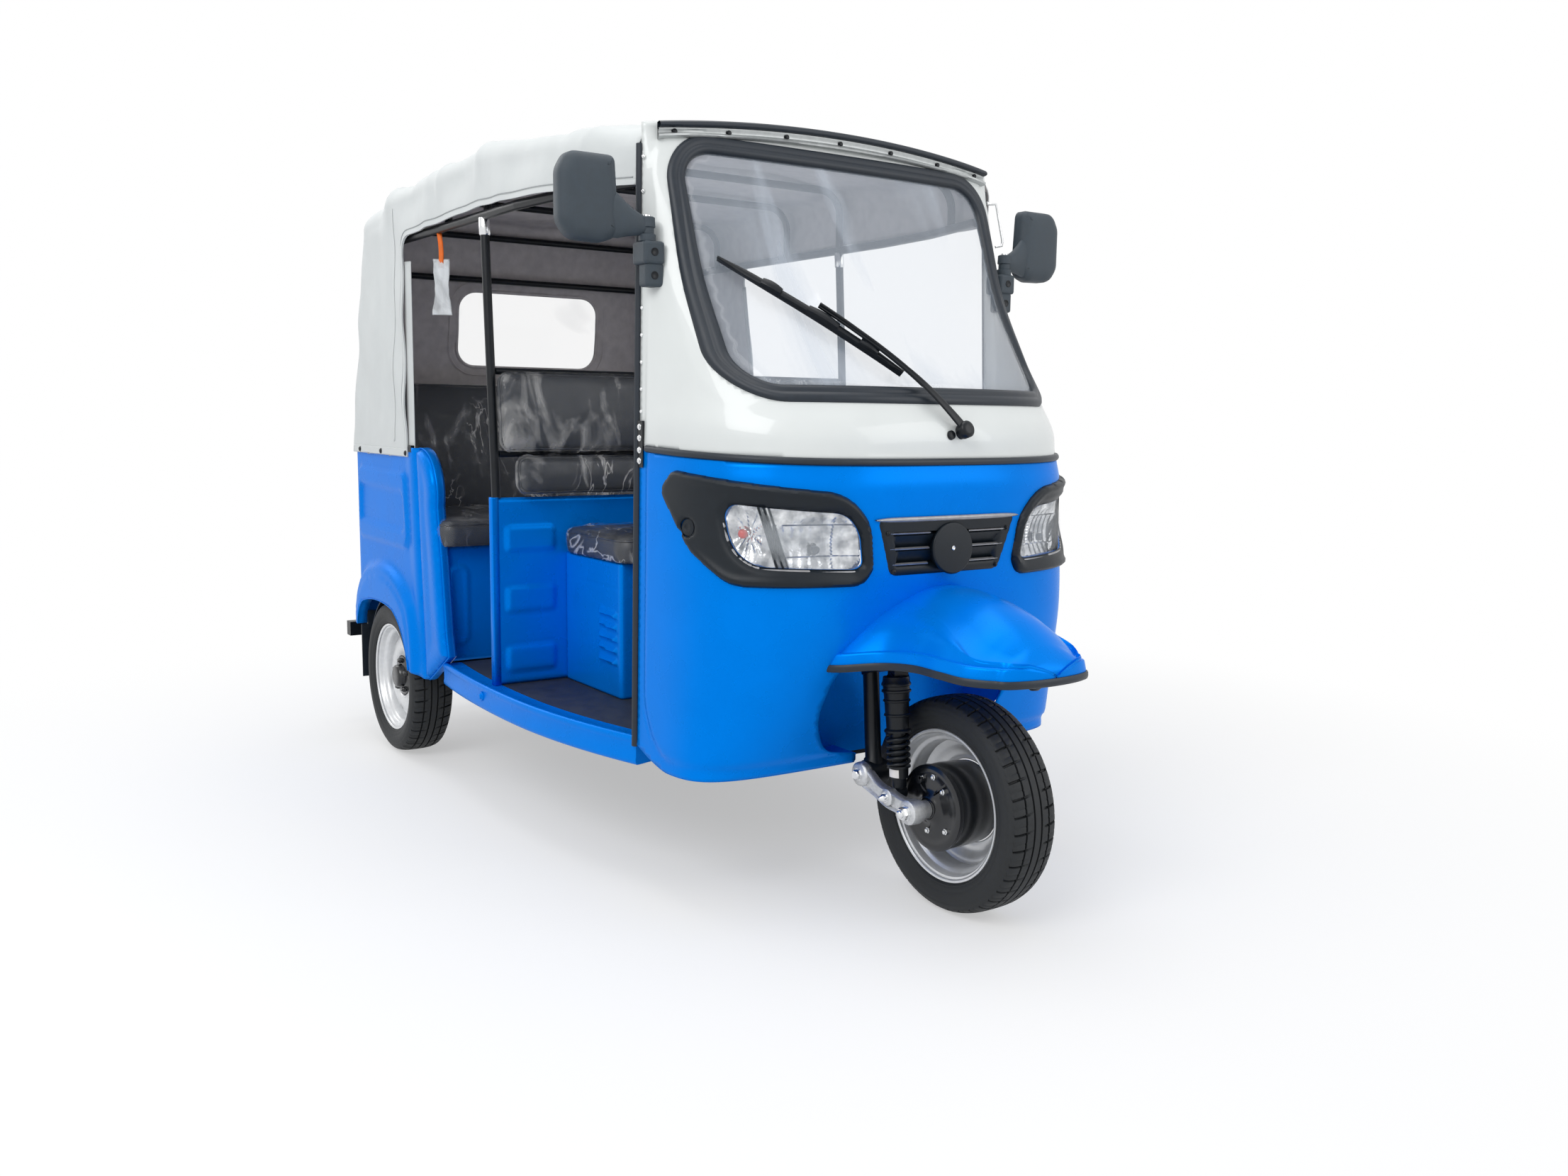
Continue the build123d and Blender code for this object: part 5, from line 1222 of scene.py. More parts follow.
WRAP_GROW, WRAP_CRINKLE = 3.0, 4.0
X, Y, Z = Vector((1, 0, 0)), Vector((0, 1, 0)), Vector((0, 0, 1))
POLE_Y, POLE_GAP = 588.0, 9.0  # POLE_GAP: from a pole's middle to the backrest's base


def leaning(low, high, half_w, thick, crown, corner_r):
    """A pad whose back runs from low to high, each (x, z), and whose face looks ahead."""
    up = Vector((high[0] - low[0], 0, high[1] - low[1]))
    size = (2 * half_w, up.length)
    up.normalize()
    return Pad((low[0], -half_w, low[1]), Y, up, Y.cross(up), size, thick, corner_r, crown)


def pole_x(z):
    """Where the leaning poles behind the driver are at a height."""
    return -113.0 - 0.0701 * (z - 865.0)


def on_poles(low_z, high_z, half_w):
    """A pad of the driver's backrest, which is held by the poles."""
    low, high = ((pole_x(z) + POLE_GAP, z) for z in (low_z, high_z))
    return leaning(low, high, half_w, 38.0, 8.0, 26.0)


seat_pad("driver_cushion_pad", "driver_cushion", [
    Pad((-102, -400, 709.6), X, Y, Z, (364, 800), 72, 44, 12),
])
seat_pad("passenger_cushion_pad", "passenger_cushion", [
    Pad((-1008, -616, 697.6), X, Y, Z, (550, 1232), 78, 44, 12),
])
seat_pad("driver_backrest_pad", "driver_backrest", [
    on_poles(992, 1196, 578.0), on_poles(875, 972, 535.0),
])
seat_pad("passenger_backrest_pad", "passenger_backrest", [
    leaning((-1098, 706), (-1180, 1172), 590.0, 74.0, 12.0, 36.0),
])


# ---------------------------------------------------------------- lamps and grille
LAMP_DIVIDE = ((415.0, 907.0), (459.0, 781.0))
DIVIDER_SECTION = [
    # across, out
    (-13, 0), (-12, 6), (-8, 6.5), (-6, 2), (-2, 2), (0, 6), (3, 6), (5, 1), (8, 1), (10, 5), (13, 5),
    (14, 0),
]
LIP_ENDS = ((336, 868), (603, 786))
LAMP_BEHIND = (400, 0, 850)  # a place behind both lamps
MAIN_BULB, TURN_BULB, LAMP_PLUG = (522.0, 815.0), (372.0, 848.0), (247.0, 854.0)
MAIN_BOWL, TURN_BOWL = (92, 66, 26), (52, 64, 20)  # half width, half height, depth
DEEPEST = 33


def circle(centre, r):
    turn = np.arange(24) * 2 * math.pi / 24
    return np.column_stack([centre[0] + r * np.cos(turn), centre[1] + r * np.sin(turn)])


def lamp_place(spots, out, side):
    """Points over the cowl from places in the lamp's view. side is -1 for the right lamp, 1 for the left."""
    spots = np.asarray(spots, float)
    return cowl.place(cowl.seen(LAMP_VIEW, spots[:, 0], spots[:, 1]) * -side, spots[:, 1], out)


def lamp_pods():
    """The black surrounds: a rolled rim, a flat face and a funnel into the lens."""
    outline = rounded(SURROUND_CORNERS, SURROUND_RADII, 5.0)
    lens, plug = rounded(LENS_CORNERS, LENS_RADII, 5.0), circle(LAMP_PLUG, 19)
    flat, faces = trimmed(outline, [lens, plug], 6.5)
    edge, rim, hole = (distance(flat, loop) for loop in (outline, lens, plug))
    roll = np.sqrt(1 - ((12 - np.minimum(edge, 12)) / 12) ** 2)
    lift = 5.0 * np.exp(-((edge - 13) / 8.0) ** 2) * smoothstep(170, 330, flat[:, 0])
    out = 2 + (14 + lift) * roll - 10 * smoothstep(18, 0, rim) ** 1.5 - 4 * smoothstep(5, 0, hole)
    for side, word in SIDES:
        pod = add_mesh(f"lamp_pod_{word}", lamp_place(flat, out, side), faces, black_trim)
        thicken(face_outwards(pod, (500, 0, 850)), 3.0)
        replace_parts(pod, "headlight_surrounds")


def lamp_depth(spots):
    """How deep the reflectors lie: a main bowl with upright flutes and a turn lamp with rays."""
    u, z = spots[:, 0], spots[:, 1]
    (u0, z0), (u1, z1) = LAMP_DIVIDE
    split = u0 + (z0 - z) * (u1 - u0) / (z0 - z1)
    main_w, main_h, main_deep = MAIN_BOWL
    turn_w, turn_h, turn_deep = TURN_BOWL
    main = np.hypot((u - MAIN_BULB[0]) / main_w, (z - MAIN_BULB[1] - 8) / main_h)
    turn = np.hypot((u - TURN_BULB[0] - 12) / turn_w, (z - TURN_BULB[1]) / turn_h)
    flutes = 3.2 * np.abs(((u - 500) / 19) % 1 - 0.5) + 5.0 * (z < 798) - 4.0 * (z > 866) + 3.0 * (u > 556)
    rays = 3.0 * np.abs(np.sin(6 * np.arctan2(z - TURN_BULB[1], u - TURN_BULB[0] - 12)))
    bowl = np.where(u > split, main_deep * (1 - np.minimum(main, 1) ** 2) + flutes,
                    turn_deep * (1 - np.minimum(turn, 1) ** 2) + rays)
    return np.clip(bowl, 0, DEEPEST) * smoothstep(0, 9, np.abs(u - split))


def lamp_glass(side, word, lens):
    """The reflector and the bulging clear lens over it."""
    dish, faces = trimmed(offset_loop(lens, -2.5), [], 4.4)
    bowl = add_mesh(f"lamp_bowl_{word}", lamp_place(dish, 1.5 - lamp_depth(dish), side), faces, reflector,
                    smooth=False)
    thicken(face_outwards(bowl, LAMP_BEHIND), 1.5)
    glass, faces = trimmed(offset_loop(lens, -1.0), [], 10.0)
    bulge = 5.0 + 4.0 * smoothstep(0, 45, distance(glass, lens))
    pane = add_mesh(f"lamp_lens_{word}", lamp_place(glass, bulge, side), faces, lamp_lens)
    thicken(face_outwards(pane, LAMP_BEHIND), 1.5)
    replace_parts(pane, "headlights")
    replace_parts(bowl, "headlights")


def lamp_divider(side, word):
    """The ribbed strip between the main lamp and the turn lamp."""
    (u0, z0), (u1, z1) = LAMP_DIVIDE
    t = np.linspace(0, 1, 14)
    rows = []
    for shift, out in DIVIDER_SECTION:
        spots = np.column_stack([u0 + shift + (u1 - u0) * t, z0 + 6 + (z1 - z0 - 12) * t])
        rows.append(lamp_place(spots, float(out), side))
    thicken(add_grid(f"lamp_divider_{word}", rows, black_trim), 1.2)


def lamp_lip(side, word, lens):
    """The grey lip along the lens's lower edge."""
    start, end = (int(np.argmin(np.linalg.norm(lens - spot, axis=1))) for spot in LIP_ENDS)
    kept = np.arange(start, start + (end - start) % len(lens)) % len(lens)
    rows = [
        lamp_place(offset_loop(lens, inset)[kept], out, side)
        for inset, out in ((0, 1), (-2, 7), (-5, 9.5), (-8, 9.5), (-11, 8))
    ]
    thicken(add_grid(f"lamp_lip_{word}", rows, grey_lip_and_highlight), 1.5)


def lamp_turned(pile, side, centre, out, span, profile, segments):
    """A turned piece that looks ahead from a place in the lamp's view."""
    at = lamp_place([centre], float(out), side)[0]
    pile.turned(at, lamp_place([centre], float(out + span), side)[0] - at, profile, segments)


def lamp_insides():
    lens = rounded(LENS_CORNERS, LENS_RADII, 5.0)
    for side, word in SIDES:
        lamp_glass(side, word, lens)
        lamp_divider(side, word)
        lamp_lip(side, word, lens)
        small, spark = Pile(), Pile()
        for centre, r, out in ((MAIN_BULB, 9.0, -8), (LAMP_PLUG, 18.5, 9)):
            cap = [(-8, r), (2, r), (3, r * 0.8), (3.2, r * 0.5), (2.2, r * 0.45)]
            lamp_turned(small, side, centre, out, 10, cap, 28)
        small.make(f"lamp_caps_{word}", black_trim)
        lamp_turned(spark, side, TURN_BULB, -14, 14, [(0, 10), (8, 10), (12, 8), (14, 4)], 20)
        spark.make(f"turn_bulb_{word}", lamp_amber)


LOUVRE_Z = (846.0, 812.0, 778.0)
SLAT_PITCH = 34.0
BAR_SECTION = ((-3, 3), (-1.5, 8.5), (1, 9.5), (3, 4))  # up, out


def on_front(y, z, out):
    """Points over the cowl from places in the front view: rows for arrays, one point for numbers."""
    points = cowl.place(cowl.seen(FRONT_VIEW, y, z), np.atleast_1d(np.asarray(z, float)), out)
    return points if np.ndim(y) else points[0]


def grille_face():
    """The louvred face with its frame."""
    outline = rounded(GRILLE_CORNERS, GRILLE_RADII, 6.0)
    flat, faces = trimmed(outline, [], 5.5)
    y, z = flat.T
    from_edge = distance(flat, outline)
    frame_w = 30.0 - 10.0 * smoothstep(800, 770, z)
    inner = smoothstep(frame_w, frame_w + 4, from_edge)
    steps = (z - 744.0) % SLAT_PITCH / SLAT_PITCH
    slats = 13.0 * np.where(steps > 0.86, (1 - steps) / 0.14, steps / 0.86) - 8.0
    out = 9.0 - 7.0 * smoothstep(7, 0, from_edge) + inner * (slats - 6.0)
    face = add_mesh("grille_face", on_front(y, z, out), faces, black_trim)
    thicken(face_outwards(face, (500, 0, 800)), 3.0)
    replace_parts(face, "grille")


def grille_lip():
    """The lip over the grille's upper edge, which thins out to both ends; its grey is a painted highlight
    along the edge.
    """
    y = np.linspace(-206, 206, 61)
    half_h = 5.5 * np.sqrt(np.clip(1 - (np.abs(y) / 207) ** 8, 0.02, 1))
    turns = [2 * math.pi * k / 8 for k in range(9)]
    rows = [on_front(y, 877 + half_h * math.sin(a), 10 + 4 * math.cos(a)) for a in turns]
    add_grid("grille_lip", rows, grey_lip_and_highlight)


def grille_slat_highlights():
    """Painted highlights: a grey strip along the upper edge of each slat, at both sides of the disc."""
    pile = Pile()
    for z_bar in LOUVRE_Z:
        end = 176 - (850 - z_bar) * 0.3
        for low, high in ((-end, -56), (56, end)):
            y = np.linspace(low, high, 16)
            pile.grid([on_front(y, np.full(16, z_bar + up), out) for up, out in BAR_SECTION])
    pile.make("grille_slat_highlight_strips", grey_lip_and_highlight)


def grille_fittings():
    """The blank disc in the middle with its rivet, and the screws."""
    disc, rivet, screws = Pile(), Pile(), Pile()
    nose = on_front(4.0, 808.0, 0.0)
    disc.turned(nose, (1, 0, 0.04), [(-6, 50), (12, 52), (13, 57), (18, 58), (20.5, 56.5), (21, 54)], 72)
    disc.make("grille_disc", black_trim)
    rivet.turned(nose + (21, 0, 1), (1, 0, 0.04), [(-2, 5), (1, 5), (2, 3.5), (1.2, 2.5)], 18)
    rivet.make("grille_rivet", bright_steel)
    for y, z in ((-173, 848), (173, 848), (-150, 764), (150, 764)):
        screws.bolt(on_front(float(y), float(z), 9.0), (1, y / 400, 0), 4.2, 3.0, 8)
    screws.make("grille_screws", black_paint)


lamp_pods()
lamp_insides()
grille_face()
grille_lip()
grille_slat_highlights()
grille_fittings()


# ---------------------------------------------------------------- front fender
FENDER_ROWS = [
    # x, half_w, edge_z, crest_z, crease_y, crease_z
    (930, 299, 551, 716, 112, 702), (1010, 268, 556, 723, 110, 698), (1075, 212, 566, 726, 108, 688),
    (1160, 184, 573, 722, 112, 670), (1240, 177, 571, 704, 130, 636), (1305, 161, 567, 673, 140, 603),
    (1352, 124, 566, 638, 100, 594), (1394, 70, 567, 602, 44, 580),
]
FENDER_REAR, NOSE_FROM, NOSE_TO = 930.0, 1352.0, 1394.0
EDGING_SECTION = ((-1, 6), (3, 6), (5, 3), (5.5, -4), (4, -9), (0, -11), (-4, -8), (-4, 3))  # out, up
FENDER_BAND_H, FENDER_BAND_IN = 31.0, 15.0


def fender_section(x):
    """The fender's section: a lip band, a step, a flank, a crease and a crowned middle facet."""
    rows = np.array(FENDER_ROWS, float)
    w, edge_z, crest_z, crease_y, crease_z = (
        float(smooth_through(x, rows[:, 0], rows[:, k])) for k in range(1, 6)
    )
    if x > NOSE_FROM:
        left = math.sqrt(max(1 - ((x - NOSE_FROM) / (NOSE_TO - NOSE_FROM)) ** 2, 0.0004))
        w, crease_y = 124 * left, 100 * left
        crest_z = edge_z + (crest_z - edge_z) * left**0.35
        crease_z = edge_z + (crease_z - edge_z) * left**0.35
    tall = min(FENDER_BAND_H, 0.8 * (crest_z - edge_z))
    into = min(FENDER_BAND_IN, 0.3 * w)
    step_y = w - into
    crease_y = min(crease_y, step_y - 0.04 * w)
    crease_z = max(crease_z, edge_z + tall + 2)
    half = [
        (w, edge_z), (w + 0.1 * into, edge_z + 0.12 * tall), (w - 0.05 * into, edge_z + 0.4 * tall),
        (w - 0.3 * into, edge_z + 0.8 * tall), (w - 0.42 * into, edge_z + 0.93 * tall),
        (w - 0.65 * into, edge_z + 0.99 * tall), (step_y, edge_z + tall),
    ]
    for t in (0.25, 0.5, 0.75, 0.94):
        swell = (3.0 + 0.055 * w) * math.sin(math.pi * t)
        half.append((step_y + t * (crease_y - step_y), half[6][1] + t * (crease_z - half[6][1]) + swell))
    half += [(crease_y, crease_z + 1.5), (0.95 * crease_y, crease_z + 2)]
    for t in (0.25, 0.5, 0.75):
        rise = (crest_z - crease_z - 2) * math.sin(math.pi / 2 * t) ** 0.9
        half.append(((0.95 - 0.95 * t) * crease_y, crease_z + 2 + rise))
    half.append((0, crest_z))
    return [(x, -y, z) for y, z in half] + [(x, y, z) for y, z in half[-2::-1]]


def fender():
    ahead = FENDER_REAR + (NOSE_TO - FENDER_REAR) * np.sin(np.linspace(0, math.pi / 2, 72))
    grid = np.array([fender_section(x) for x in ahead])
    skin = add_grid("fender_skin", grid, blue_paint)
    thicken(face_outwards(skin, (1120, 0, 450)), 4.0)
    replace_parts(skin, "front_fender")
    edge = filled([*grid[:, 0], *grid[::-1, -1]], 9.0)
    away = unit(np.cross(np.gradient(edge, axis=0), (0, 0, 1.0)))
    away *= np.sign(np.sum(away * (edge - (1100, 0, 560)), axis=1))[:, None]
    rings = [edge + away * out + np.array((0, 0, up)) for out, up in EDGING_SECTION]
    add_grid("fender_edging", rings, gasket_rubber, close_rows=True)
    bump = Pile()
    stop = [(0, 20), (10, 20), (14, 14), (22, 13), (26, 17), (36, 16), (42, 9)]
    bump.turned((1330, 0, 578), (0.1, 0, -1), stop, 24)
    bump.make("fender_bump_stop", gasket_rubber)


fender()


# ---------------------------------------------------------------- wheels
AXLE_Z, REAR_WHEEL_Y = 242.0, 580.0
WHEELS = [
    # word, body, x, y, out: the side its disc faces, disc, hub_r
    ("front", "front_wheel", 1120.0, 0.0, 1, 20.0, 90.0),
    ("right", "rear_wheel_right", -896.0, -REAR_WHEEL_Y, -1, 12.0, 62.0),
    ("left", "rear_wheel_left", -896.0, REAR_WHEEL_Y, 1, 12.0, 62.0),
]
TYRE_SIDE = [
    # radius, half width, from the bead to the tread's shoulder
    (160.6, 43), (168, 46), (171.2, 48), (172, 54), (176, 58.5), (178, 58.4), (180, 60), (188, 63.2),
    (190, 63), (192, 64.4), (200, 66.4), (208, 66.9), (214, 66), (216, 65.2), (218, 65.6), (224, 62.5),
    (229, 59),
]
TREAD = [
    # half width, radius, groove depth, how much of a sipe's depth it takes
    (58, 231.5, 0, 1), (55, 234, 0, 1), (50, 236.8, 0, 1), (44, 238.6, 0, 1), (38, 240, 0, 1),
    (34.4, 240.6, 0, 1), (34, 240.6, 7, 0), (30, 241, 7, 0), (29.6, 241, 0, 0.8), (24, 241.5, 0, 0.6),
    (18, 241.7, 0, 0.3), (12.4, 241.9, 0, 0), (12, 241.9, 7, 0), (8, 242, 7, 0), (7.6, 242, 0, 0),
    (0, 242, 0, 0),
]
PITCHES = 40
SIPE_DEPTH = 6.5
SIPE_TURNS = [
    # share of a pitch, share of the depth
    (0.0, 0.0), (0.05, 1.0), (0.11, 1.0), (0.16, 0.0), (0.42, 0.0), (0.5, 0.22), (0.58, 0.0), (0.8, 0.0),
]
RIM_HALF = [
    # radius, half width, from the outer flange to the well
    (163, 53), (167, 55.5), (170.5, 55.5), (172, 53), (171, 49), (167, 47), (161, 45.5), (158.5, 40),
    (157.5, 33), (154, 29.5), (149, 28), (146.5, 24), (145, 12),
]
DISC_SECTION = [(145, -14), (142, -10), (134, -8), (126, -3), (118, 3), (108, 7), (98, 8)]  # radius, along
FRONT_HUB = [
    # along, radius
    (-78, 60), (-77, 92), (-60, 95), (-40, 96), (-20, 95), (4, 94), (26, 92), (34, 80), (38, 40), (48, 34),
    (56, 30), (60, 20),
]
REAR_HUB = [(-14, 64), (14, 64), (20, 62), (24, 50), (26, 40), (36, 37), (44, 34), (46, 29), (47, 12)]
DISC_SEGMENTS = 96
WINDOW_RINGS, WINDOW_COLUMNS, WINDOW_PITCH = (3, 4), (3, 4, 5, 6), 16  # the openings in a rear disc


def wheel_node(part, word):
    return f"front_{part}" if word == "front" else f"rear_{part}_{word}"


def tyre(word, body, x, y):
    side = [(-w, r, 0, 0) for r, w in TYRE_SIDE] + [(-w, r, g, s) for w, r, g, s in TREAD]
    section = side + [(-w, r, g, s) for w, r, g, s in side[-2::-1]]
    grid = []
    for pitch in range(PITCHES):
        for turn, sipe in SIPE_TURNS:
            ring = []
            for w, r, groove, takes in section:
                slant = 0.22 * math.copysign(min(abs(w), 58) / 58, w) if takes else 0
                a = 2 * math.pi * (pitch + turn + slant) / PITCHES
                low = r - max(groove, SIPE_DEPTH * sipe * takes)
                ring.append((x + low * math.cos(a), y + w, AXLE_Z + low * math.sin(a)))
            grid.append(ring)
    cover = add_grid(f"tyre_{word}", grid, tyre_rubber, body, close_rows=True, close_columns=True)
    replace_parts(cover, wheel_node("tyre", word))


def wheel_rim(word, body, x, y):
    barrel = RIM_HALF + [(r, -w) for r, w in RIM_HALF[::-1]]
    outer = add_grid(f"rim_{word}", lathe(barrel, (x, y, AXLE_Z), 96), rim_silver, body, close_columns=True)
    thicken(face_outwards(outer, (x, y, AXLE_Z)), 3.5)
    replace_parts(outer, wheel_node("rim", word))


def wheel_disc(word, body, x, y, out, disc, hub_r):
    """The dished disc. A rear one has openings round it."""
    dish = [(r, disc + along) for r, along in DISC_SECTION] + [(hub_r + 4, disc + 6)]
    points = lathe([(r, out * along) for r, along in dish], (x, y, AXLE_Z), DISC_SEGMENTS).reshape(-1, 3)
    faces = []
    for ring in range(len(dish) - 1):
        for k in range(DISC_SEGMENTS):
            if word != "front" and ring in WINDOW_RINGS and k % WINDOW_PITCH in WINDOW_COLUMNS:
                continue
            n = (k + 1) % DISC_SEGMENTS
            low, high = ring * DISC_SEGMENTS, (ring + 1) * DISC_SEGMENTS
            faces.append((low + k, low + n, high + n, high + k))
    thicken(add_mesh(f"rim_disc_{word}", points, faces, rim_silver, body), 3.5, 0.0)


def round_axle(x, y, r, count, start):
    """Evenly spaced places round a wheel's axle."""
    turns = [2 * math.pi * (k + start) / count for k in range(count)]
    return [(x + r * math.cos(a), y, AXLE_Z + r * math.sin(a)) for a in turns]


def wheel_hub(word, body, x, y, out):
    hub = Pile()
    if word == "front":
        hub.turned((x, y, AXLE_Z), (0, 1, 0), FRONT_HUB, 72)
    else:
        hub.turned((x, y, AXLE_Z), (0, out, 0), REAR_HUB, 48)
        for at in round_axle(x, y + out * 23, 50, 5, 0.25):
            hub.turned(at, (0, out, 0), [(0, 9), (8, 9), (10, 7), (14, 5)], 6)
    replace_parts(hub.make(f"hub_{word}", hub_black, body), wheel_node("hub", word))


def wheel_nuts(word, body, x, y, out):
    nuts = Pile()
    for at in round_axle(x, y + 37, 62, 4, 0.3):
        nuts.turned(at, (0, out, 0), [(-2, 10), (2, 10), (2.5, 7), (9, 7), (10, 5)], 12)
    nuts.make(f"wheel_nuts_{word}", bright_steel, body, "silver_steel")


for wheel in WHEELS:
    tyre(*wheel[:4])
    wheel_rim(*wheel[:4])
    wheel_disc(*wheel)
    wheel_hub(*wheel[:5])
    if wheel[0] == "front":
        wheel_nuts(*wheel[:5])


# ---------------------------------------------------------------- front suspension
AXLE_X = 1120.0
SHOCK_TOP, SHOCK_LOW = np.array((1025.0, -116.0, 500.0)), np.array((1044.0, -116.0, 280.0))
SPRING_TURNS, SPRING_R = 5.2, 23.5
CANISTER = [
    # along, radius
    (-26, 16), (-24, 29), (-12, 31), (-9, 33), (-5, 33), (-3, 30), (4, 30), (6, 33), (10, 33), (12, 29),
    (26, 28), (28, 30.5), (31, 30.5), (33, 27.5), (58, 27), (60, 29.5), (63, 29.5), (65, 26), (92, 25),
    (96, 30), (100, 30), (102, 20),
]
LINK_KNOTS = [
    # x, z, half height
    (946, 287, 25), (1000, 264, 17), (1044, 253, 20), (1086, 247, 19), (1120, 242, 26),
]
LINK_SECTION = [
    # share of the half height, y
    (-1, -132), (-1.06, -141), (-1, -150), (-0.86, -153), (-0.7, -150), (-0.6, -146), (0.6, -146),
    (0.7, -150), (0.86, -153), (1, -150), (1.06, -141), (1, -132),
]
LINK_BOSSES = [
    # x, y, z, profile along y, segments
    (946, -157, 287, [(0, 22), (3, 27), (8, 28), (26, 28)], 36),
    (AXLE_X, -158, AXLE_Z, [(0, 22), (3, 27), (9, 28), (28, 28)], 36),
    (1044, -156, 257, [(0, 15), (3, 19), (24, 19)], 30),
    (AXLE_X, -131, AXLE_Z, [(0, 25), (10, 25), (12, 21), (30, 20), (31, 15), (45, 15)], 36),
    (AXLE_X, -86, AXLE_Z, [(0, 10), (146, 10)], 20),
]
LINK_NUTS = [
    # x, y, z, profile away from the vehicle, segments
    (AXLE_X, -158, AXLE_Z, [(-3, 18), (2, 18), (2.2, 15), (14, 15), (17, 13)], 6),
    (AXLE_X, -158, AXLE_Z, [(12, 9), (22, 9), (24, 7)], 20),
    (1044, -156, 257, [(-2, 12), (1, 12), (1.2, 9), (9, 9), (11, 7), (16, 5), (18, 3)], 12),
    (946, -157, 287, [(-2, 15), (1, 15), (1.2, 12), (9, 12), (11, 10)], 6),
]
BRAKE_SECTION = [
    # along, radius
    (-10, 24), (-8, 30), (-4, 33), (-2, 46), (0, 60), (0.5, 74), (-2, 80), (-1.5, 90), (1, 96), (8, 97),
    (11, 96), (12, 90),
]


def shock():
    """A ribbed canister over a coil spring, with a blank label."""
    down = unit(SHOCK_LOW - SHOCK_TOP)
    body = Pile()
    body.turned(SHOCK_TOP, down, CANISTER, 40)
    body.turned(SHOCK_TOP, down, [(100, 17), (222, 17), (228, 14)], 28)
    body.turned(SHOCK_TOP, down, [(176, 27), (180, 27), (181, 22), (204, 21), (206, 15)], 32)
    body.turned(SHOCK_LOW - (0, 13, 16), (0, 1, 0), [(0, 15), (26, 15)], 28)
    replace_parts(body.make("shock_body", black_paint, "steering"), "shock_absorber")
    across, up = (np.array(v) for v in frame_about(down))
    path = []
    for t in np.linspace(0, 1, 150):
        a = 2 * math.pi * SPRING_TURNS * t
        path.append(SHOCK_TOP + down * (103 + 72 * t) + (across * math.cos(a) + up * math.sin(a)) * SPRING_R)
    add_tube("shock_spring", path, 4.2, black_paint, "steering")
    round_front = np.array([(math.cos(a), math.sin(a), 0) for a in np.linspace(-1.9, -0.7, 12)])
    label = [SHOCK_TOP + down * along + 22.6 * round_front for along in (182, 200)]
    add_grid("shock_label", label, label_white, "steering")


def fork_leg():
    leg_top, pivot = np.array((926.0, -112.0, 545.0)), np.array((946.0, -112.0, 287.0))
    pile = Pile()
    along = pivot - leg_top
    span = np.linalg.norm(along)
    leg = [(0, 22), (4, 22.5), (20, 22.5), (24, 18.6), (span - 34, 18.6), (span - 30, 22), (span, 22)]
    pile.turned(leg_top, along, leg, 32)
    pile.turned(pivot - (0, 30, 0), (0, 1, 0), [(0, 22), (3, 28), (8, 30), (52, 30), (57, 28), (60, 22)], 36)
    pile.turned(pivot - (0, 46, 0), (0, 1, 0), [(0, 9), (9, 9), (9.5, 12), (15, 12)], 6)
    pile.make("fork_leg_cover", black_paint, "steering")


def link_arm():
    """The cast link: ribbed along its edges, with round bosses at its pivots and nuts."""
    at, share = np.linspace(0, 1, 36), np.linspace(0, 1, len(LINK_KNOTS))
    x, z, half_h = (smooth_through(at, share, values) for values in zip(*LINK_KNOTS))
    rows = [np.column_stack([x + 0.25 * a * half_h, np.full(36, y), z + a * half_h]) for a, y in LINK_SECTION]
    arm = add_grid("link_arm", rows, cast_alloy, "steering", close_rows=True)
    bosses, nuts = Pile(), Pile()
    for *place, profile, segments in LINK_BOSSES:
        bosses.turned(place, (0, 1, 0), profile, segments)
    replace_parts(bosses.make("link_bosses", cast_alloy, "steering"), "front_link")
    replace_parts(arm, "front_link")
    for *place, profile, segments in LINK_NUTS:
        nuts.turned(place, (0, -1, 0), profile, segments)
    nuts.make("link_nuts", bright_steel, "steering", "cast_alloy")


def brake_cover():
    pile, bolts = Pile(), Pile()
    section = [(r, -88 + along) for along, r in BRAKE_SECTION]
    pile.grid(lathe(section, (AXLE_X, 0, AXLE_Z), 72), close_columns=True)
    pile.turned((AXLE_X, -100, AXLE_Z), (0, 1, 0), [(0, 22), (3, 24), (16, 25)], 32)
    pile.turned((AXLE_X - 34, -96, AXLE_Z + 58), (0, 1, 0), [(0, 10), (9, 11)], 20)
    ts = np.linspace(0, 1, 10)
    for side in (-1, 1):
        x, y, z = AXLE_X + side * (8 + 40 * ts), -90 - 5 * np.sin(math.pi * ts), AXLE_Z + 30 + 34 * ts
        pile.grid([np.column_stack([x, y, z + 3 * math.cos(a)]) for a in np.linspace(0, math.pi, 5)])
    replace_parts(pile.make("brake_cover", hub_black, "steering"), "brake_plate")
    for dx, dz in ((8, 72), (40, 46), (52, -40), (-6, -52), (-40, -30), (-30, 62)):
        place = (AXLE_X + dx, -90, AXLE_Z + dz)
        bolts.turned(place, (0, -1, 0), [(-2, 7), (1, 7), (1.2, 5), (5, 5), (6, 3.5)], 6)
    bolts.make("brake_bolts", bright_steel, "steering", "cast_alloy")


shock()
fork_leg()
link_arm()
brake_cover()


# ---------------------------------------------------------------- roof edge, mirrors and wiper
GUTTER_SECTION = [
    # out, up
    (1, -2), (10, -3), (16, -1), (17.5, 3), (15, 6), (11, 9), (11, 15), (14, 18), (14, 21), (9, 23), (1, 23),
]
ROOF_RUBBER_SECTION = [(1, 22), (16, 21), (23, 22.5), (26, 26), (25.5, 31), (22, 35), (14, 37), (1, 36)]


def gutter_z(y):
    """The height of the gutter over the windscreen."""
    return 1731.0 - 34.0 * (y / 508.0) ** 2


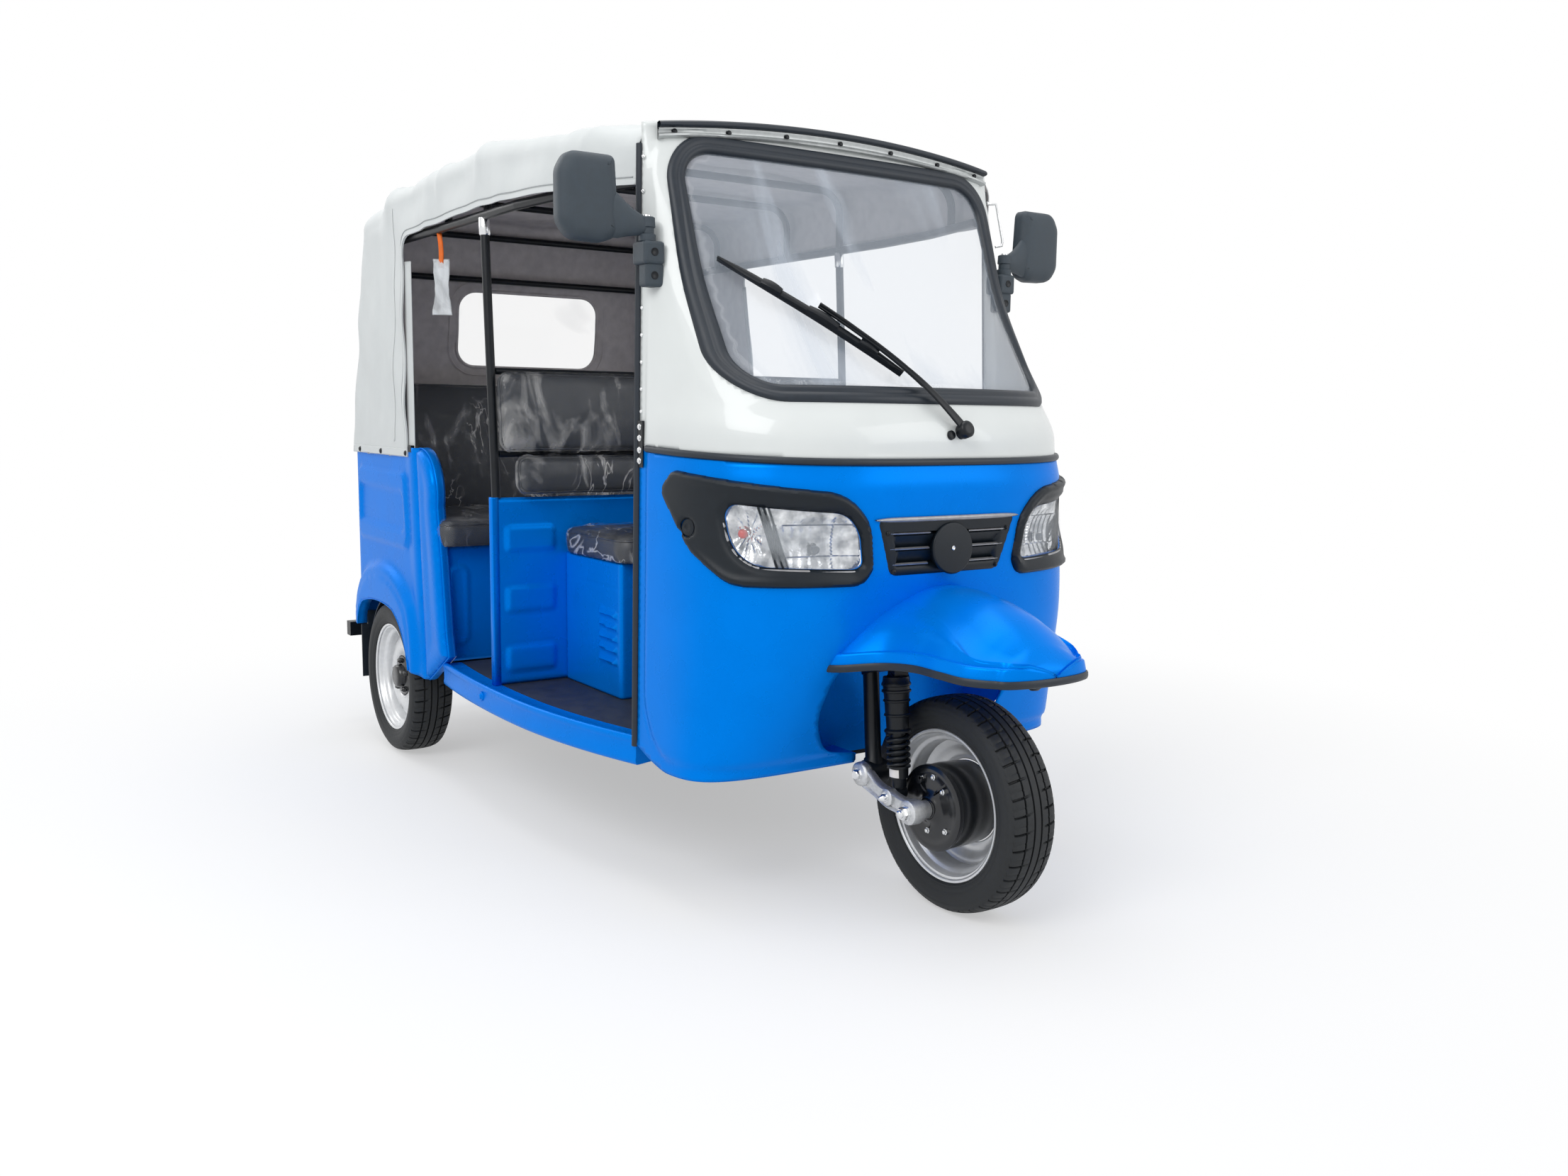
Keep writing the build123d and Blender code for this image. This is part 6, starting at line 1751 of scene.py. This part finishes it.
def roof_strips():
    """The gutter channel over the windscreen, its screws and the rubber above it."""
    shares = np.linspace(-0.93, 0.93, 121)
    low = gutter_z(cowl.flat(shares, np.full(121, 1720.0))[:, 1])
    for name, node, material, section in (
        ("gutter_strip", "gutter_channel", channel_metal, GUTTER_SECTION),
        ("roof_edge_rubber", "roof_edge_trim", gasket_rubber, ROOF_RUBBER_SECTION),
    ):
        rows = [cowl.place(shares, low + up, out) for out, up in section]
        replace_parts(add_grid(name, rows, material, close_rows=True), node)
    screws = Pile()
    for share in (-0.86, -0.6, -0.3, 0.0, 0.3, 0.6, 0.86):
        z = gutter_z(float(cowl.flat(share, 1720.0)[1])) + 12
        at = cowl.place(share, z, 11.0)
        screws.bolt(at, at - cowl.place(share, z, 0.0), 5.0, 4.0, 8)
    screws.make("gutter_screws", black_paint)


def door_edges():
    """A black seal up each side of the cowl, with rivets and bolts in the pale flange beside it."""
    z = np.linspace(332, 1690, 120)
    section = ((4, 1), (3, 6), (-2, 9), (-8, 9), (-11, 5), (-10, 0), (-4, -2))  # ahead, out
    for side, word in SIDES:
        edge = cowl.flat(np.full(120, float(side)), z)
        rows = [edge + np.array((ahead, side * out, 0)) for ahead, out in section]
        add_grid(f"door_seal_{word}", rows, gasket_rubber, close_rows=True)
        rivets, bolts = Pile(), Pile()
        for z_rivet in (1660, 1585, 1330, 1270, 1210, 1150, 1100):
            at = cowl.flat(float(side), float(z_rivet)) + np.array((11, side * 1.5, 0))
            rivets.turned(at, (0.1, side, 0), [(-2, 4.5), (1, 4.5), (2.2, 3), (2.8, 1.5)], 14)
        rivets.make(f"door_rivets_{word}", bright_steel)
        for z_bolt in (1066, 1041, 1014, 990):
            at = cowl.flat(float(side), float(z_bolt)) + np.array((13, side * 5.5, 0))
            bolts.bolt(at, (0.1, side, 0), 5.0, 3.5, 8)
        bolts.make(f"plate_bolts_{word}", bright_steel)


MIRROR_SHAPE = [
    # out from the vehicle's middle, z
    (597, 1486), (606, 1646), (716, 1646), (738, 1606), (738, 1498), (712, 1463), (636, 1461), (612, 1470),
]
MIRROR_RADII = [16, 16, 34, 40, 44, 40, 34, 10]
MIRROR_NECK = [  # x, y, z, half_x, half_z
    (628, 622, 1524, 12, 52), (630, 602, 1520, 15, 48), (633, 586, 1514, 16, 38),
    (636, 568, 1508, 16, 29), (639, 550, 1504, 15, 23), (640, 536, 1502, 12, 19),
]
MIRROR_POST = [(0, 14), (2, 17), (22, 18), (24, 15), (36, 15), (38, 19), (52, 19), (54, 15)]  # along, radius
MIRROR_CASE = [
    # inset, x, from the glass round the back
    (10, 599), (3, 597), (0, 601), (0, 622), (2, 630), (7, 636), (15, 640.5), (24, 643),
]


def mirror_case(side, word):
    outline = rounded(MIRROR_SHAPE, MIRROR_RADII, 7.0)
    shell = Pile()
    shell.grid([levelled(offset_loop(outline, inset) * (side, 1), x) for inset, x in MIRROR_CASE],
               close_columns=True)
    inset, front_x = MIRROR_CASE[-1]
    back = offset_loop(outline, inset)
    top, faces = trimmed(back, [], 14.0)
    crown = front_x + 3.0 * (1 - np.exp(-distance(top, back) / 18.0))
    shell.add(np.column_stack([crown, top * (side, 1)]), faces)
    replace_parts(shell.make(f"mirror_case_{word}", mirror_plastic), "mirrors")
    glass, faces = trimmed(offset_loop(outline, 8.0), [], 24.0)
    pane = add_mesh(f"mirror_glass_{word}", levelled(glass * (side, 1), 601), faces, mirror_silver)
    thicken(pane, 2.0, 0.0)


def mirror_arm(side, word):
    """The neck, its post and pin, and the bracket with its two holes."""
    arm, pin, hold, holes = Pile(), Pile(), Pile(), Pile()
    turns = np.arange(16) * math.pi / 8
    arm.grid([
        [(x + half_x * math.cos(a), side * y, z + half_z * math.sin(a)) for a in turns]
        for x, y, z, half_x, half_z in MIRROR_NECK
    ], close_columns=True)
    arm.turned((640, side * 534, 1522), (0, 0, -1), MIRROR_POST, 28)
    arm.make(f"mirror_arm_{word}", mirror_plastic)
    pin.turned((640, side * 534, 1526), (0, 0, -1), [(0, 8), (3, 9), (5, 9)], 20)
    pin.turned((640, side * 516, 1452), (0, side, 0), [(0, 7), (34, 7)], 18)
    pin.make(f"mirror_pin_{word}", bright_steel)
    hold.block((604, side * 502, 1420), (664, side * 553, 1470))
    hold.block((622, side * 502, 1372), (660, side * 547, 1424))
    bracket = hold.make(f"mirror_bracket_{word}", mirror_plastic, smooth=False)
    bevel(bracket, 7)
    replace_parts(bracket, "mirror_brackets")
    for x, y, z in ((664, 528, 1446), (660, 526, 1396)):
        holes.turned((x - 3, side * y, z), (1, 0, 0), [(0, 9), (3.6, 9), (4.2, 8), (3.4, 7)], 22)
    holes.make(f"mirror_holes_{word}", black_paint)


def flat_bar(pile, path, half_w, half_t):
    """A flat bar with rounded sides, lying along points over the cowl. half_w is a table along its length."""
    path = np.array(path, float)
    out = np.array([on_front(y, z, 1.0) - on_front(y, z, 0.0) for _, y, z in path])
    across = unit(np.cross(np.gradient(path, axis=0), out))
    widths = np.interp(np.linspace(0, 1, len(path)), np.linspace(0, 1, len(half_w)), half_w)[:, None]
    section = ((-1, -0.6), (-0.9, 0.6), (-0.5, 1), (0.5, 1), (0.9, 0.6), (1, -0.6), (0.6, -1), (-0.6, -1))
    rows = [path + across * a * widths + out * b * half_t for a, b in section]
    pile.grid(rows, close_rows=True)
    for end in (0, -1):
        pile.cap([row[end] for row in rows])


def bowed(a, b, out, bow, count=24):
    """Points over the cowl from a to b, each (y, z), that bow further out in the middle."""
    (y0, z0), (y1, z1) = a, b
    return [
        on_front(y0 + (y1 - y0) * t, z0 + (z1 - z0) * t, out + bow * math.sin(math.pi * t))
        for t in np.linspace(0, 1, count)
    ]


def wiper_arm():
    arm = Pile()
    pivot, middle = (28.0, 1062.0), (-233.0, 1318.0)
    flat_bar(arm, bowed(pivot, middle, 27, 7), [11, 9, 8, 6, 5, 5], 3.5)
    flat_bar(arm, bowed((-60, 1150), middle, 30, 4), [3, 3], 7)
    base = on_front(*pivot, 0)
    ahead = on_front(*pivot, 10) - base
    boss = [(-4, 18), (6, 18), (10, 15), (16, 14), (18, 19), (34, 19), (38, 15), (39, 8)]
    arm.turned(base, ahead, boss, 32)
    arm.turned(base + (0, -30, -8), ahead, [(0, 9), (10, 11), (16, 10), (18, 5)], 20)
    (y0, z0), (y1, z1) = ends = ((-405.0, 1430.0), (-92.0, 1182.0))
    flat_bar(arm, bowed(*ends, 18, 3, 40), [3, 8, 8, 8, 8, 8, 3], 4.0)
    flat_bar(arm, bowed(*ends, 9, 0, 40), [2, 3, 3, 3, 2], 6.0)
    for share, wide in ((0.28, 0.1), (0.55, 0.16), (0.8, 0.1)):
        a, b = ((y0 + (y1 - y0) * t, z0 + (z1 - z0) * t) for t in (share - wide / 2, share + wide / 2))
        flat_bar(arm, bowed(a, b, 25, 3, 12), [8, 10, 10, 8], 4.0)
    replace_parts(arm.make("wiper_arm", black_paint), "wiper")


def pillar_hook():
    path = ((1655, 6), (1652, 26), (1560, 40), (1548, 38), (1545, 20))  # z, out
    add_tube("pillar_hook", [cowl.place(0.965, z, out) for z, out in path], 3.4, bright_steel)


roof_strips()
door_edges()
for side, word in SIDES:
    mirror_case(side, word)
    mirror_arm(side, word)
wiper_arm()
pillar_hook()


# ---------------------------------------------------------------- cabin panels
WALL_X, FLOOR_Z = -103.0, 350.5
BOX_DEEP, BOX_WIDE = 333.0, 780.0  # the driver's seat box, from the partition ahead and across
PARTITION_HALF_W, BENCH_HALF_W, BENCH_X = 600.0, 625.0, -502.0
PARTITION_TOP, BOX_TOP, BENCH_TOP = 865.0, 709.0, 697.0
SILL_SECTION = [
    # out, z
    (-55, 350), (-16, 350.5), (-12, 353), (-7, 355.5), (-2, 355), (1.5, 351), (2, 345), (0, 339), (-1.5, 335),
    (-1.5, 306), (0, 298), (-1, 290), (-5, 285.5), (-12, 285), (-55, 285),
]


class PlanWrap:
    """An upright skin along a path in plan, (x, y), whose right-hand side is its outside."""

    def __init__(self, path):
        self.path = np.asarray(path, float)
        self.run = polyline_lengths(self.path)
        self.out = -left_normals(self.path, self.run)

    def place(self, run, z, out):
        spots = [np.interp(run, self.run, self.path[:, k]) + out * np.interp(run, self.run, self.out[:, k])
                 for k in (0, 1)]
        return np.column_stack([*spots, z])


def corner_path(corners, r):
    """An open path with rounded corners."""
    corners = [np.array(corner, float) for corner in corners]
    points = [corners[0]]
    for before, here, after in zip(corners, corners[1:], corners[2:]):
        a, b = here + unit(before - here) * r, here + unit(after - here) * r
        points.extend((1 - t) ** 2 * a + 2 * t * (1 - t) * here + t**2 * b for t in np.linspace(0, 1, 8))
    return filled([*points, corners[-1]], 3.0)


def pressed(name, node, wrap, low_z, high_z, relief, spacing, wall, roll):
    """A sheet-metal skin on a wrap, with rounded edges and a relief over it."""
    length = wrap.run[-1]
    outline = filled([*box_corners(0, low_z, length, high_z), (0, low_z)], spacing)[:-1]
    flat, faces = trimmed(outline, [], spacing)
    depth = np.clip(roll - distance(flat, outline), 0, roll)
    out = relief(flat[:, 0], flat[:, 1]) - (roll - np.sqrt(roll**2 - depth**2))
    skin = add_mesh(name, wrap.place(flat[:, 0], flat[:, 1], out), faces, blue_paint)
    behind = wrap.place(np.array([length / 2]), np.array([(low_z + high_z) / 2]), -400.0)[0]
    thicken(face_outwards(skin, behind), wall)
    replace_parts(skin, node)


def plate_relief(u, v, centre, size, rise, corner_r, soft=5.0):
    """A raised rounded rectangle."""
    (u0, v0), (half_w, half_h) = centre, (size[0] / 2, size[1] / 2)
    loop = rounded(box_corners(u0 - half_w, v0 - half_h, u0 + half_w, v0 + half_h), corner_r, 6.0)
    gap = signed_inside(np.column_stack([u, v]), loop)
    return rise * smoothstep(-soft, soft, gap) - 1.2 * np.exp(-((gap + soft + 2) / 3.0) ** 2)


def partition_relief(run, z):
    """Three raised plates at each side."""
    out = np.zeros(len(run))
    for y in (-495.0, 495.0):
        for z_mid in (753.0, 586.0, 421.0):
            out += plate_relief(run - PARTITION_HALF_W, z, (y, z_mid), (140.0, 66.0), 6.0, 7.0)
    return out


def seat_box_relief(run, z):
    """Five louvres on each side, and a fold line above them."""
    out = np.zeros(len(run))
    for start, way in ((BOX_DEEP - 128.0, 1), (BOX_DEEP + BOX_WIDE + 128.0, -1)):
        share = (run - start) * way / 106.0
        for i in range(5):
            up = (z - (443.0 + 31.0 * i) + 6.0 * share) / 20.0
            hood = np.where(up < 0.22, smoothstep(0, 0.22, up), 1 - smoothstep(0.22, 1.0, up))
            out += 10.0 * hood * smoothstep(-0.02, 0.14, share) * smoothstep(1.02, 0.95, share)
    return out - 1.0 * np.exp(-((z - 640.0) / 2.5) ** 2)


def bench_relief(run, z):
    """A tall sunk plate with a raised rim at each side."""
    out = np.zeros(len(run))
    for y in (-552.0, 552.0):
        out += plate_relief(run - BENCH_HALF_W, z, (y, 520.0), (60.0, 240.0), 5.0, 29.0, 4.0)
        out -= plate_relief(run - BENCH_HALF_W, z, (y, 520.0), (34.0, 214.0), 2.0, 16.0, 4.0)
    return out


def cabin_panels():
    partition = PlanWrap(filled([(WALL_X, -PARTITION_HALF_W), (WALL_X, PARTITION_HALF_W)], 10))
    pressed("partition_skin", "partition", partition, FLOOR_Z, PARTITION_TOP, partition_relief,
            9.0, 20.0, 6.0)
    half_w, front_x = BOX_WIDE / 2, WALL_X + BOX_DEEP
    box = PlanWrap(corner_path(box_corners(WALL_X, -half_w, front_x, half_w), 14))
    pressed("seat_box_skin", "driver_seat_box", box, FLOOR_Z, BOX_TOP, seat_box_relief, 5.5, 3.0, 2.5)
    bench = PlanWrap(filled([(BENCH_X, -BENCH_HALF_W), (BENCH_X, BENCH_HALF_W)], 10))
    pressed("bench_front", "passenger_seat_base", bench, FLOOR_Z, BENCH_TOP, bench_relief, 9.0, 6.0, 3.0)
    tops, flanges = Pile(), Pile()
    tops.block((WALL_X, -386, 700), (226, 386, BOX_TOP))
    tops.block((-1010, -600, 688), (-506, 600, BENCH_TOP))
    tops.make("seat_decks", blue_paint, smooth=False)
    section = ((-20, -4), (-20, 2), (-18, 4.5), (-2, 4.5), (1, 3), (1, -1), (0, -14))  # ahead, out
    for side, _ in SIDES:
        flanges.grid([
            [(WALL_X + ahead, side * (PARTITION_HALF_W + out), z) for z in (351, 600, 861, 866)]
            for ahead, out in section
        ])
    thicken(flanges.make("partition_flanges", blue_paint), 2.0, 0.0)


def sills():
    path = arc3((-483, 612), (-200, 634), (60, 636), 24) + arc3((60, 636), (380, 604), (609, 549), 24)[1:]
    path = np.array(path)
    out_dir = left_normals(path, polyline_lengths(path))
    bolts = Pile()
    for side, word in SIDES:
        rows = [np.column_stack([(path + out_dir * out) * (1, side), np.full(len(path), z)])
                for out, z in SILL_SECTION]
        pile = Pile()
        pile.grid(rows, close_rows=True)
        pile.cap([row[0] for row in rows])
        pile.cap([row[-1] for row in rows])
        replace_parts(pile.make(f"sill_{word}", blue_paint), "side_sills")
        at = path[int(np.argmin(np.abs(path[:, 0] + 113)))]
        dome = [(0, 13), (3, 12), (4, 8), (7, 7), (8, 4)]
        bolts.turned((at[0], side * (at[1] - 1), 322), (0, side, 0), dome, 24)
    bolts.make("sill_bolts", blue_paint)


cabin_panels()
sills()


# ---------------------------------------------------------------- canopy trim
STRAP_PLACE = (-508.0, -588.0)


def cloth_spots(x, z, out, side):
    """Points on the canopy's side at x and z, riding on its folds."""
    x, z = np.asarray(x, float), np.asarray(z, float)
    share = tent_share(x, z)
    spot, normal = tent.place(share, x), tent.normal(share, x)
    normal *= np.sign(normal[:, 1:2])
    spot = spot * (1, side, 1)
    normal = normal * (1, side, 1)
    return spot + normal * (soft_folds(spot) + out)[:, None]


def side_ribbon(name, path, half_w, out, wall, material, side):
    """A flat strip sewn along a path of (x, z) on the canopy's side."""
    path = filled(path, 12.0)
    across = left_normals(path)
    rows = []
    for a, lift in ((-1, 0.2), (-0.9, 1), (0.9, 1), (1, 0.2)):
        spot = path + across * a * half_w
        rows.append(cloth_spots(spot[:, 0], spot[:, 1], lift * out, side))
    thicken(add_grid(name, rows, material), wall, 0.0)


def round_doorway(back, up):
    """The doorway's edge moved back, and up where it runs along the doorway's top."""
    return [(x - back, z + (up if i > 3 else 0)) for i, (x, z) in enumerate(OPENING)]


def canopy_trim():
    """Each side's hem, sewn doorway edge, seam, flap behind the doorway and fasteners."""
    hem_from, hem_to = float(rear_x(960.0)) + 62, OPENING[0][0]
    ribbons = [
        # name, path, half_w, out, wall, material
        ("canopy_hem", [(hem_from, 968), (hem_to - 2, 968)], 11.0, 1.6, 1.5, canvas_outer),
        ("canopy_edge", round_doorway(6, 6), 6.0, 2.2, 1.5, canvas_outer),
        ("canopy_seam", [(-806, 1000), (-838, 1500), (-846, 1705)], 4.0, 1.4, 1.5, canvas_outer),
        ("canopy_stitch", round_doorway(17, 17), 0.8, 1.2, 0.8, stitch_grey),
    ]
    flap_path = filled([(-690, 958), (-694, 1000), (-757, 1540)], 14.0)
    flap_base = tent.place(tent_share(flap_path[:, 0], flap_path[:, 1]), flap_path[:, 0])
    snaps = Pile()
    for side, word in SIDES:
        for name, *ribbon in ribbons:
            side_ribbon(f"{name}_{word}", *ribbon, side)
        rows = [flap_base * (1, side, 1) + np.array((ahead, -side * into, 0))
                for ahead, into in ((-6, 6), (8, 9), (22, 13), (30, 16))]
        thicken(add_grid(f"canopy_flap_{word}", rows, canvas_outer), 2.0, 0.0)
        xs = np.array([-1151.0, -928.0, -700.0])
        for spot in cloth_spots(xs, np.full(3, 966.0), 1.0, side):
            snaps.turned(spot, (0, side, 0), [(-1, 9), (2, 9), (3, 7), (5, 6.5), (6, 4)], 20)
        box = Pile()
        box.block((-700, side * 634, 968), (-664, side * 622, 990))
        bevel(box.make(f"canopy_catch_{word}", black_paint, smooth=False), 2)
    snaps.make("canopy_snaps", black_paint)


def rear_window_seams():
    pile = Pile()
    low_y, low_z, high_y, high_z = REAR_WINDOW
    for grow, r, into in ((34, 1.6, 5.0), (6, 4.0, 3.5), (6, 4.0, -1.0)):
        loop = rounded(box_corners(low_y - grow, low_z - grow, high_y + grow, high_z + grow), 60 + grow, 10.0)
        rings = []
        for a in (2 * math.pi * k / 6 for k in range(6)):
            ring = offset_loop(loop, r * math.cos(a))
            rings.append(np.column_stack([rear_x(ring[:, 1]) + into + 0.6 * r * math.sin(a), ring]))
        pile.grid(rings, close_rows=True, close_columns=True)
    pile.make("rear_window_seams", canvas_inner)


def pole_sleeves():
    """The bright sleeves high on the poles."""
    sleeves = Pile()
    for side, _ in SIDES:
        top, low = (np.array((pole_x(z), side * POLE_Y, z)) for z in (1606.0, 1556.0))
        sleeves.turned(top, low - top, [(0, 13), (2, 15), (44, 15), (47, 13)], 28)
    sleeves.make("pole_sleeves", bright_steel)


def hand_strap():
    """The orange strap that hangs from the right rail, with its clear sleeve."""
    x, y = STRAP_PLACE
    rows = []
    for t in np.linspace(0, 1, 12):
        sway_x, sway_y = 3 * math.sin(3 * t), 4 * math.sin(2.4 * t)
        rows.append([(x + 4 * a + sway_x, y + 5.7 * a + sway_y, 1600 - 92 * t) for a in (-1, -0.3, 0.3, 1)])
    strap = add_grid("hand_strap", rows, strap_orange)
    thicken(strap, 1.6, 0.0)
    rows = []
    for t in np.linspace(0, 1, 26):
        half = 24 + 5 * smoothstep(0.6, 1, t) - 3 * math.sin(math.pi * t)
        row = []
        for a in np.linspace(-1, 1, 14):
            crease = 3 * noise.noise((a * 3, t * 6, 1.3))
            row.append((x + 2 + 0.57 * a * half, y + 4 + 0.82 * a * half + crease, 1528 - 158 * t))
        rows.append(row)
    sleeve = add_grid("strap_sleeve", rows, bag_film)
    thicken(sleeve, 0.8, 0.0)


canopy_trim()
rear_window_seams()
pole_sleeves()
hand_strap()


# ---------------------------------------------------------------- rear details
TAIL_RIM_SECTION = ((0, -1279), (0, -1300), (3, -1306), (8, -1306), (9, -1300))  # inset, x
TAIL_LENS_SECTION = ((9, -1296), (9, -1303), (11, -1306), (13.5, -1307))


def tail_lamps():
    """The red lenses in their black rims, at both sides of the lid."""
    lenses, rims = Pile(), Pile()
    for y in (-490.0, 490.0):
        loop = rounded(box_corners(y - 42, 606, y + 42, 794), 14, 8)
        for pile, section in ((rims, TAIL_RIM_SECTION), (lenses, TAIL_LENS_SECTION)):
            rings = [levelled(offset_loop(loop, inset), x) for inset, x in section]
            pile.grid(rings, close_columns=True)
        lenses.cap(rings[-1])
    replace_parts(lenses.make("tail_lamp_lenses", lamp_red), "tail_lamps")
    rims.make("tail_lamp_rims", black_trim)


def rear_bolts():
    """The bolts of the lid's hinges and of the bumper."""
    bolts = Pile()
    for y in (-260, 260):
        for dy in (-24, 24):
            bolts.bolt((-1289, y + dy, 905), (-1, 0, 0), 5.0, 3.5, 8)
    for y in (-200, 200):
        bolts.bolt((-1388, y, 332), (-1, 0, 0), 9.0, 6.0, 6)
    bolts.make("rear_bolts", bright_steel)


tail_lamps()
rear_bolts()
